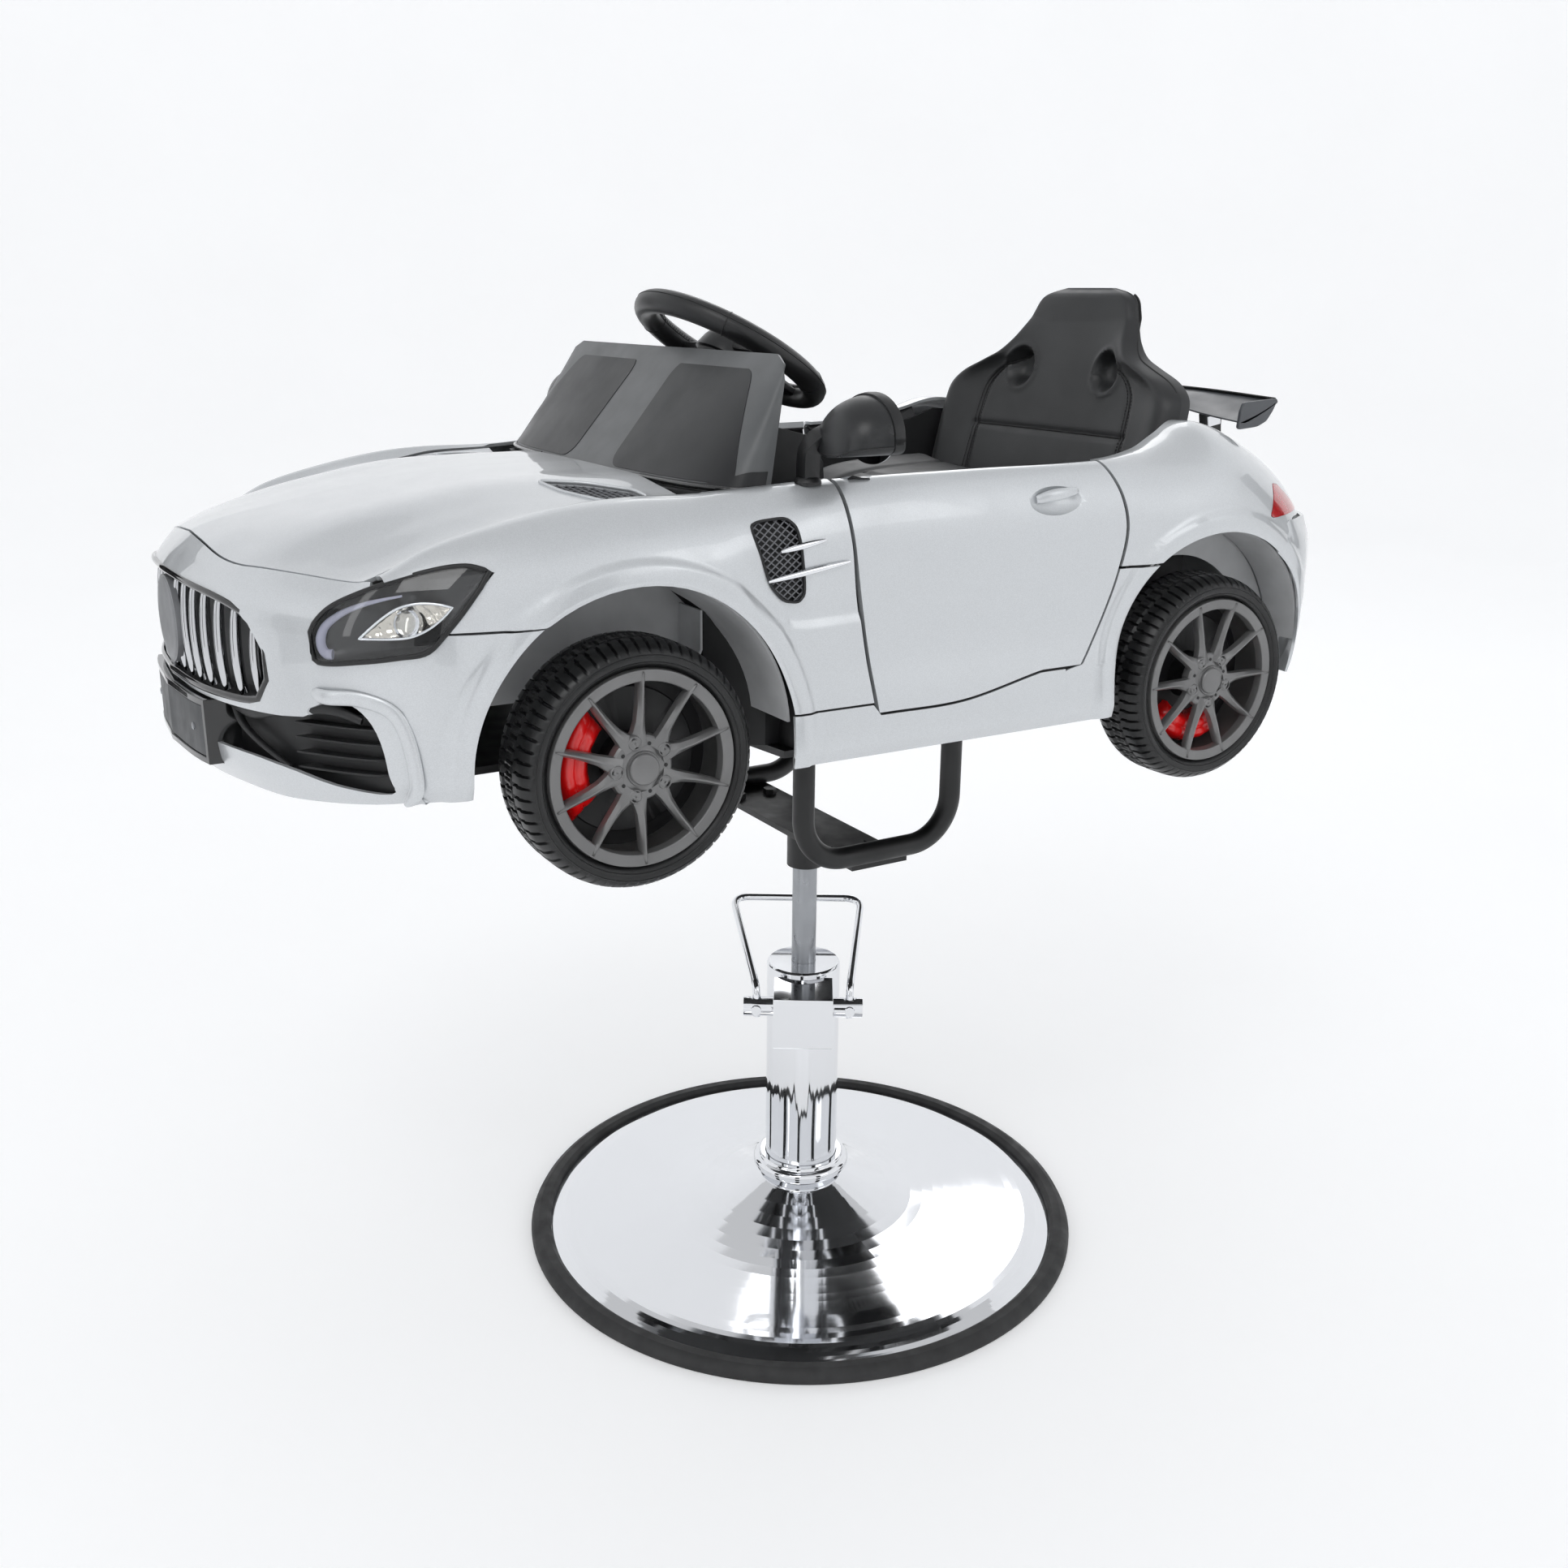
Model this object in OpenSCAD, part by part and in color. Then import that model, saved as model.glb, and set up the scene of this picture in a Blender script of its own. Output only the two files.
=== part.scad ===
// Kids car barber chair. The origin lies on the floor under the pump, the car's nose points to -Y,
// the car's left side to +X, and Z is up.

/* [Car body] */
// Length of the car from nose to tail
car_length = 1040; // [960:5:1120]
// Distance from the pump axis to the nose
nose_reach = 588; // [560:2:610]
// Width of the body over the side skirts
body_w = 552; // [530:2:570]
// Height from the lower edge of the skirts to the beltline
body_h = 219; // [205:1:235]
// Thickness of the moulded body panels
skin_t = 3; // [2.5:0.5:4]
// Thickness of the hollow door mouldings
door_t = 8; // [7:0.5:9]
// Radius of the wheel arches
arch_r = 128; // [122:1:132]
// Shut line gap between neighbouring panels
panel_gap = 3.5; // [3:0.5:4.5]
// Diameter of the blank disc in the grille
disc_d = 67; // [50:1:76]
// Span of the rear wing
wing_span = 352; // [320:4:400]

/* [Wheels] */
// Distance between the front and rear axle
wheelbase = 581; // [570:1:590]
// Outer diameter of the tyres
tyre_d = 192; // [184:1:196]
// Width of the tyres
tyre_w = 62; // [56:1:66]
// Diameter of the wheel discs
rim_d = 168; // [156:1:170]
// Distance over the outer faces of a pair of wheels
wheel_span = 538; // [530:2:542]
// Height of the axles above the lower edge of the skirts
axle_lift = 17; // [14:0.5:22]
// Diameter of the steel axles
axle_d = 10; // [8:0.5:12]
// Spokes of a wheel disc
spoke_count = 10; // [8:2:12]

/* [Frame] */
// Diameter of the bent frame tubes
tube_d = 20; // [18:0.5:22]
// Distance between the two tube planes
tube_spread = 266; // [240:2:280]
// Distance between the upright legs of one tube
tube_leg_spread = 164; // [150:2:190]
// Height from the cross plate to the chassis pan
frame_rise = 149; // [130:1:170]
// Length of the cross plate
cross_plate_l = 264; // [240:2:300]
// Width of the cross plate
cross_plate_w = 62; // [56:1:90]
// Thickness of the cross plate
cross_plate_t = 6; // [4:0.5:8]
// Outer diameter of the socket boss
boss_d = 37; // [34:0.5:42]
// Height of the socket boss under the cross plate
boss_h = 40; // [30:1:50]

/* [Pump and base] */
// Outer diameter of the rubber edge ring
base_d = 580; // [520:5:620]
// Height of the rubber edge ring
ring_h = 13; // [10:1:18]
// Width of the rubber edge ring
ring_w = 21; // [16:1:26]
// Height of the dome at the pump
dome_h = 60; // [50:1:72]
// Diameter of the base collar
collar_d = 101; // [92:1:110]
// Diameter of the pump cover tube
cover_d = 76; // [72:1:84]
// Height of the top of the pump cover above the floor
cover_top = 297; // [270:1:330]
// Diameter of the lift rod
rod_d = 25; // [22:0.5:28]
// Length of rod that shows at rest
rod_show = 106; // [95:1:140]
// Width of the pump block
block_w = 60; // [54:1:66]
// Length of the lever's cross shaft
shaft_l = 120; // [110:1:130]
// Diameter of the lever's cross shaft
shaft_d = 20; // [18:0.5:22]
// Diameter of the foot loop's rod
loop_d = 8; // [7:0.5:10]
// Direction in which the pump block faces, in degrees from the nose towards the left side
pump_azimuth = 58; // [50:1:66]

/* [Seat and controls] */
// Width of the seat back over its bolsters
seat_w = 354; // [330:2:370]
// Height of the seat back's top above the beltline
seat_top = 144; // [130:1:160]
// Outer diameter of the steering wheel
steer_d = 188; // [180:2:210]
// Diameter of the steering wheel's grip
grip_d = 22; // [20:0.5:25]
// Half width of the windscreen at its top edge
screen_top_half = 198; // [190:1:204]
// Height of the windscreen
screen_h = 99; // [90:1:108]
// Width of a mirror housing
mirror_w = 78; // [70:1:82]

/* [Fits] */
// Radial play of a running fit
run_fit = 0.08; // [0.05:0.01:0.1]
// Gap between neighbouring pieces that don't bear on each other
seat_gap = 0.3; // [0.3:0.1:0.5]

/* [Hidden] */
$fn = 48;

// Overrun of cuts
over = 1;

// Heights above the floor
boss_z = cover_top + rod_show;
cross_z = boss_z + boss_h;
pan_z = cross_z + cross_plate_t + frame_rise;
pan_t = 6;
pan_lip = 2;
arch_lift = 9;
sill_z = pan_z + pan_t - pan_lip;
belt_z = sill_z + body_h;
axle_z = sill_z + axle_lift;
arch_z = axle_z + arch_lift;

// Places along and across the car
half_w = body_w/2;
nose_y = -nose_reach;
tail_y = car_length - nose_reach;
front_axle_y = -wheelbase*0.5318;
rear_axle_y = front_axle_y + wheelbase;

// Interpolation in a table of [place, value] pairs, smooth through every pair
function lerp(a, b, t) = a + (b - a)*t;
function unit(v) = v/norm(v);
function steps(n) = [for (i = [0:n]) i/n];
function span(t, tb, i = 0) = (i >= len(tb) - 2 || t < tb[i + 1][0]) ? i : span(t, tb, i + 1);
function slope(tb, i) =
    let (a = max(i - 1, 0), b = min(i + 1, len(tb) - 1)) (tb[b][1] - tb[a][1])/(tb[b][0] - tb[a][0]);
function curve(t0, tb) =
    let (t = min(max(t0, tb[0][0]), tb[len(tb) - 1][0]), i = span(t, tb), d = tb[i + 1][0] - tb[i][0],
         u = (t - tb[i][0])/d, m0 = slope(tb, i)*d, m1 = slope(tb, i + 1)*d)
    (2*pow(u, 3) - 3*u*u + 1)*tb[i][1] + (pow(u, 3) - 2*u*u + u)*m0
    + (3*u*u - 2*pow(u, 3))*tb[i + 1][1] + (pow(u, 3) - u*u)*m1;

// A closed skin of thickness t under a grid of points, whose outside lies where columns cross rows
function grid_normal(g, i, j) =
    let (r = len(g) - 1, c = len(g[0]) - 1,
         n = cross(g[i][min(j + 1, c)] - g[i][max(j - 1, 0)], g[min(i + 1, r)][j] - g[max(i - 1, 0)][j]))
    unit(n);
module skin(g, t) {
    between(g, [for (i = [0:len(g) - 1]) [for (j = [0:len(g[0]) - 1]) g[i][j] - t*grid_normal(g, i, j)]]);
}
// A closed solid between an outer and an inner grid
module between(outer, inner) {
    r = len(outer) - 1;
    c = len(outer[0]) - 1;
    n = (r + 1)*(c + 1);
    function at(i, j) = i*(c + 1) + j;
    function tris(a, b, d, e) = [[a, b, d], [a, d, e]];
    rim = concat([for (j = [0:c]) at(0, j)], [for (i = [1:r]) at(i, c)],
                 [for (j = [c - 1:-1:0]) at(r, j)], [for (i = [r - 1:-1:1]) at(i, 0)]);
    m = len(rim);
    polyhedron(
        points = concat([for (row = outer) for (p = row) p], [for (row = inner) for (p = row) p]),
        faces = concat(
            [for (i = [0:r - 1]) for (j = [0:c - 1]) for (f = tris(at(i, j), at(i + 1, j), at(i + 1, j + 1), at(i, j + 1))) f],
            [for (i = [0:r - 1]) for (j = [0:c - 1])
                for (f = tris(n + at(i, j), n + at(i, j + 1), n + at(i + 1, j + 1), n + at(i + 1, j))) f],
            [for (k = [0:m - 1]) for (f = tris(rim[k], rim[(k + 1)%m], n + rim[(k + 1)%m], n + rim[k])) f]),
        convexity = 8);
}
module mirror_pair() {
    children();
    mirror([1, 0, 0]) children();
}

// Lines of the body: shares of its length from the nose, and of body_h above the skirts or half its width
crown_z_share = [[0.04, 0.68], [0.095, 0.753], [0.13, 0.836], [0.174, 0.895], [0.229, 0.945],
                 [0.275, 0.963], [0.339, 0.963], [0.439, 0.991], [0.565, 1], [0.702, 1.005],
                 [0.758, 1.03], [0.796, 1.075], [0.83, 1.125], [0.863, 1.105], [0.902, 1.045],
                 [0.936, 0.985], [0.96, 0.925], [0.985, 0.82]];
crown_x_share = [[0.04, 0.78], [0.095, 0.80], [0.174, 0.805], [0.275, 0.805], [0.339, 0.815],
                 [0.439, 0.855], [0.565, 0.862], [0.702, 0.855], [0.758, 0.80], [0.796, 0.745],
                 [0.83, 0.712], [0.863, 0.68], [0.902, 0.62], [0.936, 0.56], [0.96, 0.50], [0.985, 0.42]];
shoulder_x_share = [[0.04, 0.86], [0.095, 0.895], [0.13, 0.93], [0.174, 0.965], [0.229, 0.982],
                    [0.275, 0.982], [0.339, 0.967], [0.439, 0.953], [0.565, 0.949], [0.702, 0.953],
                    [0.758, 0.96], [0.83, 0.971], [0.902, 0.957], [0.936, 0.94], [0.96, 0.89],
                    [0.985, 0.775]];
shoulder_z_share = [[0.04, 0.50], [0.095, 0.52], [0.174, 0.60], [0.229, 0.66], [0.275, 0.68],
                    [0.339, 0.70], [0.439, 0.73], [0.702, 0.73], [0.83, 0.72], [0.863, 0.66],
                    [0.902, 0.57], [0.936, 0.46], [0.985, 0.42]];
flare_share = [[0, 0.030], [0.08, 0.047], [0.27, 0.036], [0.5, 0.012], [0.8, 0.001], [1, 0]];
flare_fade_share = [[0.10, 0], [0.30, 0.3], [0.44, 0.85], [0.50, 1], [0.68, 1], [0.76, 0.5], [0.83, 0.3],
                    [0.96, 0]];
centre_z_share = [[0.02, 0.795], [0.046, 0.838], [0.095, 0.885], [0.142, 0.925], [0.204, 0.966],
                  [0.245, 0.977], [0.339, 0.982]];
crease_drop_share = [[0.02, 0.075], [0.035, 0.066], [0.06, 0.043], [0.104, 0.02], [0.142, 0.012], [0.204, 0.004],
                     [0.339, 0.006]];
edge_drop_share = [[0.02, 0.145], [0.095, 0.14], [0.124, 0.123], [0.155, 0.098], [0.19, 0.075],
                   [0.245, 0.066], [0.339, 0.05]];
deck_z_share = [[0.83, 1.13], [0.873, 1.114], [0.902, 1.09], [0.936, 1.03], [0.96, 0.965], [0.985, 0.88]];

function along(y) = (y - nose_y)/car_length;
function crown_x(s) = half_w*curve(s, crown_x_share);
function crown_z(s) = curve(s, crown_z_share);
// Half width of the flank at share s of the length and share h of the height
function flank_x(s, h) =
    let (sz = curve(s, shoulder_z_share), cz = crown_z(s), cx = curve(s, crown_x_share),
         sx = curve(s, shoulder_x_share), up = min(1, (h - sz)/(cz - sz)))
    half_w*(h >= sz ? cx + (sx - cx)*sqrt(1 - up*up)
            : sx + curve(s, flare_fade_share)*curve(h/sz, flare_share));
// Height of the hood at share q of the crown's half width
function hood_h(s, q) =
    let (c = curve(s, centre_z_share), k = curve(s, crease_drop_share), e = curve(s, edge_drop_share))
    curve(abs(q), [[0, c], [0.25, c - 0.3*k], [0.5, c - k], [0.7, c - k - 0.55*(e - k)], [0.9, c - e],
                   [1, crown_z(s)]]);
function deck_h(s, q) = lerp(curve(s, deck_z_share), crown_z(s), pow(abs(q), 2.2));
function lift(h) = sill_z + body_h*h;

// Wheel arches and panel seams
split_share = 0.598;
skirt_seam_share = 0.2;
tail_seam_share = 0.726;
function arch_low(y, axle_y) =
    abs(y - axle_y) < arch_r ? (arch_z + sqrt(pow(arch_r, 2) - pow(y - axle_y, 2)) - sill_z)/body_h : 0;
function arch_y(axle_y, z, way) =
    axle_y + way*sqrt(max(0, pow(arch_r, 2) - pow(z - arch_z, 2)));

// Nose in plan: half width and distance behind the foremost point, as shares of half_w
nose_plan_share = [[0, 0], [0.29, 0.029], [0.54, 0.116], [0.70, 0.225], [0.80, 0.315], [0.865, 0.40]];
corner_plan_share = [[0.40, 0.865], [0.46, 0.905], [0.54, 0.945], [0.62, 0.962], [0.74, 0.968]];
nose_corner_share = 0.865;
hood_corner_share = 0.78;
function hood_cut_y(x) = nose_y + half_w*curve(abs(x)/half_w, hood_cut_y_share);
function nose_plan_y(x) = nose_y + half_w*curve(abs(x)/half_w, nose_plan_share);
function nose_plan_x(y) = half_w*curve((y - nose_y)/half_w, corner_plan_share);
// Front edge of the hood in plan and height, over the share of half_w across
hood_cut_y_share = [[0, 0.094], [0.2, 0.098], [0.29, 0.106], [0.36, 0.12], [0.435, 0.145], [0.54, 0.205],
                    [0.65, 0.283], [0.725, 0.337], [0.78, 0.366]];

// Side skirts, doors and the shut lines round them
door_front_top_share = 0.4405;
door_front_low_share = 0.4665;
door_rear_share = [[0.15, 0.652], [0.2, 0.662], [0.29, 0.677], [0.41, 0.693], [0.57, 0.708],
                   [0.73, 0.7155], [0.87, 0.711], [1.005, 0.698]];
door_low_share = [[0.46, 0.162], [0.56, 0.168], [0.65, 0.235]];
door_open_h_share = 0.15;
function y_at(s) = nose_y + car_length*s;
function door_front_y(h) = y_at(lerp(door_front_low_share, door_front_top_share,
                                          (h - door_open_h_share)/(1 - door_open_h_share)));
function door_rear_y(h) = y_at(curve(h, door_rear_share));

// Grille, lower opening and lamps as outlines
grille_top_share = [[0, 0.68], [0.30, 0.665], [0.46, 0.635], [0.53, 0.59], [0.57, 0.50]];
grille_low_share = [[0, 0.318], [0.40, 0.322], [0.52, 0.333], [0.555, 0.37], [0.57, 0.42]];
opening_share = [[0, 0.30], [0.60, 0.295], [0.67, 0.33], [0.73, 0.365], [0.78, 0.345], [0.81, 0.27],
                 [0.82, 0.13], [0.81, 0.06], [0.70, 0.078], [0.58, 0.12], [0.42, 0.138], [0, 0.138]];
lamp_normal = unit([0.62, -0.74, 0.26]);
lamp_across = unit(cross([0, 0, 1], lamp_normal));
lamp_up = cross(lamp_normal, lamp_across);
lamp_place = [half_w*0.815, nose_y + half_w*0.4, lift(0.64)];
lamp_w = 121;
lamp_left_share = -0.467;
lamp_top_share = [[0, -0.161], [0.041, -0.079], [0.132, 0.012], [0.285, 0.095], [0.508, 0.195], [0.669, 0.264],
                  [0.864, 0.318], [1, 0.298]];
lamp_low_share = [[0, -0.161], [0.012, -0.243], [0.065, -0.30], [0.346, -0.275], [0.57, -0.231],
                  [0.71, -0.19], [0.793, -0.099], [0.9, 0.069], [1, 0.298]];
// How far the body lies before the lamp plane at shares a across and b up
function lamp_rise(a, b) = lamp_w*(0.116 - 0.207*a - 0.42*a*a + 0.27*a*b - 0.77*b*b);

// Grids of the body panels
function split_row(y, axle_y) = max(arch_low(y, axle_y), split_share);
front_arch_rows = [for (a = [124, 113, 102, 91, 80, 69, 58, 47, 36, 25, 15, 8])
                       front_axle_y + arch_r*cos(a)];
fender_front_y = nose_y + half_w*0.38;
fender_rows = concat([for (t = steps(4)) lerp(fender_front_y, front_arch_rows[0], t*0.9)], front_arch_rows);
hood_edge_share = [[0.095, 0.945], [0.126, 0.912], [0.156, 0.895], [0.19, 0.892], [0.22, 0.902], [0.25, 0.925],
                   [0.28, 0.95], [0.34, 0.958]];
fender_edge_share = [[0.095, 0.962], [0.126, 0.929], [0.156, 0.912], [0.19, 0.909], [0.22, 0.919],
                     [0.25, 0.942], [0.28, 0.967], [0.34, 0.975], [0.47, 0.975]];
function fender_low(y) =
    y < front_axle_y ? split_row(y, front_axle_y) : max(arch_low(y, front_axle_y), skirt_seam_share);
function flank_point(y, h) = [flank_x(along(y), h), y, lift(h)];
// One row of a side panel: from the top edge at share q of the crown over the crown down to share low
function panel_row(y, q, low, n, shear = function (h) 0) = concat(
    [for (t = [0:2]) let (k = lerp(q, 1, t/3), cz = crown_z(along(y)), s = along(y + shear(cz)),
                          h = s < 0.339 ? hood_h(s, k) : crown_z(s) - 0.02*(1 - k))
        [k*crown_x(s), y + shear(cz), lift(h)]],
    [for (t = steps(n)) let (cz = crown_z(along(y)), h = lerp(low, cz, cos(90*t)), yy = y + shear(h))
        flank_point(yy, min(h, crown_z(along(yy))))]);
door_gap_y = panel_gap;
fender_end_y = front_arch_rows[11];
function fender_shear(r) = function (h) r*(door_front_y(h) - door_gap_y - fender_end_y);
fender_grid = concat(
    [for (y = fender_rows) panel_row(y, curve(along(y), fender_edge_share), fender_low(y), 9)],
    [for (r = [0.3, 0.65, 1])
        panel_row(fender_end_y, curve(lerp(along(fender_end_y), door_front_top_share, r), fender_edge_share),
                  skirt_seam_share, 9, fender_shear(r))]);

cowl_share = 0.338;
function hood_point(q, r) =
    let (y0 = hood_cut_y(q*curve(0.1, hood_edge_share)*crown_x(0.1)) + panel_gap/2,
         y = lerp(y0, y_at(cowl_share), r), s = along(y), k = q*curve(max(s, 0.095), hood_edge_share))
    [k*crown_x(max(s, 0.095)), y, lift(hood_h(s, k))];
hood_grid = [for (r = [0, 0.05, 0.12, 0.22, 0.34, 0.46, 0.58, 0.7, 0.85, 1])
                [for (q = [-1:0.125:1]) hood_point(q, r)]];

// Front bumper: lateral stations over the nose and along the corner, rows from the lip to the hood
bumper_low_share = [[0, 0.0], [0.35, 0.01], [0.6, 0.0], [0.8, 0.015], [0.92, 0.04]];
bumper_inset_share = [[0, 0.045], [0.1, 0.02], [0.3, 0.012], [0.55, 0.006], [0.8, 0], [1, 0]];
bumper_roll_share = [[0.8, 0], [0.86, 0.14], [0.93, 0.5], [1, 1]];
nose_stations = [for (t = steps(9)) nose_corner_share*sin(90*t*0.98)];
corner_stations = [0.16, 0.36, 0.58, 0.79, 1];
bumper_rows = [0, 0.12, 0.3, 0.5, 0.68, 0.8, 0.86, 0.93, 1];
function hood_line_h(x) = hood_h(along(hood_cut_y(x)), abs(x)/crown_x(0.1));
hood_corner_x = hood_corner_share*half_w;
function nose_top(x) =
    abs(x) <= hood_corner_x ? hood_line_h(x)
    : lerp(hood_line_h(hood_corner_x), split_share, (abs(x) - hood_corner_x)/(nose_corner_share*half_w - hood_corner_x));
function nose_point(k, v) =
    let (x = k*half_w, w = abs(k), h = lerp(curve(w, bumper_low_share), nose_top(x) - panel_gap/body_h, v),
         fade = 1 - max(0, (w - hood_corner_share)/(nose_corner_share - hood_corner_share)),
         inset = half_w*curve(v, bumper_inset_share), roll = fade*curve(v, bumper_roll_share),
         dy = nose_plan_y(abs(x) + over) - nose_plan_y(abs(x)), n = unit([-dy*sign(x), over]))
    [x + n[0]*inset, lerp(nose_plan_y(x) + n[1]*inset, hood_cut_y(x) - panel_gap, roll), lift(h)];
function corner_point(r, v, way) =
    let (h = lerp(curve(lerp(0.865, 0.92, r), bumper_low_share), split_share - panel_gap/body_h, v),
         y0 = nose_plan_y(nose_corner_share*half_w), y1 = arch_y(front_axle_y, lift(h), -1),
         y = lerp(y0, y1, r), inset = half_w*curve(v, bumper_inset_share))
    [way*(nose_plan_x(y) - inset), y, lift(h)];
bumper_grid = [for (v = bumper_rows) concat(
    [for (i = [len(corner_stations) - 1:-1:0]) corner_point(corner_stations[i], v, -1)],
    [for (i = [len(nose_stations) - 1:-1:1]) nose_point(-nose_stations[i], v)],
    [for (k = nose_stations) nose_point(k, v)],
    [for (r = corner_stations) corner_point(r, v, 1)])];

// Tail in plan: as for the nose, measured forward from the tail
tail_plan_share = [[0, 0], [0.54, 0.011], [0.72, 0.04], [0.81, 0.08], [0.87, 0.13]];
tail_corner_plan_share = [[0.13, 0.87], [0.19, 0.91], [0.28, 0.945], [0.40, 0.962], [0.60, 0.968]];
tail_corner_share = 0.87;
deck_end_share = 0.983;
tail_stations = [for (t = steps(8)) tail_corner_share*sin(90*t*0.98)];
function tail_plan_y(x) = tail_y - half_w*curve(abs(x)/half_w, tail_plan_share);
function tail_plan_x(y) = half_w*curve((tail_y - y)/half_w, tail_corner_plan_share);
tail_inset_share = [[0, 0.06], [0.15, 0.03], [0.35, 0.012], [0.6, 0], [0.85, 0.006], [1, 0.03]];
tail_rows = [0, 0.15, 0.35, 0.6, 0.85, 1];
tail_low_share = [[0, 0.04], [0.6, 0.03], [1, 0.005]];
function tail_top(k) =
    let (e = deck_end_share, q = k*half_w/crown_x(e), cz = crown_z(e), sz = curve(e, shoulder_z_share),
         cx = crown_x(e)/half_w, sx = curve(e, shoulder_x_share))
    q < 1 ? deck_h(e, q)
    : max(tail_seam_share, sz + (cz - sz)*sqrt(max(0, 1 - pow(min(1, (k - cx)/(sx - cx)), 2))));
function tail_point(k, v) =
    let (w = abs(k), h = lerp(curve(w, tail_low_share), tail_top(w) - 1.6*panel_gap/body_h, v),
         inset = half_w*curve(v, tail_inset_share), back = v > 0.9 ? tail_y - y_at(deck_end_share) : 0)
    [k*half_w*(1 - inset/half_w*0.5), min(tail_plan_y(k*half_w) - inset, tail_y - back), lift(h)];
function tail_corner_point(r, v, way) =
    let (top = tail_seam_share - 2*panel_gap/body_h, h = lerp(0.03, lerp(top, 0.595, r), v),
         y0 = tail_plan_y(tail_corner_share*half_w), y1 = arch_y(rear_axle_y, lift(h), 1),
         y = lerp(y0, max(y1, rear_axle_y + arch_r*0.46), r), inset = half_w*curve(v, tail_inset_share))
    [way*(tail_plan_x(y) - inset*(1 - 0.5*r)), y - inset*(1 - r), lift(h)];
tail_grid = [for (v = tail_rows) concat(
    [for (i = [len(corner_stations) - 1:-1:0]) tail_corner_point(corner_stations[i], v, 1)],
    [for (i = [len(tail_stations) - 1:-1:1]) tail_point(tail_stations[i], v)],
    [for (k = tail_stations) tail_point(-k, v)],
    [for (r = corner_stations) tail_corner_point(r, v, -1)])];

// Rear quarters and deck
rear_arch_rows = [for (a = [124.5, 112, 100, 88, 76, 64, 54.5]) rear_axle_y + arch_r*cos(a)];
function seam_low(y) =
    y < rear_arch_rows[0] ? split_share
    : y < rear_arch_rows[6] ? arch_low(y, rear_axle_y)
    : lerp(arch_low(rear_arch_rows[6], rear_axle_y), tail_seam_share,
           min(1, (y - rear_arch_rows[6])/(arch_r*0.25)));
quarter_edge_share = [[0.7, 0.972], [0.80, 0.955], [0.83, 0.93]];
quarter_rows = concat(rear_arch_rows, [for (t = [0.2, 0.4, 0.6, 0.8, 1])
                                          lerp(rear_arch_rows[6], y_at(deck_end_share), t)]);
function quarter_top(s) = s < 0.83 ? curve(s, quarter_edge_share) : 0.93;
function quarter_row(y, shear = function (h) 0) =
    panel_row(y, quarter_top(along(y)), seam_low(y), 8, shear);
function quarter_shear(r) = function (h) r*(door_rear_y(h) + door_gap_y - rear_arch_rows[0]);
quarter_grid = concat([for (r = [1, 0.5]) quarter_row(rear_arch_rows[0], quarter_shear(r))],
                      [for (y = quarter_rows) quarter_row(y)]);
rim_share = [[0, 0.893], [0.4, 0.89], [0.7, 0.881], [0.93, 0.864]];
deck_grid = [for (r = steps(8)) [for (q = [-1:0.125:1])
    let (k = q*0.925, s = lerp(curve(abs(k), rim_share), deck_end_share, r))
    [k*crown_x(s), y_at(s), lift(deck_h(s, k))]]];

// Doors
door_rows = [0, 0.14, 0.28, 0.42, 0.56, 0.7, 0.85, 1];
function door_point(a, b) =
    let (y0 = y_at(lerp(0.4525, 0.70, a)), low = curve(along(y0), door_low_share),
         h = lerp(low, crown_z(along(y0)), sin(90*b)), y = lerp(door_front_y(h), door_rear_y(h), a))
    flank_point(y, min(h, crown_z(along(y))));
door_grid = [for (a = steps(9)) [for (b = [len(door_rows) - 1:-1:0]) door_point(a, door_rows[b])]];

// Door hinges: a leaning axis just inside the front edge
hinge_low_in = 12;
hinge_top_in = 5;
hinge_back = 7;
barrel_r = 5.5;
hinge_pin_r = 3;
barrel_h = 18;
lug_h = 7;
hinge_low = [flank_x(door_front_low_share, 0.2) - hinge_low_in, door_front_y(0.2) + hinge_back, lift(0.2)];
hinge_top = [flank_x(door_front_top_share, 0.93) - hinge_top_in, door_front_y(0.93) + hinge_back, lift(0.93)];
hinge_way = unit(hinge_top - hinge_low);
hinge_turn = atan2(hinge_way[1], hinge_way[0]);
hinge_lug_share = [0.10, 0.80];
module along_hinge(place) {
    p = lerp(hinge_low, hinge_top, place);
    translate(p)
        rotate([0, acos(hinge_way[2]), hinge_turn]) rotate([0, 0, -hinge_turn]) children();
}

// Pump and base
pump_front = block_w*0.6;
shaft_out = 52;
shaft_z = cover_top - 29;
cover_t = 2;
dome_t = 2;
disc_r = base_d/2 - ring_w;
dome_share = [[0, 1], [0.06, 0.86], [0.14, 0.70], [0.26, 0.50], [0.42, 0.345], [0.6, 0.25], [0.8, 0.175],
              [0.93, 0.12], [1, 0]];
flange_r = 84;
flange_t = 5;
function dome_z(r) =
    ring_h*0.55 + (dome_h - ring_h*0.55)*curve((r - cover_d/2)/(disc_r - cover_d/2), dome_share);
dome_line = [for (t = steps(26)) let (r = lerp(cover_d/2 + run_fit, disc_r, sin(90*t))) [r, dome_z(r)]];

module base_disc() color("#d8dadd")
    rotate_extrude($fn = 96)
        polygon(concat(dome_line, [for (i = [len(dome_line) - 1:-1:0]) dome_line[i] - [0, dome_t]]));

module rubber_ring() color("#1b1b1c")
    rotate_extrude($fn = 96)
        polygon([for (p = [[0, 0], [1, 0], [1, 0.35], [0.86, 0.78], [0.6, 1], [0.2, 1], [0, 0.75]])
            [disc_r + seat_gap + p[0]*(ring_w - seat_gap), p[1]*ring_h]]);

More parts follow.
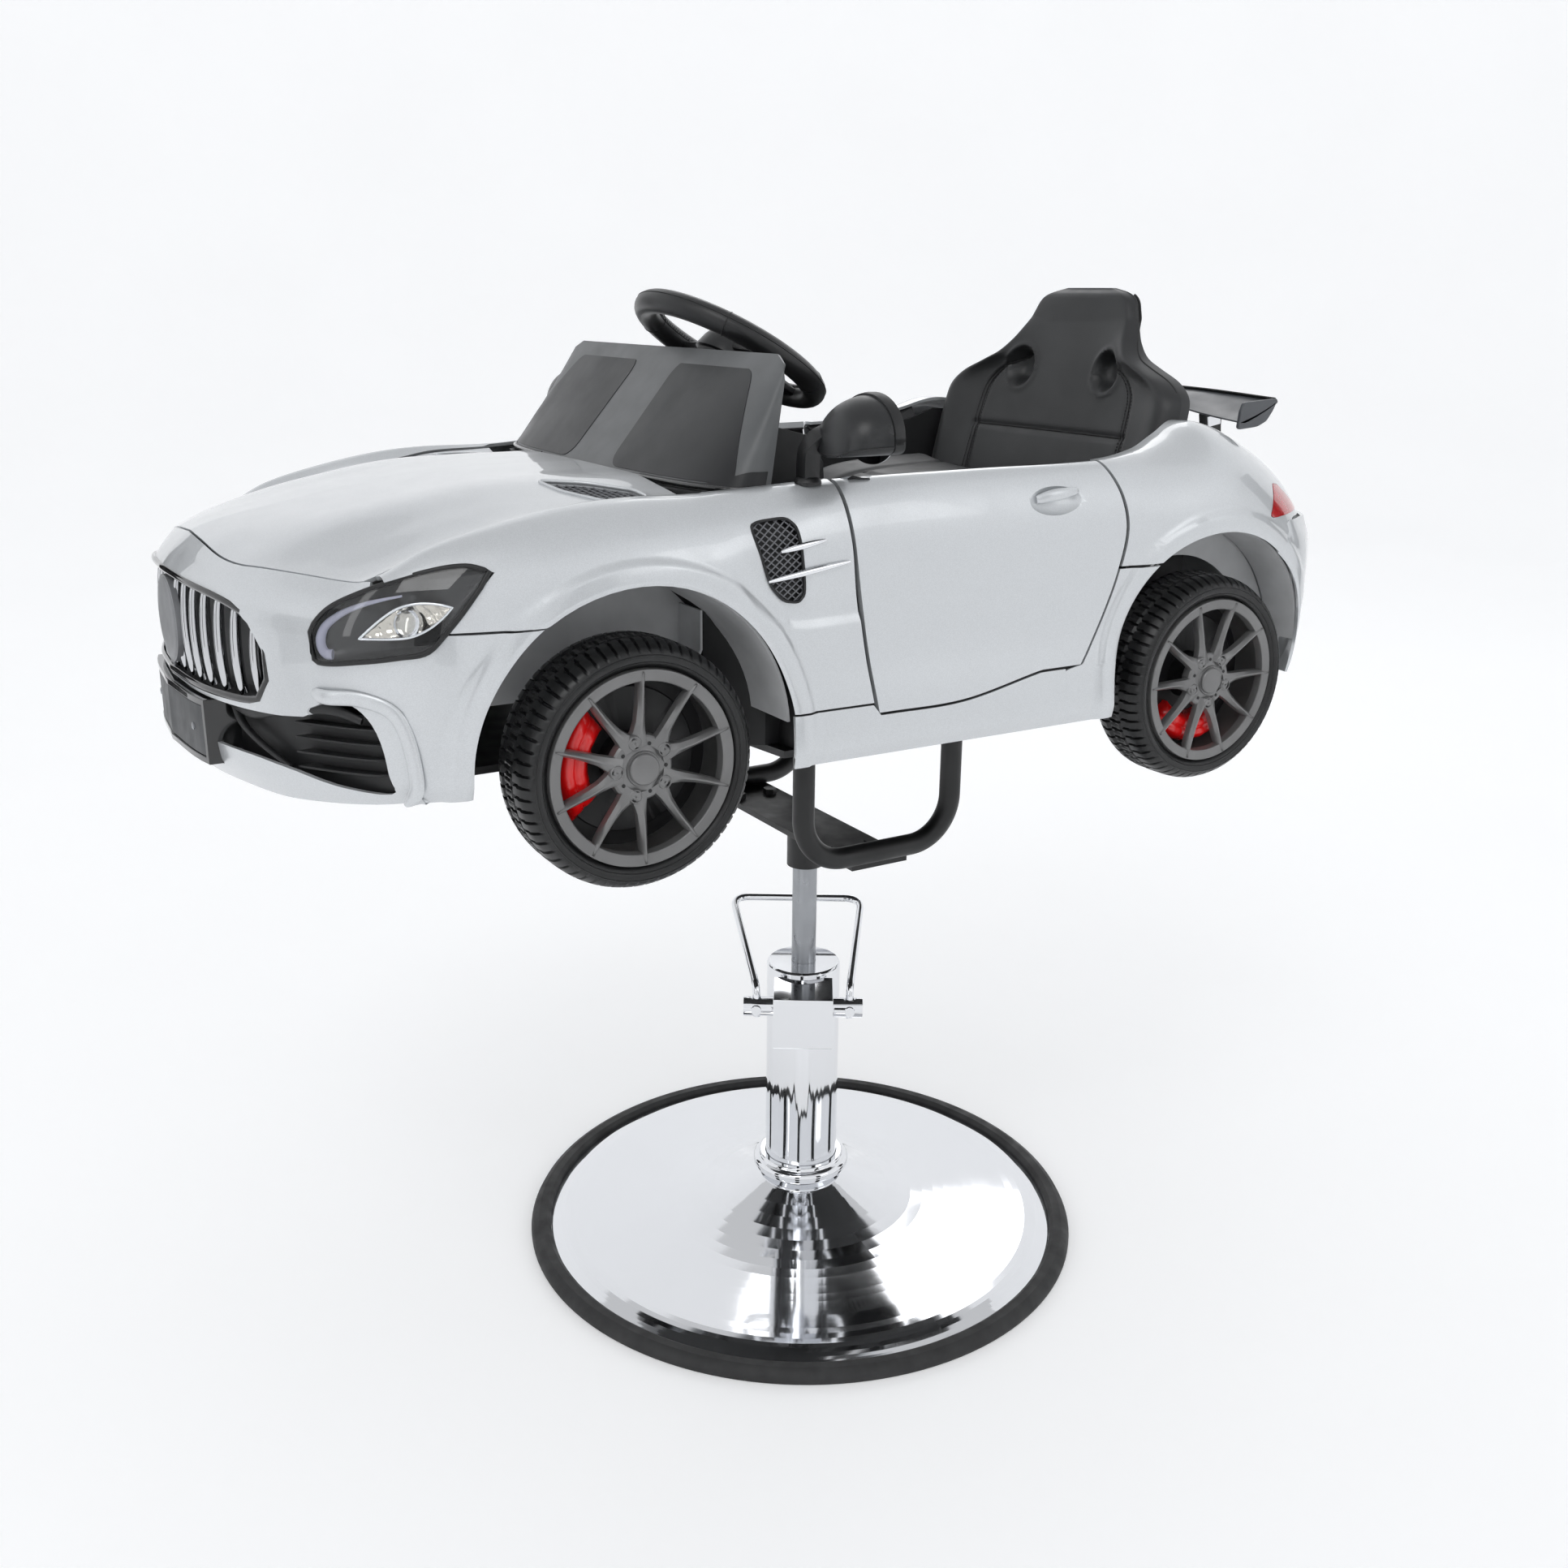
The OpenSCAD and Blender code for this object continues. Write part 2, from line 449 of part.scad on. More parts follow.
module flange_plate() color("#3c3d40") {
    z = dome_z(flange_r) - dome_t - flange_t - seat_gap;
    difference() {
        translate([0, 0, z]) cylinder(r = flange_r, h = flange_t);
        translate([0, 0, z - over]) cylinder(d = cover_d + 2*run_fit, h = flange_t + 2*over);
    }
    for (a = [45:90:315]) rotate([0, 0, a]) translate([flange_r*0.78, 0, z - flange_t*1.2])
        cylinder(d = flange_t*2.6, h = flange_t*1.2, $fn = 6);
}

collar_h = 16;
module base_collar() color("#e2e4e6")
    translate([0, 0, dome_h + seat_gap]) rotate_extrude($fn = 96)
        polygon([for (p = [[0, 0], [0.82, 0], [1, 0.22], [1, 0.55], [0.82, 0.72], [0.55, 0.78], [0.45, 1],
                           [0, 1]])
            [cover_d/2 + run_fit + p[0]*(collar_d - cover_d)/2, p[1]*collar_h]]);

bush_h = 14;
module pump_cover() color("#e2e4e6")
    difference() {
        rotate_extrude($fn = 96)
            polygon([[cover_d/2 - cover_t, ring_h], [cover_d/2, ring_h], [cover_d/2, cover_top - cover_t],
                     [cover_d/2 - cover_t, cover_top], [rod_d/2 + run_fit, cover_top],
                     [rod_d/2 + run_fit, cover_top - bush_h], [cover_d/2 - cover_t, cover_top - bush_h]]);
        pump_turned() translate([0, -pump_front, shaft_z - block_drop/2])
            cube([plunger_d + 2*over, block_w, plunger_d], center = true);
    }

plunger_d = 14;
block_drop = 36;
block_rise = 18;
block_reach = shaft_out + shaft_d/2 + 13;
module pump_turned() {
    rotate([0, 0, pump_azimuth]) children();
}
module pump_block() color("#e2e4e6")
    pump_turned() difference() {
        translate([block_w/2, 0, 0]) rotate([0, -90, 0]) linear_extrude(block_w)
            polygon([for (p = [[-block_drop, 0.42], [-block_drop, 1], [block_rise*0.97, 1], [block_rise, 0.95],
                               [block_rise*1.28, 0.42]]) [shaft_z + p[0], -block_reach*p[1]]]);
        translate([0, 0, shaft_z - 2*block_drop]) cylinder(d = cover_d + 2*seat_gap, h = 4*block_drop);
        translate([-block_w, -shaft_out, shaft_z]) rotate([0, 90, 0])
            cylinder(d = shaft_d + 2*run_fit, h = 2*block_w);
    }

cylinder_d = 56;
module inner_cylinder() color("#6d7075")
    translate([0, 0, ring_h]) difference() {
        cylinder(d = cylinder_d, h = cover_top - bush_h - seat_gap - ring_h);
        translate([0, 0, flange_t]) cylinder(d = piston_d + 2*run_fit, h = cover_top);
    }

module lever_shaft() color("#e2e4e6")
    pump_turned() {
        translate([-shaft_l/2, -shaft_out, shaft_z]) rotate([0, 90, 0]) difference() {
            cylinder(d = shaft_d, h = shaft_l);
            for (x = [loop_foot_x, shaft_l - loop_foot_x]) translate([-shaft_d, 0, x]) rotate([0, 90, 0])
                cylinder(d = loop_d + 2*run_fit, h = 2*shaft_d);
        }
        for (way = [-1, 1]) translate([way*(shaft_l/2 - loop_foot_x), -shaft_out - shaft_d*0.46, shaft_z])
            rotate([90, 0, 0]) cylinder(d = shaft_d*0.5, h = shaft_d*0.16);
    }
loop_foot_x = 13;

// The foot loop: up from both ends of the shaft, splayed, then back over and behind the rod
loop_reach = 150;
loop_rise = 62;
loop_half = 70;
loop_skew = 8;
loop_route = [[-shaft_l/2 + loop_foot_x, -shaft_out, shaft_z - shaft_d*0.55],
              [-shaft_l/2 + loop_foot_x, -shaft_out, shaft_z + shaft_d],
              [-loop_half - loop_skew, -shaft_out + loop_reach*0.9, shaft_z + loop_rise*0.97],
              [-loop_half*0.86 - loop_skew, -shaft_out + loop_reach, shaft_z + loop_rise],
              [loop_half*0.86 - loop_skew, -shaft_out + loop_reach, shaft_z + loop_rise],
              [loop_half - loop_skew, -shaft_out + loop_reach*0.9, shaft_z + loop_rise*0.97],
              [shaft_l/2 - loop_foot_x, -shaft_out, shaft_z + shaft_d],
              [shaft_l/2 - loop_foot_x, -shaft_out, shaft_z - shaft_d*0.55]];
module rod_between(a, b, r) {
    d = b - a;
    translate(a) rotate([0, acos(d[2]/norm(d)), atan2(d[1], d[0])]) cylinder(r = r, h = norm(d));
}
// Bends are balls a little thicker than the rod
ball = 1.3;
module bent_rod(route, r) {
    for (i = [0:len(route) - 2]) rod_between(route[i], route[i + 1], r);
    for (i = [1:len(route) - 2]) translate(route[i]) sphere(r = r*ball);
}
module foot_loop() color("#e2e4e6")
    pump_turned() bent_rod(loop_route, loop_d/2);

piston_d = 44;
piston_h = 34;
piston_z = ring_h + flange_t + 92;
spigot_d = 12;
spigot_h = 16;
module piston_head() color("#8a8d92")
    translate([0, 0, piston_z]) {
        cylinder(d = piston_d, h = piston_h);
        cylinder(d = spigot_d, h = piston_h + spigot_h);
    }

module lift_rod() color("#e2e4e6")
    difference() {
        translate([0, 0, piston_z + piston_h]) cylinder(d = rod_d, h = cross_z - piston_z - piston_h);
        translate([0, 0, piston_z + piston_h - over])
            cylinder(d = spigot_d + 2*run_fit, h = spigot_h + 2*over);
    }

module socket_plate() color("#1d1d1f")
    difference() {
        union() {
            translate([0, 0, boss_z]) cylinder(d = boss_d, h = boss_h);
            translate([-cross_plate_l/2, -cross_plate_w/2, cross_z])
                cube([cross_plate_l, cross_plate_w, cross_plate_t]);
        }
        translate([0, 0, boss_z - over]) cylinder(d = rod_d + 2*run_fit, h = boss_h + over);
        for (way = [-1, 1]) for (y = [-1, 1])
            translate([way*tube_spread*0.36, tube_shift + y*cross_plate_w*0.3, cross_z - over])
                cylinder(d = tube_d*0.36, h = cross_plate_t + 2*over);
    }

// A U of tube under each side of the car, with a foot plate under the pan on each leg
bend_r = 44;
tube_shift = -4;
tube_z = cross_z + cross_plate_t + tube_d/2;
foot_t = 3;
leg_top = pan_z - foot_t;
module u_tube(x) {
    half = tube_leg_spread/2;
    translate([x, tube_shift, 0]) {
        translate([0, half - bend_r, tube_z]) rotate([90, 0, 0])
            cylinder(d = tube_d, h = tube_leg_spread - 2*bend_r);
        for (way = [-1, 1]) {
            translate([0, way*half, tube_z + bend_r]) cylinder(d = tube_d, h = leg_top - tube_z - bend_r);
            translate([0, way*(half - bend_r), tube_z + bend_r]) rotate([0, 90, 0])
                rotate([0, 0, way > 0 ? 0 : -90]) rotate_extrude(angle = 90)
                    translate([bend_r, 0]) circle(d = tube_d);
            translate([-tube_d*0.8, way*half - tube_d*0.8, leg_top]) cube([tube_d*1.6, tube_d*1.6, foot_t]);
        }
    }
}
module left_tube() color("#1d1d1f") u_tube(tube_spread/2);
module right_tube() color("#1d1d1f") u_tube(-tube_spread/2);

// Saddle bolts that hold the tubes on the cross plate
module frame_bolts() color("#2a2a2c")
    for (way = [-1, 1]) for (y = [-1, 1])
        translate([way*tube_spread*0.36, tube_shift + y*cross_plate_w*0.3, 0]) {
            translate([0, 0, cross_z + cross_plate_t]) cylinder(d = tube_d*0.7, h = tube_d*0.3, $fn = 6);
            translate([0, 0, cross_z - tube_d*0.15])
                cylinder(d = tube_d*0.36 - 2*run_fit, h = cross_plate_t + tube_d*0.3);
        }

// Chassis pan in plan, as shares of half_w and of the car's length
pan_share = [[0.56, 0.13], [0.56, 0.395], [0.84, 0.405], [0.84, 0.695], [0.54, 0.705],
             [0.54, 0.94], [0.66, 0.945], [0.66, 0.958]];
function both_sides(p) =
    concat([for (q = p) [q[0], q[1]]], [for (i = [len(p) - 1:-1:0]) [-p[i][0], p[i][1]]]);
pin_x = half_w*0.69;
pin_r = axle_d/2;
knuckle_h = 30;
knuckle_r = axle_d*0.9;
arm_l = 45;
bridge_z = pan_z + pan_t + knuckle_h + 2*seat_gap;
tie_y = front_axle_y + arm_l;
tower_w = 30;
module chassis_pan() color("#232325")
    difference() {
        union() {
            translate([0, 0, pan_z]) linear_extrude(pan_t) polygon(both_sides(concat(
                [for (k = [0:0.13:0.52]) [k*half_w, nose_plan_y(k*half_w) + insert_in + skin_t*0.4]],
                [for (p = pan_share) [p[0]*half_w, y_at(p[1])]])));
            mirror_pair() {
                // King pin brackets
                translate([pin_x, front_axle_y, pan_z]) cylinder(r = knuckle_r*1.5, h = pan_t);
                translate([half_w*0.5, front_axle_y - knuckle_r, pan_z])
                    cube([pin_x - half_w*0.5, 2*knuckle_r, pan_t]);
                translate([pin_x, front_axle_y, bridge_z]) cylinder(r = knuckle_r*1.5, h = pan_t);
                translate([half_w*0.5, front_axle_y - knuckle_r, bridge_z])
                    cube([pin_x - half_w*0.5, 2*knuckle_r, pan_t]);
                translate([half_w*0.5, front_axle_y - knuckle_r, pan_z])
                    cube([pan_t, 2*knuckle_r, bridge_z - pan_z + pan_t]);
                // Rear axle brackets
                translate([half_w*0.48, rear_axle_y - tower_w/2, pan_z])
                    cube([pan_t*1.5, tower_w, axle_lift + tower_w]);
            }
        }
        mirror_pair() {
            translate([pin_x, front_axle_y, pan_z - over])
                cylinder(r = pin_r + run_fit, h = bridge_z - pan_z + 2*pan_t);
        }
        translate([-half_w, rear_axle_y, axle_z]) rotate([0, 90, 0])
            cylinder(d = axle_d + 2*run_fit, h = body_w);
    }

module rear_axle() color("#8a8d92")
    translate([-wheel_span/2 + hub_depth, rear_axle_y, axle_z]) rotate([0, 90, 0])
        cylinder(d = axle_d, h = wheel_span - 2*hub_depth);

hub_depth = 14;
tie_t = 4;
tie_w = 16;
arm_gap = 2;
arm_z = pan_z + pan_t + arm_gap;
tie_pin_d = 6;
module knuckle() {
    translate([pin_x, front_axle_y, 0]) {
        translate([0, 0, pan_z + pan_t + seat_gap]) cylinder(r = knuckle_r, h = knuckle_h);
        translate([0, 0, pan_z]) cylinder(r = pin_r, h = bridge_z - pan_z + pan_t);
        translate([0, 0, axle_z]) rotate([0, 90, 0])
            cylinder(d = axle_d, h = wheel_span/2 - hub_depth - pin_x);
        translate([-knuckle_r*0.6, 0, arm_z + tie_t + 2*seat_gap]) cube([knuckle_r*1.2, arm_l, tie_t]);
        translate([0, arm_l, arm_z + tie_t + 2*seat_gap]) cylinder(r = knuckle_r*0.6, h = tie_t);
        translate([0, arm_l, arm_z]) cylinder(d = tie_pin_d, h = 2*tie_t);
    }
}
module left_knuckle() color("#7d8085") knuckle();
module right_knuckle() color("#7d8085") mirror([1, 0, 0]) knuckle();

// The tie rod, with a slot round each arm pin and a fork round the column's crank pin
slot_y = 6;
module tie_rod() color("#7d8085")
    translate([0, tie_y, arm_z]) difference() {
        union() {
            translate([-pin_x - tie_w*0.6, -tie_w/2, 0]) cube([2*pin_x + tie_w*1.2, tie_w, tie_t]);
            for (way = [-1, 1]) translate([way*(fork_gap + tie_t/2) - tie_t/2, -tie_w/2, 0])
                cube([tie_t, tie_w, fork_h]);
        }
        for (way = [-1, 1]) translate([way*pin_x - tie_pin_d/2 - seat_gap, -slot_y, -over])
            cube([tie_pin_d + 2*seat_gap, 2*slot_y, tie_t + 2*over]);
    }

// Steering wheel and column, leaning back from the upright
steer_lean = 30;
steer_at = [0, nose_y + car_length*0.4817, belt_z + 86];
grip_r = grip_d/2;
rim_mid_r = steer_d/2 - grip_r;
column_d = 16;
crank_d = 8;
crank_r = 17.5;
crank_room = 34;
column_l = (steer_at[2] - arm_z - tie_t - crank_room)/cos(steer_lean);
crank_lift = 12;
fork_play = 2.2;
fork_gap = crank_d/2 + fork_play;
fork_h = 40;
module steer_frame() {
    translate(steer_at) rotate([-steer_lean, 0, 0]) children();
}
module steering_wheel() color("#161617")
    steer_frame() {
        rotate_extrude($fn = 96) translate([rim_mid_r, 0]) circle(r = grip_r);
        difference() {
            union() {
                translate([0, 0, -grip_r]) cylinder(r1 = steer_d*0.16, r2 = steer_d*0.13, h = 2*grip_r);
                for (a = [0, 90, 180]) rotate([0, 0, a]) translate([steer_d*0.1, 0, -grip_r*0.5])
                    linear_extrude(grip_r) polygon([[0, -steer_d*0.07], [rim_mid_r - steer_d*0.1, -steer_d*0.045],
                        [rim_mid_r - steer_d*0.1, steer_d*0.045], [0, steer_d*0.07]]);
            }
            translate([0, 0, -grip_r - over]) cylinder(d = column_d + 2*run_fit, h = grip_r + over);
        }
    }
module steering_column() color("#3a3b3e")
    steer_frame() {
        translate([0, 0, -column_l]) cylinder(d = column_d, h = column_l);
        translate([0, 0, -column_l - crank_lift]) {
            cylinder(d = column_d, h = crank_lift);
            translate([0, crank_r, 0]) cylinder(d = column_d*0.8, h = tie_t);
            translate([-column_d*0.3, 0, 0]) cube([column_d*0.6, crank_r, tie_t]);
            translate([0, crank_r, -crank_lift]) cylinder(d = crank_d, h = crank_lift + tie_t);
        }
    }

// Cockpit tub: an open liner, low at the doors, with a pedestal under the seat
tub_share = [[0.655, 0.36], [0.76, 0.40], [0.755, 0.70], [0.70, 0.76], [0.67, 0.83], [0.662, 0.862],
             [0.56, 0.89], [0.2, 0.89]];
tub_rim_share = [[0.70, 0.745], [0.74, 0.71], [0.78, 0.685], [0.81, 0.672]];
tub_wall_share = [[0.35, 0.93], [0.70, 0.955], [0.80, 1.02], [0.83, 1.07], [0.90, 1.057]];
tub_t = 4;
tub_floor_z = pan_z + pan_t + seat_gap;
shelf_share = [[0.56, 0.3385], [0.72, 0.352], [0.805, 0.385], [0.805, 0.405], [0.70, 0.405], [0.66, 0.3645]];
module tub_outline(inset) {
    polygon(both_sides([for (p = tub_share)
        [p[0]*half_w - inset, y_at(p[1]) + (p[1] < 0.5 ? inset : p[1] > 0.84 ? -inset : 0)]]));
}
module cockpit_tub() color("#1f1f21")
    difference() {
        union() {
            difference() {
                intersection() {
                    translate([0, 0, tub_floor_z]) linear_extrude(body_h*1.3) tub_outline(0);
                    translate([-half_w, 0, 0]) rotate([90, 0, 90]) linear_extrude(body_w)
                        polygon(concat([for (p = tub_wall_share) [y_at(p[0]), lift(p[1])]],
                                       [[y_at(0.9), tub_floor_z - over],
                                        [y_at(0.35), tub_floor_z - over]]));
                }
                translate([0, 0, tub_floor_z + tub_t]) linear_extrude(body_h*1.4) tub_outline(tub_t);
            }
            pedestal(0, cushion_back_y, cushion_z - seat_gap);
            pedestal(0, seat_y + tub_t*2, back_low - seat_gap, cushion_back_y + seat_gap);
            mirror_pair() for (place = hinge_lug_share) hinge_lug(place);
            mirror_pair() {
                // Ribs that carry the skirts, fenders and quarters
                body_rib(0.415, 0.75, 0.01, 0.68);
                body_rib(0.722, 0.728, 0.46, 0.68);
                // Rim between the wall and the quarter
                skin([for (p = tub_rim_share) let (s = p[0], y = y_at(s))
                    [[p[1]*half_w, y, lift(curve(s, tub_wall_share)) - tub_t],
                     [crown_x(s)*quarter_top(s) + tub_t, y, lift(crown_z(s)) - skin_t - tub_t*0.25]]], skin_t);
            }
            // Shelf under the windscreen
            translate([0, 0, shelf_z - tub_t]) linear_extrude(2*tub_t)
                polygon(both_sides([for (p = shelf_share) [p[0]*half_w, y_at(p[1])]]));
        }
        pedestal(tub_t, seat_y + tub_t*2, cushion_z - seat_gap);
        mirror_pair() translate([half_w*0.70, y_at(0.46), lift(0.42)])
            cube([half_w*0.2, car_length*0.22, body_h]);
        steer_frame() translate([0, 0, -2*column_l]) cylinder(d = column_d*1.5, h = 2*column_l);
        translate([-half_w, rear_axle_y, axle_z]) rotate([0, 90, 0]) cylinder(d = axle_d*1.5, h = body_w);
    }
// The box under the seat, also its hollow
module pedestal(inset, rear, top, front = cushion_front_y) {
    translate([-seat_w*0.44 + inset, front + inset, inset > 0 ? tub_floor_z - over : tub_floor_z])
        cube([seat_w*0.88 - 2*inset, rear - front - 2*inset, top - tub_floor_z - inset + (inset > 0 ? over : 0)]);
}
module body_rib(s, inner, low, high) {
    translate([0, y_at(s) + tub_t/2, 0]) rotate([90, 0, 0]) linear_extrude(tub_t)
        polygon(concat([[half_w*inner, lift(high)], [half_w*inner, lift(low)]],
                       [for (t = steps(6)) let (h = lerp(low, high, t)) [flank_x(s, h) - skin_t - 1.5*seat_gap, lift(h)]]));
}
module hinge_lug(place) {
    p = lerp(hinge_low, hinge_top, place);
    along_hinge(place) {
        cylinder(r = barrel_r, h = lug_h);
        cylinder(r = hinge_pin_r, h = lug_h + barrel_h*0.8);
    }
    translate([half_w*0.76 - tub_t, p[1] - barrel_r*0.3, p[2] + lug_h*0.15])
        cube([p[0] - half_w*0.76 + tub_t, barrel_r*1.2, lug_h*0.7]);
}

module side_door() {
    difference() {
        union() {
            skin(door_grid, door_t);
            for (place = hinge_lug_share) along_hinge(place) translate([0, 0, lug_h + seat_gap])
                cylinder(r = barrel_r, h = barrel_h);
        }
        for (place = hinge_lug_share) along_hinge(place) {
            cylinder(r = hinge_pin_r + run_fit, h = lug_h + barrel_h + over);
            translate([0, 0, -seat_gap]) cylinder(r = barrel_r + seat_gap, h = lug_h + 2*seat_gap);
            translate([-3*barrel_r, -barrel_r, -over])
                cube([3*barrel_r, 2.4*barrel_r, lug_h + 2*over]);
        }
        translate(handle_at) rotate([0, 90, 0]) handle_cut();
    }
    translate(handle_at) rotate([0, 90, 0]) translate([0, -handle_l*0.42, -handle_h*0.2])
        linear_extrude(handle_h*0.16) polygon([for (p = [[-0.2, 0], [0.08, 0], [0.14, 0.5], [0.05, 0.84],
            [-0.1, 0.84], [-0.24, 0.5]]) [p[0]*handle_h, p[1]*handle_l]]);
}
handle_l = 54;
handle_h = 26;
handle_sink = 2;
handle_at = [flank_x(0.641, 0.89) - handle_sink, y_at(0.641), lift(0.89)];
module handle_cut() {
    linear_extrude(2*handle_h) scale([handle_h/handle_l, 1]) circle(d = handle_l, $fn = 12);
}
module left_door() color("#c9cdd2") side_door();
module right_door() color("#c9cdd2") mirror([1, 0, 0]) side_door();

// Body panels
module front_cut(points) {
    translate([0, nose_y + half_w*0.6, 0]) rotate([90, 0, 0]) linear_extrude(half_w)
        polygon([for (p = points) [p[0]*half_w, lift(p[1])]]);
}
function mirrored(p) = concat(p, [for (i = [len(p) - 1:-1:0]) [-p[i][0], p[i][1]]]);
function grille_outline(grow) = mirrored(concat(
    [for (k = [0, 0.15, 0.3, 0.42, 0.49, 0.54, 0.567]) [k + grow*(k > 0.4 ? 1 : 0), curve(k, grille_top_share) + grow]],
    [for (k = [0.567, 0.54, 0.5, 0.35, 0.2, 0]) [k + grow*(k > 0.4 ? 1 : 0), curve(k, grille_low_share) - grow]]));
module lamp_shape(grow) {
    n = 14;
    polygon(concat(
        [for (i = [0:n]) let (t = i/n) [lamp_w*(lamp_left_share + t) + grow*(2*t - 1),
                                        lamp_w*curve(t, lamp_top_share) + grow]],
        [for (i = [n - 1:-1:1]) let (t = i/n) [lamp_w*(lamp_left_share + t) + grow*(2*t - 1),
                                               lamp_w*curve(t, lamp_low_share) - grow]]));
}
module in_lamp() {
    multmatrix([[lamp_across[0], lamp_up[0], lamp_normal[0], lamp_place[0]],
                [lamp_across[1], lamp_up[1], lamp_normal[1], lamp_place[1]],
                [lamp_across[2], lamp_up[2], lamp_normal[2], lamp_place[2]],
                [0, 0, 0, 1]]) children();
}
module lamp_cut() {
    in_lamp() translate([0, 0, -lamp_w*0.35]) linear_extrude(lamp_w*0.7) lamp_shape(0);
}
module front_bumper() color("#c9cdd2")
    difference() {
        skin(bumper_grid, skin_t);
        front_cut(grille_outline(0));
        front_cut(mirrored(opening_share));
        mirror_pair() lamp_cut();
        holder_block(seat_gap, -2*skin_t, insert_in - seat_gap);
    }

backing_in = 18;
function nose_row(k0, inset, h, n = 14) =
    [for (t = steps(n)) let (x = lerp(-k0, k0, t)*half_w) [x, nose_plan_y(x) + inset, lift(h)]];
module grille_backing() color("#0e0e0f")
    intersection() {
        skin([for (h = [0.24, 0.5, 0.8]) nose_row(0.66, backing_in, h)], skin_t);
        front_cut(grille_outline(0.03));
    }

bar_count = 15;
grille_rim_share = 0.012;
bar_w = 4;
module grille_bars() color("#dfe1e4") {
    for (i = [0:bar_count - 1]) {
        x = lerp(-0.515, 0.515, i/(bar_count - 1))*half_w;
        k = abs(x)/half_w;
        low = lift(curve(k, grille_low_share) + grille_rim_share);
        high = lift(curve(k, grille_top_share) - grille_rim_share);
        nose_band(x - bar_w/2, x + bar_w/2, backing_in*0.25, backing_in - seat_gap, low, high, 1);
    }
    translate([0, nose_y + backing_in*0.3, lift(0.5)]) rotate([90, 0, 0])
        cylinder(d = disc_d, h = backing_in*0.25);
}

plate_w = 176;
plate_h = 50;
insert_in = backing_in + skin_t*1.35 + seat_gap;
// A block between two lines parallel to the nose
module nose_band(x0, x1, front, back, low, high, n = 8) {
    translate([0, 0, low]) linear_extrude(high - low)
        polygon(concat([for (t = steps(n)) let (x = lerp(x0, x1, t)) [x, nose_plan_y(x) + front]],
                       [for (t = steps(n)) let (x = lerp(x1, x0, t)) [x, nose_plan_y(x) + back]]));
}
plate_z = lift(0.06);
module holder_block(grow, front, back) {
    w = plate_w/2 + grow;
    nose_band(-w, w, front, back, plate_z - grow, plate_z + plate_h + grow);
}
module lower_insert() color("#111112") {
    skin([for (h = [0.035, 0.2, 0.41]) nose_row(0.84, insert_in, h)], skin_t);
    // Plate holder with a sunk face
    difference() {
        holder_block(0, -skin_t, insert_in + skin_t*0.5);
        holder_block(-plate_h*0.09, -2*skin_t, -skin_t*0.5);
    }
    // Louvres in the side intakes
    mirror_pair() for (h = [0.14, 0.21, 0.28])
        nose_band(half_w*0.6, half_w*0.79, insert_in*0.45, insert_in + skin_t*0.4, lift(h), lift(h) + skin_t, 3);
}

vent_share = [[0.417, 0.252], [0.55, 0.262], [0.67, 0.284], [0.705, 0.302], [0.655, 0.315], [0.575, 0.312],
              [0.48, 0.288]];
module hood_vent_cut(grow) {
    translate([0, 0, lift(0.8)]) linear_extrude(body_h*0.4)
        polygon([for (p = vent_share) [(p[0] + grow*sign(p[0] - 0.58))*half_w,
                                       y_at(p[1]) + grow*half_w*sign(p[1] - 0.285)]]);
}
module hood() color("#c9cdd2")
    difference() {
        skin(hood_grid, skin_t);
        mirror_pair() hood_vent_cut(0);
    }

side_vent_share = [[0.358, 0.86], [0.366, 0.875], [0.389, 0.882], [0.398, 0.845], [0.403, 0.62],
                   [0.397, 0.59], [0.384, 0.60], [0.372, 0.66]];
module side_vent_cut(grow) {
    translate([half_w*0.8, 0, 0]) rotate([90, 0, 90]) linear_extrude(half_w*0.4)
        polygon([for (p = side_vent_share) [y_at(p[0]) + grow*sign(p[0] - 0.385), lift(p[1]) + grow*sign(p[1] - 0.7)]]);
}
module fender() {
    difference() {
        skin(fender_grid, skin_t);
        lamp_cut();
        side_vent_cut(0);
    }
}
module left_fender() color("#c9cdd2") fender();
module right_fender() color("#c9cdd2") mirror([1, 0, 0]) fender();

mesh_sink = 4;
module vent_meshes() color("#3a3c40")
    mirror_pair() {
        intersection() {
            translate([0, 0, -skin_t*1.2 - seat_gap])
                skin([for (r = [0.55, 0.7, 0.85, 1]) [for (q = [0.45:0.11:1]) hood_point(q, r)]],
                     skin_t);
            hood_vent_cut(0.02);
        }
        intersection() {
            translate([-skin_t*1.4 - seat_gap, 0, 0])
                skin([for (a = [0.35, 0.38, 0.41]) [for (h = [0.9, 0.8, 0.7, 0.62, 0.54])
                    flank_point(y_at(a), h)]], skin_t);
            side_vent_cut(mesh_sink);
        }
    }
strip_h = 4;
strip_share = [[[0.383, 0.775], [0.418, 0.79]], [[0.372, 0.68], [0.439, 0.708]]];
module fender_strips() color("#e2e4e6")
    mirror_pair() for (s = strip_share) {
        a = [flank_x(s[0][0], s[0][1]) + seat_gap, y_at(s[0][0]), lift(s[0][1])];
        b = [flank_x(s[1][0], s[1][1]) + seat_gap, y_at(s[1][0]), lift(s[1][1])];
        polyhedron(points = [for (p = [a, b]) for (d = [[0, 0, -strip_h/2], [strip_h*0.7, 0, 0], [0, 0, strip_h/2]])
                                p + d*(p == a ? 1 : 0.5)],
                   faces = [[0, 1, 2], [5, 4, 3], [0, 3, 4], [0, 4, 1], [1, 4, 5], [1, 5, 2], [2, 5, 3], [2, 3, 0]]);
    }

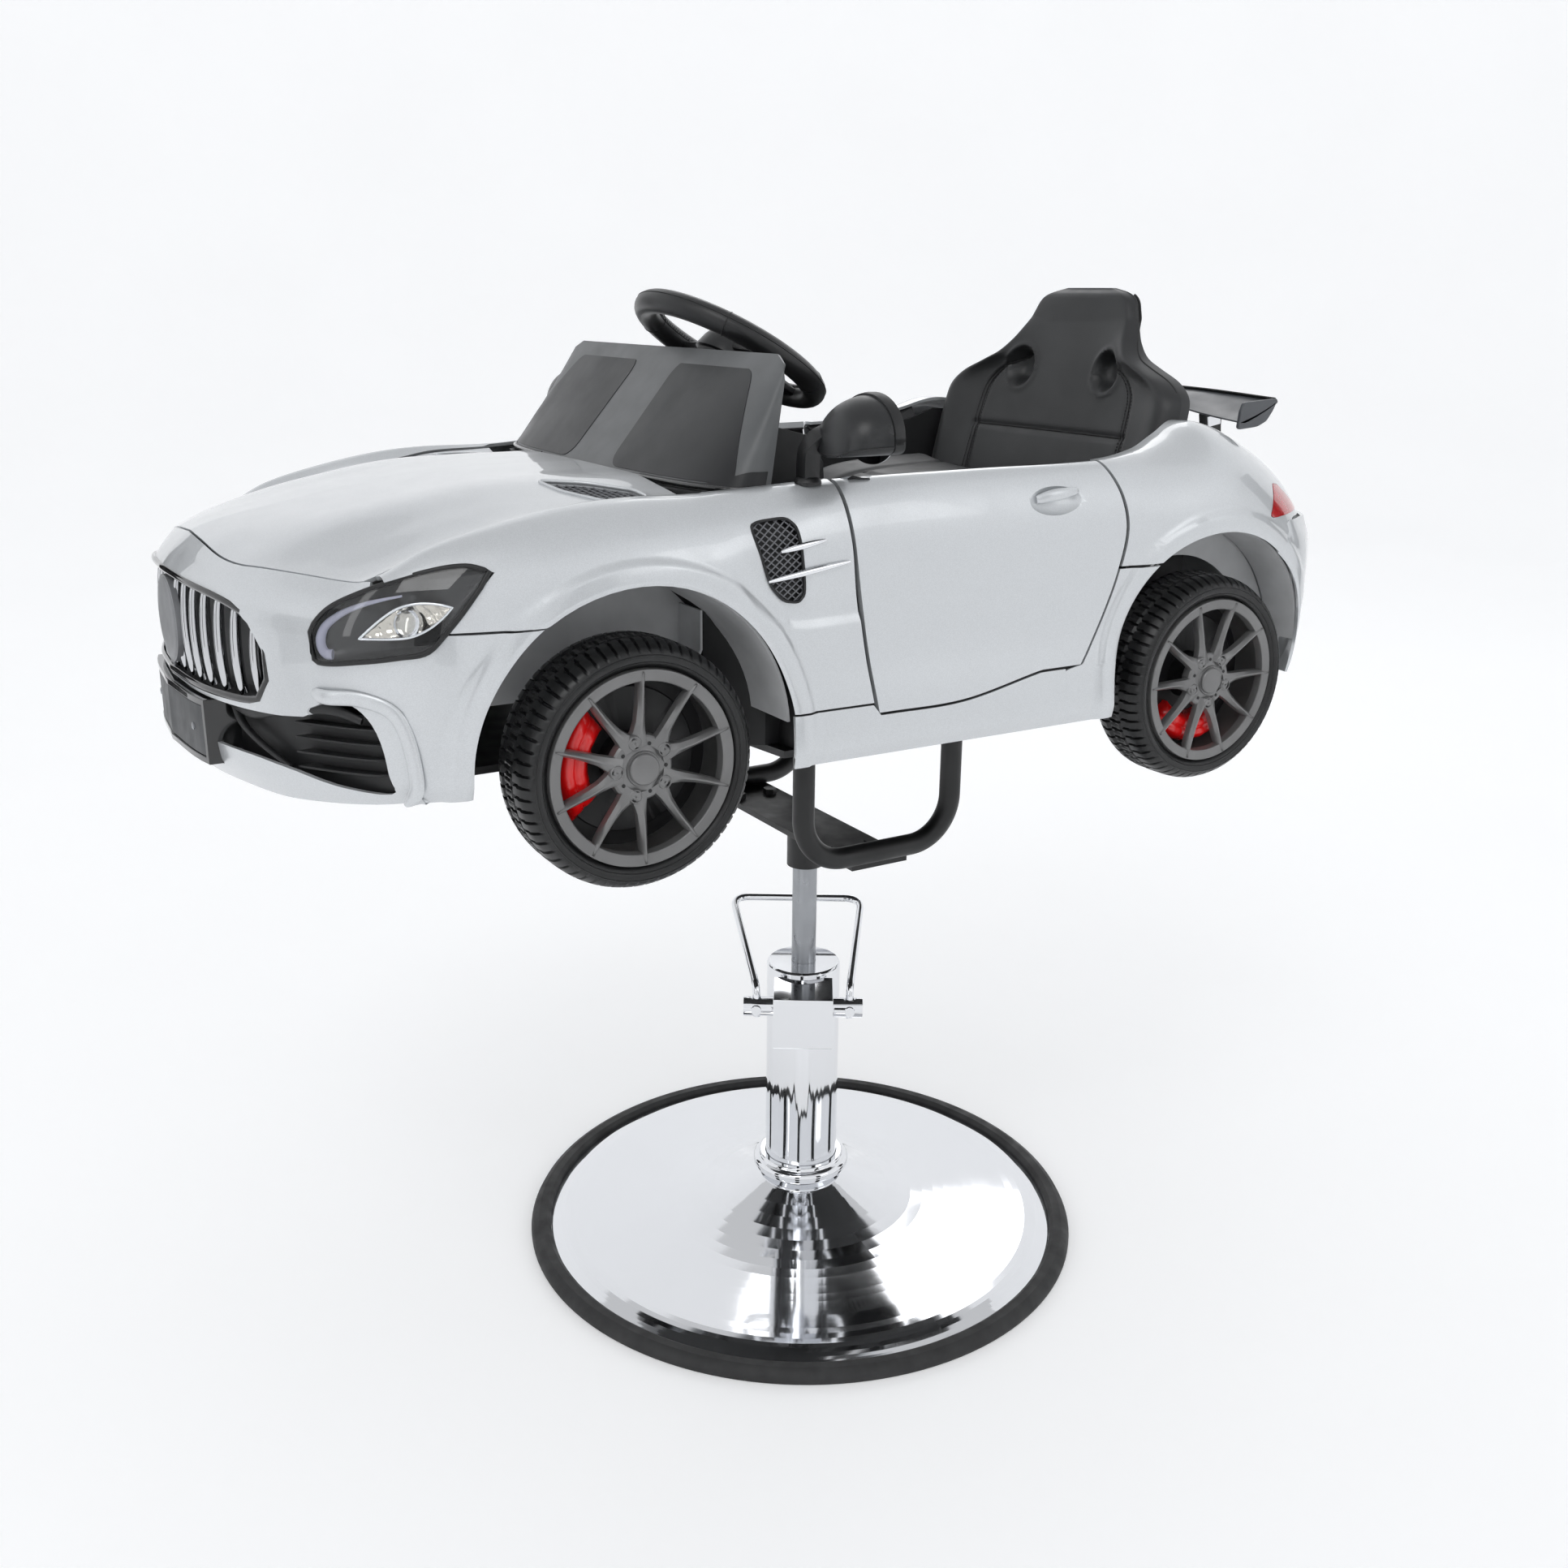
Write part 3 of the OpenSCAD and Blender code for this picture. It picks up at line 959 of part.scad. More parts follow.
// Lamp pieces share a grid over the lamp's outline; depth goes into the car
function lamp_point(t, v, depth, scale) =
    let (k = 0.015 + t*0.97, top = curve(k, lamp_top_share), low = curve(k, lamp_low_share),
         a = (lamp_left_share + k)*scale, b = lerp((top + low)/2, lerp(low, top, v), scale))
    lamp_place + lamp_w*(a*lamp_across + b*lamp_up) + (lamp_rise(a, b) - depth)*lamp_normal;
function lamp_grid(depth, scale) =
    [for (v = steps(4)) [for (t = bowl_cols) lamp_point(t, v, depth, scale)]];
lens_t = 2;
module lamp_lenses() color("#dfe3e8")
    mirror_pair() skin(lamp_grid(0, 0.985), lens_t);
bowl_depth = 22;
bowl_scale = 0.95;
bowl_cols = [0, 0.03, 0.08, 0.16, 0.28, 0.4, 0.52, 0.64, 0.74, 0.83, 0.91, 0.97, 1];
function bowl_at(t, v) = lens_t*1.2 + seat_gap + bowl_depth*pow(sin(180*v)*sin(180*t), 0.45);
module lamp_bowls() color("#2b2c30")
    mirror_pair() skin([for (v = steps(6)) [for (t = bowl_cols) lamp_point(t, v, bowl_at(t, v), bowl_scale)]], lens_t*0.5);
// A raised piece on the bowl between the given shares
module on_bowl(ts, vs, rise) {
    skin([for (v = vs) [for (t = ts) lamp_point(t, v, bowl_at(t, v) - rise, bowl_scale)]], rise - 3*seat_gap);
}
module lamp_inners() color("#d5d7db")
    mirror_pair() {
        on_bowl([0.4, 0.52, 0.64, 0.74], [1/3, 1/2, 2/3], 3*lens_t);
        on_bowl([0.08, 0.16], [1/3, 1/2, 2/3], lens_t);
    }

// Side skirts: under the door, with the post behind it
skirt_t = 3;
function skirt_top(y) =
    y < door_front_y(0.2) - panel_gap ? skirt_seam_share - panel_gap/body_h*0.5
    : curve(along(y), door_low_share) - panel_gap/body_h;
skirt_rows = concat([for (a = [8, 5.5]) front_axle_y + arch_r*cos(a)],
                    [for (s = [0.415, 0.445, 0.466, 0.5, 0.55, 0.6, 0.64]) y_at(s)]);
function skirt_column(y, top) = [for (t = [1, 0.8, 0.6, 0.4, 0.2, 0]) flank_point(y, max(0, top*t))];
function post_y(h, r) = lerp(max(door_rear_y(h) + door_gap_y, y_at(0.645)),
                             arch_y(rear_axle_y, lift(h), -1), r);
module side_skirts() color("#c9cdd2")
    mirror_pair() {
        skin([for (y = skirt_rows) skirt_column(y, skirt_top(y))], skirt_t);
        skin([for (r = steps(3)) [for (h = [0.59, 0.45, 0.3, 0.2, 0.12, 0.05, 0.0])
            flank_point(post_y(h, r), h)]], skirt_t);
        translate([flank_x(0.645, 0.1) - 2*skirt_t, y_at(0.645) - 4*skirt_t, lift(0.03)])
            cube([1.6*skirt_t, 8*skirt_t, body_h*0.1]);
    }

module quarter() {
    difference() {
        skin(quarter_grid, skin_t);
        tail_lamp_cut(0);
    }
}
module tail_lamp_cut(inset) {
    translate([half_w*0.6, 0, 0]) rotate([90, 0, 90]) linear_extrude(half_w*0.5)
        polygon([for (p = tail_lamp_share) [y_at(p[0]) - inset*sign(p[0] - tail_lamp_mid[0]),
                                            lift(p[1]) - inset*sign(p[1] - tail_lamp_mid[1])]]);
}
module left_quarter() color("#c9cdd2") quarter();
module right_quarter() color("#c9cdd2") mirror([1, 0, 0]) quarter();
module rear_deck() color("#c9cdd2")
    skin(deck_grid, skin_t);
module rear_bumper() color("#c9cdd2")
    skin(tail_grid, skin_t);

tail_lamp_share = [[0.886, 0.735], [0.907, 0.87], [0.92, 0.86], [0.955, 0.75]];
tail_lamp_mid = [0.915, 0.8];
module tail_lamps() color("#b3262b")
    mirror_pair() intersection() {
        skin([for (a = [0.87, 0.89, 0.91, 0.93, 0.95, 0.97]) [for (h = [0.9, 0.84, 0.78, 0.72])
            flank_point(y_at(a), min(h, crown_z(a) - 0.01))]], skin_t*1.5);
        tail_lamp_cut(seat_gap);
    }

// Rear wing: a tilted blade, higher in the middle, with end plates on two posts
wing_rear_y = y_at(0.974);
wing_chord = 49;
wing_blade_t = 4;
wing_rear_z_share = [[0, 1.215], [0.5, 1.206], [1, 1.187]];
wing_front_z_share = [[0, 1.185], [0.42, 1.175], [0.58, 1.14], [0.75, 1.12], [1, 1.10]];
wing_cols = [-1, -0.85, -0.7, -0.58, -0.46, -0.3, 0, 0.3, 0.46, 0.58, 0.7, 0.85, 1];
wing_rows = [0, 0.12, 0.35, 0.65, 0.9, 1];
wing_post_x = wing_span*0.335;
function wing_point(k, t, under) =
    let (front = curve(abs(k), wing_front_z_share), rear = curve(abs(k), wing_rear_z_share))
    [k*wing_span/2, wing_rear_y - wing_chord*(1 - t),
     lift(lerp(front, rear, t - 0.35*t*(1 - t))) - wing_blade_t*(under ? 1 - 0.4*t : 0)];
module rear_wing() color("#3b3d41") {
    between([for (t = wing_rows) [for (k = wing_cols) wing_point(k, t, false)]],
            [for (t = wing_rows) [for (k = wing_cols) wing_point(k, t, true)]]);
    mirror_pair() {
        translate([wing_span/2 - wing_blade_t, wing_rear_y, lift(1.187)]) rotate([90, 0, 90])
            linear_extrude(wing_blade_t) polygon([for (p = wing_plate_share) p*wing_chord]);
        difference() {
            translate([wing_post_x - wing_blade_t*1.5, wing_rear_y, lift(1.187)]) rotate([90, 0, 90])
                linear_extrude(wing_blade_t*3) polygon([for (p = wing_post_share) p*wing_chord]);
            translate([0, 0, seat_gap]) skin(deck_grid, 8*skin_t);
        }
    }
}
wing_plate_share = [[0.02, 0.04], [-0.6, 0.0], [-0.93, -0.02], [-1.0, -0.18], [-1.04, -0.5], [-0.98, -0.54],
                    [-0.5, -0.5], [-0.26, -0.4], [-0.1, -0.2]];
wing_post_share = [[-0.86, -0.30], [-0.36, -0.20], [-0.30, -0.95], [-0.86, -0.84]];

// Windscreen: ruled between a bowed lower line and a nearly straight upper one
screen_low_half = half_w*0.805;
shelf_z = lift(0.93);
screen_t = 3;
screen_low_z = shelf_z + tub_t + screen_t*0.6 + seat_gap;
screen_low_y = y_at(0.342);
screen_side_y = y_at(0.396);
screen_top_y = y_at(0.4245);
screen_bow = 2;
function bow(a) = sign(a)*pow(abs(sin(a)), 0.72);
function screen_point(a, v) =
    let (low = [screen_low_half*bow(a), lerp(screen_side_y, screen_low_y, pow(cos(a), 0.5)), screen_low_z],
         top = [screen_top_half*bow(a), screen_top_y - screen_bow*cos(a), screen_low_z + screen_h])
    lerp(low, top, v);
screen_grid = [for (v = steps(5)) [for (a = [-90:10:90]) screen_point(a, v)]];
module windscreen() color("#26272a")
    skin(screen_grid, screen_t);

// Dashboard: a hooded cowl across the tub
dash_half = half_w*0.64;
dash_front_share = 0.36 + (tub_t + seat_gap)/car_length;
dash_share = [[dash_front_share, 0.60], [dash_front_share, 0.90], [0.37, 0.945], [0.372, 0.965], [0.395, 1.09], [0.43, 1.15], [0.455, 1.12], [0.47, 1.02],
              [0.475, 0.72], [0.45, 0.60]];
dash_hollow_share = [[0.37, 0.58], [0.37, 0.90], [0.378, 0.95], [0.40, 1.06], [0.432, 1.11], [0.452, 1.08], [0.465, 1],
                     [0.47, 0.73], [0.445, 0.58]];
module dashboard() color("#18181a")
    difference() {
        translate([-dash_half, 0, 0]) rotate([90, 0, 90]) linear_extrude(2*dash_half)
            polygon([for (p = dash_share) [y_at(p[0]), lift(p[1])]]);
        translate([-dash_half + tub_t, 0, 0]) rotate([90, 0, 90]) linear_extrude(2*(dash_half - tub_t))
            polygon([for (p = dash_hollow_share) [y_at(p[0]), lift(p[1])]]);
        steer_frame() translate([0, 0, -column_l]) cylinder(d = column_d + 2*run_fit, h = 2*column_l);
    }

// Seat: a bucket back with headrest, bolsters and two harness recesses, over a dished cushion
cushion_z = lift(0.62);
cushion_rise = body_h*0.3;
seat_y = y_at(0.84);
seat_lean = 0.28;
back_low = lift(0.66);
back_h = belt_z + seat_top - back_low;
back_t = 34;
back_half_share = [[0, 0.46], [0.12, 0.49], [0.3, 0.50], [0.48, 0.50], [0.55, 0.487], [0.61, 0.438],
                   [0.66, 0.36], [0.70, 0.302], [0.76, 0.262], [0.82, 0.24], [0.91, 0.212], [0.97, 0.185], [1, 0.14]];
function seat_bump(k, v) = let (d = (k*k)/(0.16*0.16) + v*v/(0.07*0.07)) max(0, 1 - d);
function back_front(k, v) =
    let (b = min(1, pow(abs(k), 4)), bolster = b*(v < 0.68 ? 0.75 : max(0, 0.75 - (v - 0.68)*4)),
         slots = 0.35*seat_bump(abs(k) - 0.45, v - 0.665), dome = 0.30*(1 - k*k)*(v > 0.85 ? (v - 0.85)/0.15 : 0))
    back_t*(bolster - slots + dome*0.4);
function back_point(k, v, front) =
    let (half = seat_w*curve(v, back_half_share), round_off = pow(abs(k), 6),
         y0 = seat_y + seat_lean*(v*back_h - back_h*0.35),
         y = front ? y0 - back_front(k, v) : y0 + back_t*(1 - 0.5*round_off - 0.35*v))
    [k*half, y, back_low + v*back_h];
seat_rows = [0, 0.08, 0.2, 0.32, 0.42, 0.5, 0.56, 0.6, 0.635, 0.665, 0.695, 0.73, 0.77, 0.82, 0.87, 0.92,
             0.96, 0.985, 1];
seat_cols = [-1, -0.96, -0.88, -0.78, -0.68, -0.6, -0.52, -0.44, -0.36, -0.26, -0.13, 0, 0.13, 0.26, 0.36,
             0.44, 0.52, 0.6, 0.68, 0.78, 0.88, 0.96, 1];
module seat_back() color("#232426")
    between([for (v = seat_rows) [for (k = seat_cols) back_point(k, v, true)]],
            [for (v = seat_rows) [for (k = seat_cols) back_point(k, v, false)]]);

cushion_half = seat_w*0.44;
cushion_front_y = y_at(0.635);
cushion_back_y = seat_y - back_h*seat_lean*0.35 - seat_gap - back_t*0.85;
function cushion_top(k, t) =
    cushion_rise*(0.62 + 0.24*pow(abs(k), 4) + 0.10*t - 0.35*pow(1 - t, 6) - 0.12*pow(abs(k), 14));
function cushion_point(k, t, top) =
    [k*cushion_half, lerp(cushion_front_y, cushion_back_y, t), cushion_z + (top ? cushion_top(k, t) : 0)];
cushion_cols = [-1, -0.93, -0.8, -0.6, -0.3, 0, 0.3, 0.6, 0.8, 0.93, 1];
cushion_rows = [0, 0.04, 0.12, 0.25, 0.5, 0.75, 0.92, 1];
module seat_cushion() color("#232426")
    between([for (t = cushion_rows) [for (k = cushion_cols) cushion_point(k, t, true)]],
            [for (t = cushion_rows) [for (k = cushion_cols) cushion_point(k, t, false)]]);

// Mirrors: a rounded shell open to the rear on a bent stalk
mirror_at = [body_w/2 - 14, y_at(0.462), belt_z + 33];
mirror_h = 50;
mirror_depth = 42;
function mirror_point(a, b) =
    [mirror_w/2*cos(a)*pow(cos(b), 0.7), -mirror_depth*sin(b), mirror_h/2*sin(a)*pow(cos(b), 0.7)];
module mirror_body() {
    difference() {
        mirror_stalk();
        translate([0, 0, seat_gap]) skin(mirror_bed, 4*skin_t);
    }
    translate(mirror_at) difference() {
        polyhedron(
            points = concat([[0, -mirror_depth, 0]],
                            [for (b = [75, 60, 42, 24, 8, 0]) for (a = [0:22.5:337.5]) mirror_point(a, b)],
                            [[0, 0, 0]]),
            faces = concat([for (i = [0:15]) [0, 1 + (i + 1)%16, 1 + i]],
                           [for (r = [0:4]) for (i = [0:15])
                               for (f = [[1 + r*16 + i, 1 + r*16 + (i + 1)%16, 17 + r*16 + (i + 1)%16],
                                         [1 + r*16 + i, 17 + r*16 + (i + 1)%16, 17 + r*16 + i]]) f],
                           [for (i = [0:15]) [97, 81 + i, 81 + (i + 1)%16]]));
        translate([0, over, 0]) rotate([90, 0, 0]) linear_extrude(mirror_depth*0.12 + over)
            scale([mirror_w/mirror_h, 1]) circle(d = mirror_h*0.86, $fn = 12);
    }
}
mirror_foot = [crown_x(0.42) + mirror_h*0.04, y_at(0.42), lift(crown_z(0.42))];
mirror_bed = [for (a = [0.395, 0.408, 0.42, 0.432]) concat(
    [[crown_x(a) - mirror_h*0.3, y_at(a), lift(crown_z(a))]],
    [for (h = [1, 0.99, 0.97, 0.93, 0.86]) flank_point(y_at(a), h*crown_z(a))])];
module mirror_stalk() {
    bent_rod([mirror_foot, mirror_foot + [0, 0, mirror_h*0.5],
              mirror_at + [-mirror_w*0.2, -mirror_depth*0.45, 0]], mirror_h*0.13);
    translate(mirror_foot - [0, 0, mirror_h*0.04]) cylinder(d = mirror_h*0.42, h = mirror_h*0.1);
}
module left_mirror() color("#141415") mirror_body();
module right_mirror() color("#141415") mirror([1, 0, 0]) mirror_body();

// Wheels, drawn about the X axis with the outer face towards +X
tread_h = 4;
bead_r = rim_d/2;
tread_count = 40;
module gear_row(w, turn) {
    r = tyre_d/2;
    pitch = 360/tread_count;
    linear_extrude(w) polygon([for (i = [0:tread_count - 1])
        for (p = [[0, r - tread_h*0.6], [0.3, r - tread_h*0.6], [0.36, r], [0.94, r]])
            p[1]*[cos((i + p[0] + turn)*pitch), sin((i + p[0] + turn)*pitch)]]);
}
module tyre() {
    rotate([0, 90, 0]) difference() {
        union() {
            rotate_extrude($fn = 96) polygon([for (p = [[bead_r - tread_h*2, 0.06], [bead_r - tread_h*0.4, 0.02],
                [bead_r + tread_h*1.2, 0.0], [tyre_d/2 - tread_h, 0.09], [tyre_d/2 - tread_h*0.6, 0.16],
                [tyre_d/2 - tread_h*0.6, 0.84], [tyre_d/2 - tread_h, 0.91], [bead_r + tread_h*1.2, 1],
                [bead_r - tread_h*0.4, 0.98], [bead_r - tread_h*2, 0.94]]) [p[0], -p[1]*tyre_w]]);
            translate([0, 0, -tyre_w*0.86]) gear_row(tyre_w*0.22, 0);
            translate([0, 0, -tyre_w*0.60]) gear_row(tyre_w*0.20, 0.5);
            translate([0, 0, -tyre_w*0.36]) gear_row(tyre_w*0.22, 0);
        }
        translate([0, 0, -tyre_w]) cylinder(r = bead_r - tread_h*2 + seat_gap*0.1, h = tyre_w*2);
    }
}
rim_lip = 4;
spoke_r0 = rim_d*0.125;
module rim() {
    r = bead_r - tread_h*2 - seat_gap;
    rotate([0, 90, 0]) difference() {
        union() {
            rotate_extrude($fn = 96) polygon([[r - rim_lip, -tyre_w*0.9], [r, -tyre_w*0.9], [r, 0],
                [r - rim_lip*0.5, 0], [r - rim_lip*1.6, -tyre_w*0.1], [r - rim_lip*1.6, -tyre_w*0.2],
                [r - rim_lip, -tyre_w*0.3]]);
            translate([0, 0, -tyre_w*0.62]) cylinder(r = r - rim_lip*0.5, h = rim_lip*0.8);
            translate([0, 0, -tyre_w*0.75]) cylinder(d = axle_d*2.4, h = tyre_w*0.71);
            translate([0, 0, -tyre_w*0.2]) cylinder(r1 = spoke_r0*1.4, r2 = spoke_r0*1.15, h = tyre_w*0.155);
            for (i = [0:spoke_count - 1]) rotate([0, 0, (i + 0.5)*360/spoke_count])
                translate([0, 0, -tyre_w*0.17]) linear_extrude(tyre_w*0.12)
                    polygon([[spoke_r0, -rim_d*0.034], [r - rim_lip*1.2, -rim_d*0.018],
                             [r - rim_lip*1.2, rim_d*0.018], [spoke_r0, rim_d*0.034]]);
            cylinder(d = rim_d*0.145, h = rim_lip*0.4);
            translate([0, 0, -tyre_w*0.06]) cylinder(d = rim_d*0.16, h = tyre_w*0.06);
            for (i = [0:4]) rotate([0, 0, i*72 + 36]) translate([rim_d*0.115, 0, -tyre_w*0.06])
                cylinder(d = rim_d*0.03, h = rim_lip*0.5, $fn = 6);
        }
        translate([0, 0, -tyre_w]) cylinder(d = axle_d + 2*run_fit, h = tyre_w - hub_depth + seat_gap);
    }
    color("#c8141c") rotate([0, 90, 0]) translate([0, 0, -tyre_w*0.62 + rim_lip*0.8])
        linear_extrude(tyre_w*0.3) polygon(concat(
            [for (a = [160:10:220]) (rim_d*0.40)*[cos(a), sin(a)]],
            [for (a = [220:-10:160]) (rim_d*0.27)*[cos(a), sin(a)]]));
}
module at_wheel(front, left) {
    translate([(left ? 1 : -1)*wheel_span/2, front ? front_axle_y : rear_axle_y, axle_z])
        mirror([left ? 0 : 1, 0, 0]) children();
}
module front_left_tyre() color("#141415") at_wheel(true, true) tyre();
module front_right_tyre() color("#141415") at_wheel(true, false) tyre();
module rear_left_tyre() color("#141415") at_wheel(false, true) tyre();
module rear_right_tyre() color("#141415") at_wheel(false, false) tyre();
module front_left_rim() color("#55575b") at_wheel(true, true) rim();
module front_right_rim() color("#55575b") at_wheel(true, false) rim();
module rear_left_rim() color("#55575b") at_wheel(false, true) rotate([90, 0, 0]) rim();
module rear_right_rim() color("#55575b") at_wheel(false, false) rotate([90, 0, 0]) rim();

base_disc();
rubber_ring();
flange_plate();
base_collar();
pump_cover();
pump_block();
inner_cylinder();
lever_shaft();
foot_loop();
piston_head();
lift_rod();
socket_plate();
left_tube();
right_tube();
frame_bolts();
chassis_pan();
cockpit_tub();
dashboard();
windscreen();
front_bumper();
grille_backing();
grille_bars();
lower_insert();
hood();
left_fender();
right_fender();
vent_meshes();
fender_strips();
lamp_bowls();
lamp_inners();
lamp_lenses();
left_door();
right_door();
side_skirts();
left_quarter();
right_quarter();
rear_deck();
rear_bumper();
tail_lamps();
rear_wing();
seat_back();
seat_cushion();
left_mirror();
right_mirror();
steering_wheel();
steering_column();
tie_rod();
left_knuckle();
right_knuckle();
rear_axle();
front_left_tyre();
front_right_tyre();
rear_left_tyre();
rear_right_tyre();
front_left_rim();
front_right_rim();
rear_left_rim();
rear_right_rim();
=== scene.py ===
import bpy
import bmesh
import math
from mathutils import Matrix, Vector


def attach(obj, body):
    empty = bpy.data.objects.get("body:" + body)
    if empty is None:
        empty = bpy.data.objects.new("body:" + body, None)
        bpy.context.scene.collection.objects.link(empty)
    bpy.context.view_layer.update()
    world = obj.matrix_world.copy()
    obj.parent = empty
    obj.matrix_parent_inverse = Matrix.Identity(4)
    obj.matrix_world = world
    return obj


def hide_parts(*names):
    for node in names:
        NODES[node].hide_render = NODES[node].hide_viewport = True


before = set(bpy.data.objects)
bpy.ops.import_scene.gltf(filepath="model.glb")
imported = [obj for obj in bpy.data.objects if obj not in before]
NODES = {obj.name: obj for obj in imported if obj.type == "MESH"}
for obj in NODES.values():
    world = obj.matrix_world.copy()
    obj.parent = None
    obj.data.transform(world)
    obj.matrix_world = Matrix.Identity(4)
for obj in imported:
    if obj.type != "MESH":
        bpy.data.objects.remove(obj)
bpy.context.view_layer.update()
MM = 0.001
scene = bpy.context.scene


# Interpolation and shares, as in the part's source
def cosd(a):
    return math.cos(math.radians(a))


def sind(a):
    return math.sin(math.radians(a))


def lerp(a, b, t):
    return a + (b - a) * t


def steps(n):
    return [i / n for i in range(n + 1)]


def slope(tb, i):
    a, b = max(i - 1, 0), min(i + 1, len(tb) - 1)
    return (tb[b][1] - tb[a][1]) / (tb[b][0] - tb[a][0])


def curve(t, tb):
    """The smooth line through a table of (place, value) pairs, level beyond its ends."""
    t = min(max(t, tb[0][0]), tb[-1][0])
    i = 0
    while i < len(tb) - 2 and t >= tb[i + 1][0]:
        i += 1
    d = tb[i + 1][0] - tb[i][0]
    u = (t - tb[i][0]) / d
    m0, m1 = slope(tb, i) * d, slope(tb, i + 1) * d
    return ((2 * u**3 - 3 * u * u + 1) * tb[i][1] + (u**3 - 2 * u * u + u) * m0
            + (3 * u * u - 2 * u**3) * tb[i + 1][1] + (u**3 - u * u) * m1)


CAR_L, NOSE, HALF, BODY_H, SILL = 1040.0, -588.0, 276.0, 219.0, 602.0
TAIL = CAR_L + NOSE
AXLE_F, AXLE_R, AXLE_Z, ARCH_Z, ARCH_R = -308.976, 272.024, 619.0, 628.0, 128.0
GAP, SKIN, SEAT_GAP = 3.5, 3.0, 0.3
crown_z_t = [(0.04, 0.68), (0.095, 0.753), (0.13, 0.836), (0.174, 0.895), (0.229, 0.945), (0.275, 0.963),
             (0.339, 0.963), (0.439, 0.991), (0.565, 1), (0.702, 1.005), (0.758, 1.03), (0.796, 1.075),
             (0.83, 1.125), (0.863, 1.105), (0.902, 1.045), (0.936, 0.985), (0.96, 0.925), (0.985, 0.82)]
crown_x_t = [(0.04, 0.78), (0.095, 0.80), (0.174, 0.805), (0.275, 0.805), (0.339, 0.815), (0.439, 0.855),
             (0.565, 0.862), (0.702, 0.855), (0.758, 0.80), (0.796, 0.745), (0.83, 0.712), (0.863, 0.68),
             (0.902, 0.62), (0.936, 0.56), (0.96, 0.50), (0.985, 0.42)]
shoulder_x_t = [(0.04, 0.86), (0.095, 0.895), (0.13, 0.93), (0.174, 0.965), (0.229, 0.982), (0.275, 0.982),
                (0.339, 0.967), (0.439, 0.953), (0.565, 0.949), (0.702, 0.953), (0.758, 0.96), (0.83, 0.971),
                (0.902, 0.957), (0.936, 0.94), (0.96, 0.89), (0.985, 0.775)]
shoulder_z_t = [(0.04, 0.50), (0.095, 0.52), (0.174, 0.60), (0.229, 0.66), (0.275, 0.68), (0.339, 0.70),
                (0.439, 0.73), (0.702, 0.73), (0.83, 0.72), (0.863, 0.66), (0.902, 0.57), (0.936, 0.46),
                (0.985, 0.42)]
flare_t = [(0, 0.030), (0.08, 0.047), (0.27, 0.036), (0.5, 0.012), (0.8, 0.001), (1, 0)]
fade_t = [(0.10, 0), (0.30, 0.3), (0.44, 0.85), (0.50, 1), (0.68, 1), (0.76, 0.5), (0.83, 0.3), (0.96, 0)]
centre_z_t = [(0.02, 0.795), (0.046, 0.838), (0.095, 0.885), (0.142, 0.925), (0.204, 0.966), (0.245, 0.977),
              (0.339, 0.982)]
crease_t = [(0.02, 0.075), (0.035, 0.066), (0.06, 0.043), (0.104, 0.02), (0.142, 0.012), (0.204, 0.004),
            (0.339, 0.006)]
edge_t = [(0.02, 0.145), (0.095, 0.14), (0.124, 0.123), (0.155, 0.098), (0.19, 0.075), (0.245, 0.066),
          (0.339, 0.05)]
deck_z_t = [(0.83, 1.13), (0.873, 1.114), (0.902, 1.09), (0.936, 1.03), (0.96, 0.965), (0.985, 0.88)]
nose_plan_t = [(0, 0), (0.29, 0.029), (0.54, 0.116), (0.70, 0.225), (0.80, 0.315), (0.865, 0.40)]
corner_plan_t = [(0.40, 0.865), (0.46, 0.905), (0.54, 0.945), (0.62, 0.962), (0.74, 0.968)]
hood_cut_t = [(0, 0.094), (0.2, 0.098), (0.29, 0.106), (0.36, 0.12), (0.435, 0.145), (0.54, 0.205),
              (0.65, 0.283), (0.725, 0.337), (0.78, 0.366)]
hood_edge_t = [(0.095, 0.945), (0.126, 0.912), (0.156, 0.895), (0.19, 0.892), (0.22, 0.902), (0.25, 0.925),
               (0.28, 0.95), (0.34, 0.958)]
fender_edge_t = [(0.095, 0.962), (0.126, 0.929), (0.156, 0.912), (0.19, 0.909), (0.22, 0.919), (0.25, 0.942),
                 (0.28, 0.967), (0.34, 0.975), (0.47, 0.975)]
door_rear_t = [(0.15, 0.652), (0.2, 0.662), (0.29, 0.677), (0.41, 0.693), (0.57, 0.708), (0.73, 0.7155),
               (0.87, 0.711), (1.005, 0.698)]
door_low_t = [(0.46, 0.162), (0.56, 0.168), (0.65, 0.235)]
SPLIT, SKIRT_SEAM, TAIL_SEAM = 0.598, 0.2, 0.726


def along(y):
    return (y - NOSE) / CAR_L


def y_at(s):
    return NOSE + CAR_L * s


def lift(h):
    return SILL + BODY_H * h


def crown_x(s):
    return HALF * curve(s, crown_x_t)


def crown_z(s):
    return curve(s, crown_z_t)


def flank_x(s, h):
    """Half the body's width at the share s of its length and h of its height."""
    sz, cz = curve(s, shoulder_z_t), crown_z(s)
    cx, sx = curve(s, crown_x_t), curve(s, shoulder_x_t)
    up = min(1, (h - sz) / (cz - sz))
    if h >= sz:
        return HALF * (cx + (sx - cx) * math.sqrt(max(0, 1 - up * up)))
    return HALF * (sx + curve(s, fade_t) * curve(h / sz, flare_t))


def hood_h(s, q):
    """Height of the hood at the share q of the way from its middle to the crown line."""
    c, k, e = curve(s, centre_z_t), curve(s, crease_t), curve(s, edge_t)
    return curve(abs(q), [(0, c), (0.25, c - 0.3 * k), (0.5, c - k), (0.7, c - k - 0.55 * (e - k)), (0.9, c - e),
                          (1, crown_z(s))])


def deck_h(s, q):
    return lerp(curve(s, deck_z_t), crown_z(s), abs(q)**2.2)


def flank_point(y, h):
    return (flank_x(along(y), h), y, lift(h))


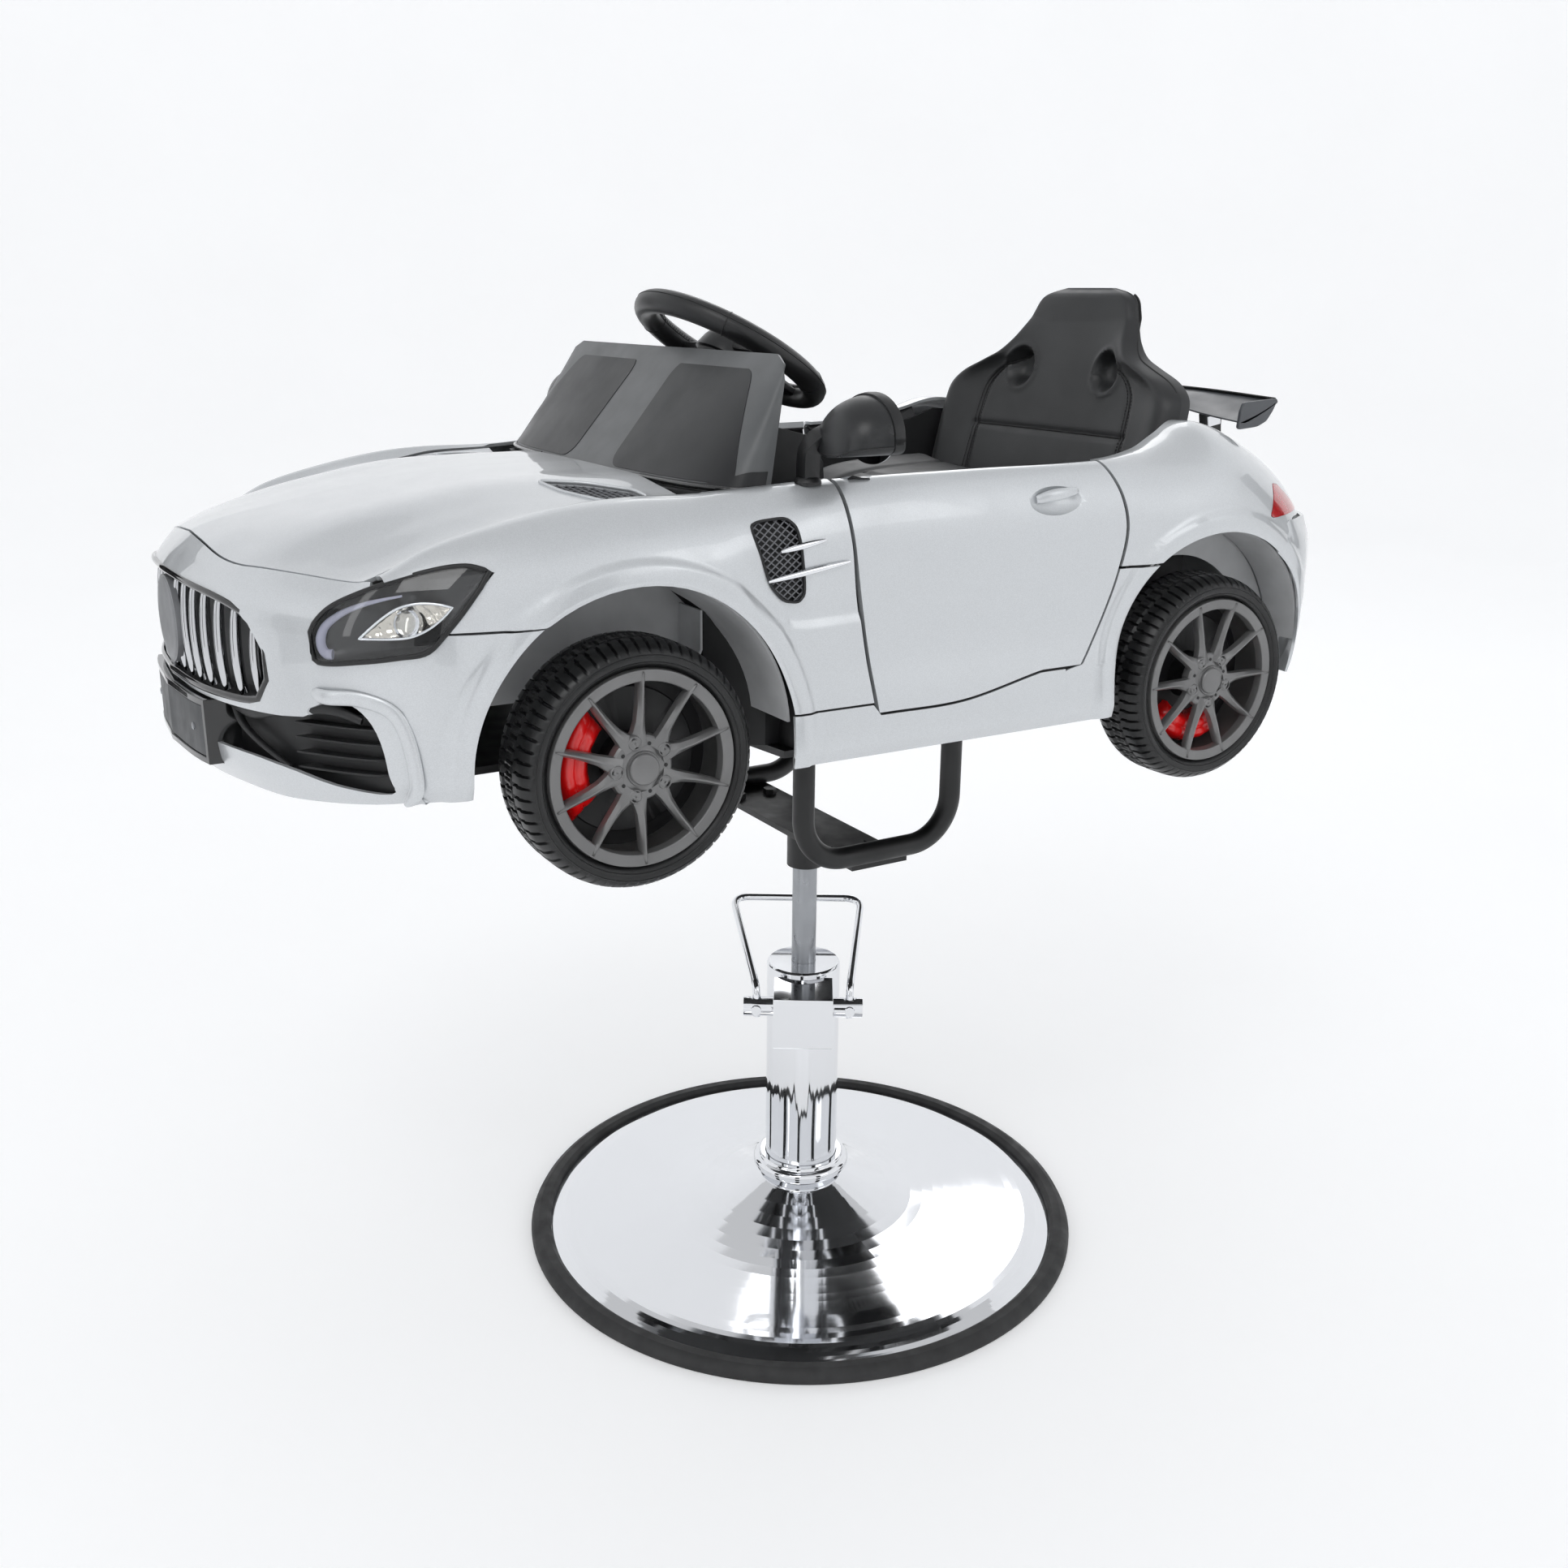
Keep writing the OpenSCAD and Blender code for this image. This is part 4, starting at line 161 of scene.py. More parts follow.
def arch_low(y, axle):
    d = abs(y - axle)
    return (ARCH_Z + math.sqrt(ARCH_R**2 - d * d) - SILL) / BODY_H if d < ARCH_R else 0


def arch_y(axle, z, way):
    return axle + way * math.sqrt(max(0, ARCH_R**2 - (z - ARCH_Z)**2))


def door_front_y(h):
    return y_at(lerp(0.4665, 0.4405, (h - 0.15) / 0.85))


def door_rear_y(h):
    return y_at(curve(h, door_rear_t))


def nose_plan_y(x):
    return NOSE + HALF * curve(abs(x) / HALF, nose_plan_t)


def nose_plan_x(y):
    return HALF * curve((y - NOSE) / HALF, corner_plan_t)


def hood_cut_y(x):
    return NOSE + HALF * curve(abs(x) / HALF, hood_cut_t)


def panel_row(y, q, low, n, shear=lambda h: 0.0, m=5):
    """A row of a side panel, from the hood edge q over the crown and down to the height low."""
    row = []
    for t in range(m):
        k = lerp(q, 1, t / m)
        cz = crown_z(along(y))
        s = along(y + shear(cz))
        h = hood_h(s, k) if s < 0.339 else crown_z(s) - 0.02 * (1 - k)
        row.append((k * crown_x(s), y + shear(cz), lift(h)))
    for t in steps(n):
        cz = crown_z(along(y))
        h = lerp(low, cz, cosd(90 * t))
        yy = y + shear(h)
        row.append(flank_point(yy, min(h, crown_z(along(yy)))))
    return row


# Mesh helpers; every length in the helpers is in millimetres
def link(obj):
    scene.collection.objects.link(obj)
    return obj


def mesh_object(name, verts, faces, smooth=True):
    me = bpy.data.meshes.new(name)
    me.from_pydata([(v[0] * MM, v[1] * MM, v[2] * MM) for v in verts], [], faces)
    me.validate()
    me.update()
    obj = link(bpy.data.objects.new(name, me))
    if smooth:
        me.shade_smooth()
    return obj


def sharpen(obj, angle=32):
    obj.data.shade_smooth()
    obj.data.set_sharp_from_angle(angle=math.radians(angle))


def grid_normals(g):
    out = []
    for i in range(len(g)):
        row = []
        for j in range(len(g[0])):
            a = Vector(g[i][min(j + 1, len(g[0]) - 1)]) - Vector(g[i][max(j - 1, 0)])
            b = Vector(g[min(i + 1, len(g) - 1)][j]) - Vector(g[max(i - 1, 0)][j])
            row.append(a.cross(b).normalized())
        out.append(row)
    return out


def between(name, outer, inner, sharp=40):
    """A closed shell between two grids of points."""
    r, c = len(outer) - 1, len(outer[0]) - 1
    n = (r + 1) * (c + 1)
    at = lambda i, j: i * (c + 1) + j
    verts = [p for row in outer for p in row] + [p for row in inner for p in row]
    faces = []
    for i in range(r):
        for j in range(c):
            faces.append((at(i, j), at(i, j + 1), at(i + 1, j + 1), at(i + 1, j)))
            faces.append((n + at(i, j), n + at(i + 1, j), n + at(i + 1, j + 1), n + at(i, j + 1)))
    rim = ([at(0, j) for j in range(c + 1)] + [at(i, c) for i in range(1, r + 1)]
           + [at(r, j) for j in range(c - 1, -1, -1)] + [at(i, 0) for i in range(r - 1, 0, -1)])
    for k in range(len(rim)):
        a, b = rim[k], rim[(k + 1) % len(rim)]
        faces.append((a, n + a, n + b, b))
    obj = mesh_object(name, verts, faces)
    tidy(obj)
    sharpen(obj, sharp)
    return obj


def tidy(obj):
    bm = bmesh.new()
    bm.from_mesh(obj.data)
    bmesh.ops.remove_doubles(bm, verts=bm.verts, dist=0.00001)
    bmesh.ops.recalc_face_normals(bm, faces=bm.faces)
    bm.to_mesh(obj.data)
    bm.free()


def shifted(g, depth):
    """The grid moved inwards along its normals."""
    ns = grid_normals(g)
    return [[tuple(Vector(g[i][j]) - depth * ns[i][j]) for j in range(len(g[0]))] for i in range(len(g))]


def skin(name, g, t, sharp=40):
    """A shell of thickness t inside a grid of points."""
    return between(name, g, shifted(g, t), sharp)


def prism(name, outline, low, high, place=lambda u, v, w: (u, v, w)):
    """A closed prism over an outline; place puts (u, v, w) into the row frame."""
    n = len(outline)
    verts = [place(u, v, low) for u, v in outline] + [place(u, v, high) for u, v in outline]
    faces = [tuple(range(n - 1, -1, -1)), tuple(range(n, 2 * n))]
    faces += [(i, (i + 1) % n, n + (i + 1) % n, n + i) for i in range(n)]
    obj = mesh_object(name, verts, faces, False)
    tidy(obj)
    return obj


def apply_mods(obj):
    dg = bpy.context.evaluated_depsgraph_get()
    me = bpy.data.meshes.new_from_object(obj.evaluated_get(dg))
    obj.modifiers.clear()
    old = obj.data
    obj.data = me
    bpy.data.meshes.remove(old)
    return obj


def cut(obj, cutters, op="DIFFERENCE", sharp=32):
    for c in cutters:
        m = obj.modifiers.new("cut", "BOOLEAN")
        m.operation = op
        m.solver = "EXACT"
        m.object = c
    apply_mods(obj)
    for c in cutters:
        bpy.data.objects.remove(c)
    sharpen(obj, sharp)
    return obj


def mirrored(obj, name):
    """The same piece on the car's other side, with its bevel."""
    me = obj.data.copy()
    me.transform(Matrix.Scale(-1, 4, Vector((1, 0, 0))))
    me.flip_normals()
    twin = link(bpy.data.objects.new(name, me))
    for m in obj.modifiers:
        if m.type == "BEVEL":
            b = twin.modifiers.new("edge", "BEVEL")
            b.width, b.segments, b.limit_method, b.angle_limit = m.width, m.segments, "ANGLE", m.angle_limit
            b.harden_normals = m.harden_normals
    return twin


def edge(obj, width=0.8, segments=2, angle=50):
    m = obj.modifiers.new("edge", "BEVEL")
    m.width = width * MM
    m.segments = segments
    m.limit_method = "ANGLE"
    m.angle_limit = math.radians(angle)
    m.harden_normals = True
    m.use_clamp_overlap = True
    return obj


def smooth_path(points, per=8, closed=False):
    """A Catmull-Rom line through the points."""
    n = len(points)
    out = []
    spans = n if closed else n - 1
    for i in range(spans):
        if closed:
            p = [Vector(points[(i + k - 1) % n]) for k in range(4)]
        else:
            p = [Vector(points[min(max(i + k - 1, 0), n - 1)]) for k in range(4)]
        for k in range(per):
            t = k / per
            out.append(0.5 * ((2 * p[1]) + (p[2] - p[0]) * t + (2 * p[0] - 5 * p[1] + 4 * p[2] - p[3]) * t * t
                              + (3 * p[1] - p[0] - 3 * p[2] + p[3]) * t**3))
    if not closed:
        out.append(Vector(points[-1]))
    return out


def tube(name, path, r, sides=12, closed=False, flat=1.0, up=None):
    """A tube of radius r, or of a list of radii, along a path."""
    path = [Vector(p) for p in path]
    n = len(path)
    verts, faces = [], []
    last = None
    for i, p in enumerate(path):
        a = path[(i - 1) % n] if closed or i > 0 else p
        b = path[(i + 1) % n] if closed or i < n - 1 else p
        d = (b - a).normalized()
        if last is None:
            ref = Vector(up) if up else (Vector((0, 0, 1)) if abs(d.z) < 0.9 else Vector((1, 0, 0)))
        else:
            ref = last
        side = (ref - d * ref.dot(d)).normalized()
        last = side
        other = d.cross(side)
        rr = r[i] if isinstance(r, (list, tuple)) else r
        for k in range(sides):
            t = 2 * math.pi * k / sides
            verts.append(tuple(p + side * rr * math.cos(t) + other * rr * flat * math.sin(t)))
    rings = n if closed else n - 1
    for i in range(rings):
        for k in range(sides):
            a, b = i * sides + k, i * sides + (k + 1) % sides
            c, d = ((i + 1) % n) * sides + (k + 1) % sides, ((i + 1) % n) * sides + k
            faces.append((a, b, c, d))
    if not closed:
        faces.append(tuple(range(sides - 1, -1, -1)))
        faces.append(tuple(range((n - 1) * sides, n * sides)))
    obj = mesh_object(name, verts, faces)
    tidy(obj)
    sharpen(obj, 50)
    return obj


def lathe(name, profile, place, seg=96, closed=True, sharp=32):
    """Turns (radius, height) pairs about the local third axis; place puts (u, v, w) into the row frame."""
    verts, faces = [], []
    m = len(profile)
    for i in range(seg):
        a = 2 * math.pi * i / seg
        for r, w in profile:
            verts.append(place(r * math.cos(a), r * math.sin(a), w))
    for i in range(seg):
        for j in range(m if closed else m - 1):
            k = (j + 1) % m
            a, b = i * m + j, i * m + k
            c, d = ((i + 1) % seg) * m + k, ((i + 1) % seg) * m + j
            faces.append((a, b, c, d))
    obj = mesh_object(name, verts, faces)
    tidy(obj)
    sharpen(obj, sharp)
    return obj


def join(name, objs):
    """Makes one mesh object of several, in the row frame."""
    bm = bmesh.new()
    for o in objs:
        dg = bpy.context.evaluated_depsgraph_get()
        e = o.evaluated_get(dg)
        me = bpy.data.meshes.new_from_object(e)
        me.transform(o.matrix_world)
        bm.from_mesh(me)
        bpy.data.meshes.remove(me)
    me = bpy.data.meshes.new(name)
    bm.to_mesh(me)
    bm.free()
    for o in objs:
        bpy.data.objects.remove(o)
    return link(bpy.data.objects.new(name, me))


def dress(obj, mat, body, replaces=()):
    """Gives a piece its one finish, its body and the CAD nodes that it stands for."""
    obj.data.materials.clear()
    obj.data.materials.append(mat)
    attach(obj, body)
    if replaces:
        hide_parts(*replaces)


def pair(obj, mat, node="", body="car"):
    """Dresses a left piece and its mirrored twin; a node with no side of its own goes to the twin."""
    names = [obj.name, body, node]
    name, far_body, far_node = [s.replace("left", "right") for s in names]
    dress(mirrored(obj, name), mat, far_body, [far_node] if node else ())
    dress(obj, mat, body, [node] if node != far_node else ())


# Materials
def linear(c):
    return tuple(v / 12.92 if v <= 0.04045 else ((v + 0.055) / 1.055)**2.4 for v in c) + (1.0,)


class Finish:
    """A Principled material with its noise, grain and wear built up by calls."""

    def __init__(self, name, color, rough, **kw):
        self.mat = bpy.data.materials.new(name)
        self.mat.use_nodes = True
        self.nt = self.mat.node_tree
        self.b = self.nt.nodes["Principled BSDF"]
        self.color = linear(color)
        self.b.inputs["Base Color"].default_value = self.color
        self.b.inputs["Roughness"].default_value = rough
        for k, v in kw.items():
            self.b.inputs[k.replace("_", " ")].default_value = v
        self.mat.diffuse_color = self.color
        self.at = self.nt.nodes.new("ShaderNodeTexCoord").outputs["Object"]

    def node(self, kind, **kw):
        n = self.nt.nodes.new(kind)
        for k, v in kw.items():
            setattr(n, k, v)
        return n

    def noise(self, scale, detail=3.0, stretch=None):
        n = self.node("ShaderNodeTexNoise")
        n.inputs["Scale"].default_value = scale
        n.inputs["Detail"].default_value = detail
        src = self.at
        if stretch:
            m = self.node("ShaderNodeMapping")
            m.inputs["Scale"].default_value = stretch
            self.nt.links.new(self.at, m.inputs["Vector"])
            src = m.outputs["Vector"]
        self.nt.links.new(src, n.inputs["Vector"])
        return n.outputs["Fac"]

    def cells(self, scale, feature="F1", out="Distance"):
        n = self.node("ShaderNodeTexVoronoi", feature=feature)
        n.inputs["Scale"].default_value = scale
        self.nt.links.new(self.at, n.inputs["Vector"])
        return n.outputs[out]

    def tone(self, fac, low, high, lo_at=0.35, hi_at=0.65):
        r = self.node("ShaderNodeValToRGB")
        r.color_ramp.elements[0].position = lo_at
        r.color_ramp.elements[1].position = hi_at
        c = self.color
        r.color_ramp.elements[0].color = (c[0] * low, c[1] * low, c[2] * low, 1)
        r.color_ramp.elements[1].color = (c[0] * high, c[1] * high, c[2] * high, 1)
        self.nt.links.new(fac, r.inputs["Fac"])
        self.nt.links.new(r.outputs["Color"], self.b.inputs["Base Color"])
        return self

    def rough(self, fac, low, high):
        m = self.node("ShaderNodeMapRange")
        m.inputs["From Min"].default_value = 0.3
        m.inputs["From Max"].default_value = 0.7
        m.inputs["To Min"].default_value = low
        m.inputs["To Max"].default_value = high
        self.nt.links.new(fac, m.inputs["Value"])
        self.nt.links.new(m.outputs["Result"], self.b.inputs["Roughness"])
        return self

    def bump(self, fac, strength, distance, invert=False):
        n = self.node("ShaderNodeBump", invert=invert)
        n.inputs["Strength"].default_value = strength
        n.inputs["Distance"].default_value = distance * MM
        self.nt.links.new(fac, n.inputs["Height"])
        old = self.b.inputs["Normal"].links
        if old:
            self.nt.links.new(old[0].from_socket, n.inputs["Normal"])
        self.nt.links.new(n.outputs["Normal"], self.b.inputs["Normal"])
        return self


def paint_finish():
    f = Finish("silver_paint", (0.80, 0.812, 0.822), 0.36, Metallic=0.55, Coat_Weight=1.0, Coat_Roughness=0.03)
    f.tone(f.cells(2600, out="Color"), 0.92, 1.04, 0.2, 0.8)
    f.rough(f.noise(35), 0.32, 0.42)
    f.bump(f.noise(2400, 2), 0.05, 0.02)
    f.bump(f.noise(22, 1), 0.03, 0.6)
    return f.mat


def brushed_finish():
    f = Finish("bare_steel", (0.62, 0.63, 0.645), 0.3, Metallic=1.0)
    f.rough(f.noise(60, 4), 0.22, 0.42)
    f.bump(f.noise(400, 2, (1, 1, 12)), 0.15, 0.05)
    f.tone(f.noise(12, 4), 0.85, 1.05)
    return f.mat


def red_lens_finish():
    f = Finish("red_lens", (0.66, 0.05, 0.07), 0.16, Coat_Weight=1.0, Coat_Roughness=0.03,
               Subsurface_Weight=0.2)
    f.b.inputs["Subsurface Radius"].default_value = (0.003, 0.001, 0.001)
    f.bump(f.cells(420, "F1"), 0.35, 0.3)
    f.tone(f.cells(420), 0.7, 1.2, 0.1, 0.6)
    return f.mat


def finish(name, color, rough, span, bumps, tone=None, **kw):
    """A finish from its amounts.

    span: scale and detail of the noise behind the roughness, then its low and high end.
    bumps: scale, detail, strength and distance of each; a cell feature in place of the detail makes it of cells.
    tone: scale and detail of the noise behind the colour, then its low and high share.
    """
    f = Finish(name, color, rough, **kw)
    if span:
        f.rough(f.noise(*span[:2]), *span[2:])
    for scale, detail, *amounts in bumps:
        f.bump(f.cells(scale, detail) if isinstance(detail, str) else f.noise(scale, detail), *amounts)
    if tone:
        f.tone(f.noise(*tone[:2]), *tone[2:])
    return f.mat


def chrome(name, tone):
    return finish(name, (tone, tone + 0.005, tone + 0.015), 0.06, (18, 4, 0.035, 0.085),
                  [(30, 1, 0.03, 0.35), (900, 2, 0.02, 0.02)], Metallic=1.0)


def plastic(name, color, low, high, grain=0.35, scale=1400):
    return finish(name, color, low, (45, 4, low, high), [(scale, "F1", grain, 0.07)], (18, 4, 0.88, 1.12))


def leather(name, color, low, high):
    return finish(name, color, low, (30, 5, low, high),
                  [(620, "DISTANCE_TO_EDGE", 0.45, 0.16, True), (1900, 2, 0.2, 0.05), (28, 2, 0.18, 1.1)],
                  (9, 5, 0.82, 1.2), Sheen_Weight=0.08, Sheen_Roughness=0.5)


PAINT, STEEL, RED = paint_finish(), brushed_finish(), red_lens_finish()
CHROME, BAR_CHROME = chrome("chrome", 0.90), chrome("bar_chrome", 0.78)
BLACK_STEEL = finish("powder_black", (0.075, 0.077, 0.08), 0.36, (40, 4, 0.36, 0.52), [(1500, 2, 0.25, 0.06)],
                     (25, 4, 0.8, 1.2), Specular_IOR_Level=0.5)
RUBBER = finish("edge_rubber", (0.15, 0.15, 0.153), 0.6, (60, 4, 0.52, 0.75), [(1100, 3, 0.3, 0.08)],
                (20, 5, 0.8, 1.25))
GLOSS = finish("gloss_black", (0.05, 0.052, 0.056), 0.08, (30, 4, 0.05, 0.16), [(60, 1, 0.04, 0.2)],
               Coat_Weight=0.6, Coat_Roughness=0.03)
PANE = finish("smoked_pane", (0.12, 0.123, 0.13), 0.34, (22, 5, 0.28, 0.42), [(45, 2, 0.05, 0.3)],
              (6, 3, 0.82, 1.15), Specular_IOR_Level=0.32)
LENS = finish("clear_lens", (0.98, 0.985, 0.99), 0.02, (20, 3, 0.01, 0.03), [(40, 1, 0.02, 0.1)],
              Transmission_Weight=1.0, IOR=1.42)
REFLECTOR = finish("reflector", (0.80, 0.78, 0.74), 0.08, (80, 3, 0.05, 0.14), [(160, 1, 0.25, 0.4)], Metallic=1.0)
STRIP = finish("light_guide", (0.78, 0.78, 0.86), 0.25, None, [(300, 1, 0.08, 0.1)], (60, 2, 0.94, 1.04),
               Subsurface_Weight=0.15, Subsurface_Radius=(0.004, 0.004, 0.004), Coat_Weight=0.4)
TYRE = finish("tyre_rubber", (0.055, 0.058, 0.062), 0.36, (50, 4, 0.28, 0.46), [(1300, 3, 0.22, 0.06)],
              (22, 4, 0.8, 1.25))
RIM = finish("gunmetal", (0.45, 0.45, 0.45), 0.38, (60, 4, 0.28, 0.42), [(2200, "F1", 0.12, 0.04)],
             (20, 4, 0.9, 1.1), Metallic=0.5, Coat_Weight=0.3, Coat_Roughness=0.25)
CALIPER = finish("caliper_red", (0.90, 0.03, 0.04), 0.32, (60, 4, 0.24, 0.4), [(500, 2, 0.15, 0.08)],
                 (30, 3, 0.85, 1.05), Coat_Weight=0.6, Coat_Roughness=0.1)
TRIM = plastic("moulded_black", (0.085, 0.087, 0.092), 0.36, 0.5)
TRIM_SOFT = plastic("mirror_black", (0.115, 0.12, 0.126), 0.26, 0.38, 0.4, 1100)
TUB = plastic("grained_black", (0.11, 0.112, 0.118), 0.42, 0.6, 0.5, 900)
FRAME_GREY = plastic("satin_grey", (0.335, 0.343, 0.348), 0.34, 0.44, 0.2)
LINER = plastic("liner_grey", (0.72, 0.725, 0.73), 0.4, 0.55, 0.2)
WING_MAT = plastic("wing_grey", (0.30, 0.31, 0.325), 0.28, 0.42, 0.15)
MESH_MAT = plastic("mesh_grey", (0.42, 0.425, 0.44), 0.3, 0.45, 0.1)
PLATE_MAT = plastic("plate_dark", (0.20, 0.21, 0.22), 0.35, 0.5, 0.2)
DISC_MAT = plastic("disc_grey", (0.46, 0.465, 0.475), 0.3, 0.42, 0.1)
HOUSING = plastic("lamp_housing", (0.06, 0.063, 0.068), 0.14, 0.26, 0.08)
LEATHER = leather("seat_leather", (0.125, 0.13, 0.136), 0.36, 0.5)
GRIP = leather("grip_leather", (0.085, 0.088, 0.094), 0.28, 0.42)
THREAD = plastic("thread_black", (0.06, 0.06, 0.065), 0.5, 0.7, 0.4, 3000)

# CAD nodes that stay, with their finish
KEPT = {"base_disc": CHROME, "rubber_ring": RUBBER, "flange_plate": BLACK_STEEL, "base_collar": CHROME,
        "pump_cover": CHROME, "pump_block": CHROME, "inner_cylinder": STEEL, "lever_shaft": CHROME,
        "piston_head": STEEL, "lift_rod": STEEL, "socket_plate": BLACK_STEEL, "left_tube": BLACK_STEEL,
        "right_tube": BLACK_STEEL, "frame_bolts": BLACK_STEEL, "chassis_pan": TRIM, "cockpit_tub": TUB,
        "dashboard": TUB, "grille_backing": TRIM, "vent_meshes": TRIM, "steering_column": BLACK_STEEL,
        "tie_rod": STEEL, "left_knuckle": STEEL, "right_knuckle": STEEL, "rear_axle": STEEL}
SOFT_EDGES = {"pump_block": 2.2, "pump_cover": 1.0, "lever_shaft": 1.0, "socket_plate": 1.2, "dashboard": 6.0,
              "cockpit_tub": 1.0, "rubber_ring": 1.2, "base_collar": 0.8, "frame_bolts": 0.8, "lift_rod": 0.6}
for name, mat in KEPT.items():
    obj = NODES[name]
    obj.data.materials.clear()
    obj.data.materials.append(mat)
    if name in SOFT_EDGES:
        w = obj.modifiers.new("weld", "WELD")
        w.merge_threshold = 0.00002
        edge(obj, SOFT_EDGES[name], 3, 40)


# Camera, light and floor
def make_camera():
    right = Vector((0.5167, 0.8561, 0.0102)).normalized()
    ahead = Vector((-0.8156, 0.4958, -0.2984)).normalized()
    up = right.cross(ahead).normalized()
    right = ahead.cross(up)
    cam = bpy.data.cameras.new("camera")
    cam.sensor_width = 36
    cam.lens = 35.767
    cam.clip_end = 60
    obj = link(bpy.data.objects.new("camera", cam))
    m = Matrix((right, up, -ahead)).transposed().to_4x4()
    m.translation = Vector((1.2611915, -0.7926893, 0.9530809))
    obj.matrix_world = m
    scene.camera = obj


def area(name, at, to, size, power, size_y=None):
    d = bpy.data.lights.new(name, "AREA")
    d.energy = power
    d.size = size
    if size_y:
        d.shape = "RECTANGLE"
        d.size_y = size_y
    o = link(bpy.data.objects.new(name, d))
    o.location = at
    o.rotation_euler = (Vector(to) - Vector(at)).to_track_quat("-Z", "Y").to_euler()
    return o


def make_studio():
    w = bpy.data.worlds.new("studio")
    scene.world = w
    w.use_nodes = True
    bg = w.node_tree.nodes["Background"]
    bg.inputs["Color"].default_value = (0.97, 0.98, 1.0, 1)
    bg.inputs["Strength"].default_value = 0.66
    area("key", (2.0, -2.2, 3.6), (0, -0.1, 0.6), 1.6, 22)
    area("fill", (3.4, 1.8, 2.0), (0, 0, 0.6), 1.2, 5)
    area("back", (-2.6, 2.2, 2.8), (0, 0, 0.6), 1.6, 10)
    area("strip", (0.9, -3.2, 1.7), (0, -0.3, 0.7), 0.25, 3, 2.2)
    # One pale sweep: a flat floor that turns up into a wall all round
    flat, bend, drop, top = 5200, 3000, -0.2, 9000
    profile = [(0, drop), (600, drop), (2200, drop), (flat, drop)]
    profile += [(flat + bend * sind(t), drop + bend - bend * cosd(t)) for t in range(6, 91, 6)]
    profile += [(flat + bend, 5000), (flat + bend, top)]
    floor = lathe("floor", profile, lambda u, v, h: (u, v, h), 96, False)
    f = Finish("pale_floor", (0.95, 0.952, 0.955), 0.7)
    f.b.inputs["Emission Color"].default_value = (1, 1, 1, 1)
    f.b.inputs["Emission Strength"].default_value = 0.2
    f.rough(f.noise(3, 4), 0.6, 0.75)
    f.tone(f.noise(1.2, 4), 0.985, 1.0)
    floor.data.materials.append(f.mat)
    flag_mat = Finish("flag", (0.10, 0.10, 0.105), 0.9).mat
    # Dark flags outside the picture, seen in reflections alone: place and width in metres
    for i, (x, y, w0) in enumerate([(2.6, -2.1, 0.55), (2.9, 0.5, 0.5), (0.1, -2.9, 0.5), (-2.6, -1.4, 0.6),
                                    (0.6, 2.9, 0.6)]):
        p, rise = Vector((x, y, 0)), Vector((0, 0, 1.7))
        d = p.normalized()
        s = Vector((-d.y, d.x, 0)) * w0 / 2
        quad = [p - s, p + s, p + s + rise, p - s + rise]
        flag = mesh_object("flag_%d" % i, [tuple(q * 1000) for q in quad], [(0, 1, 2, 3)], False)
        flag.data.materials.append(flag_mat)
        flag.visible_camera = flag.visible_diffuse = False
        flag.visible_shadow = flag.visible_transmission = False
    scene.view_settings.view_transform = "Standard"


make_camera()
make_studio()


def refine(values, n):
    out = []
    for a, b in zip(values, values[1:]):
        out += [lerp(a, b, k / n) for k in range(n)]
    return out + [values[-1]]


def sgn(v):
    return (v > 0) - (v < 0)


def soft_step(x, a, b):
    t = min(max((x - a) / (b - a), 0), 1)
    return t * t * (3 - 2 * t)


# Arch band: the body stands a little proud round each wheel
def arch_band(p, axle, width=15, rise=3.2):
    r = math.hypot(p[1] - axle, p[2] - ARCH_Z)
    if p[0] < 150 or r > ARCH_R + width + 5:
        return p
    t = min(max((ARCH_R + width + 5 - r) / 6, 0), 1)
    lip = min(max((r - ARCH_R) / 3, 0), 1)
    return (p[0] + rise * t * t * (3 - 2 * t) * (0.55 + 0.45 * lip), p[1], p[2])


def banded(g, axle):
    return [[arch_band(p, axle) for p in row] for row in g]


# Cutters in the car's own directions
def through_front(name, outline):
    return prism(name, [(k * HALF, lift(h)) for k, h in outline], NOSE + HALF * 0.6 - HALF, NOSE + HALF * 0.6,
                 lambda u, v, w: (u, w, v))


def through_side(name, outline, low, high):
    return prism(name, outline, low, high, lambda u, v, w: (w, u, v))


def both(outline):
    return outline + [(-p[0], p[1]) for p in reversed(outline)]


def clean(outline):
    out = []
    for p in outline:
        if not out or math.hypot(p[0] - out[-1][0], p[1] - out[-1][1]) > 1e-4:
            out.append(p)
    if math.hypot(out[0][0] - out[-1][0], out[0][1] - out[-1][1]) < 1e-4:
        out.pop()
    return out


grille_top_t = [(0, 0.68), (0.30, 0.665), (0.46, 0.635), (0.53, 0.59), (0.57, 0.50)]
grille_low_t = [(0, 0.318), (0.40, 0.322), (0.52, 0.333), (0.555, 0.37), (0.57, 0.42)]
opening_t = [(0, 0.30), (0.60, 0.295), (0.67, 0.33), (0.73, 0.365), (0.78, 0.345), (0.81, 0.27), (0.82, 0.13),
             (0.81, 0.06), (0.70, 0.078), (0.58, 0.12), (0.42, 0.138), (0, 0.138)]
lamp_top_t = [(0, -0.161), (0.041, -0.079), (0.132, 0.012), (0.285, 0.095), (0.508, 0.195), (0.669, 0.264),
              (0.864, 0.318), (1, 0.298)]
lamp_low_t = [(0, -0.161), (0.012, -0.243), (0.065, -0.30), (0.346, -0.275), (0.57, -0.231), (0.71, -0.19),
              (0.793, -0.099), (0.9, 0.069), (1, 0.298)]
vent_t = [(0.417, 0.252), (0.55, 0.262), (0.67, 0.284), (0.705, 0.302), (0.655, 0.315), (0.575, 0.312),
          (0.48, 0.288)]
side_vent_t = [(0.358, 0.86), (0.366, 0.875), (0.389, 0.882), (0.398, 0.845), (0.403, 0.62), (0.397, 0.59),
               (0.384, 0.60), (0.372, 0.66)]
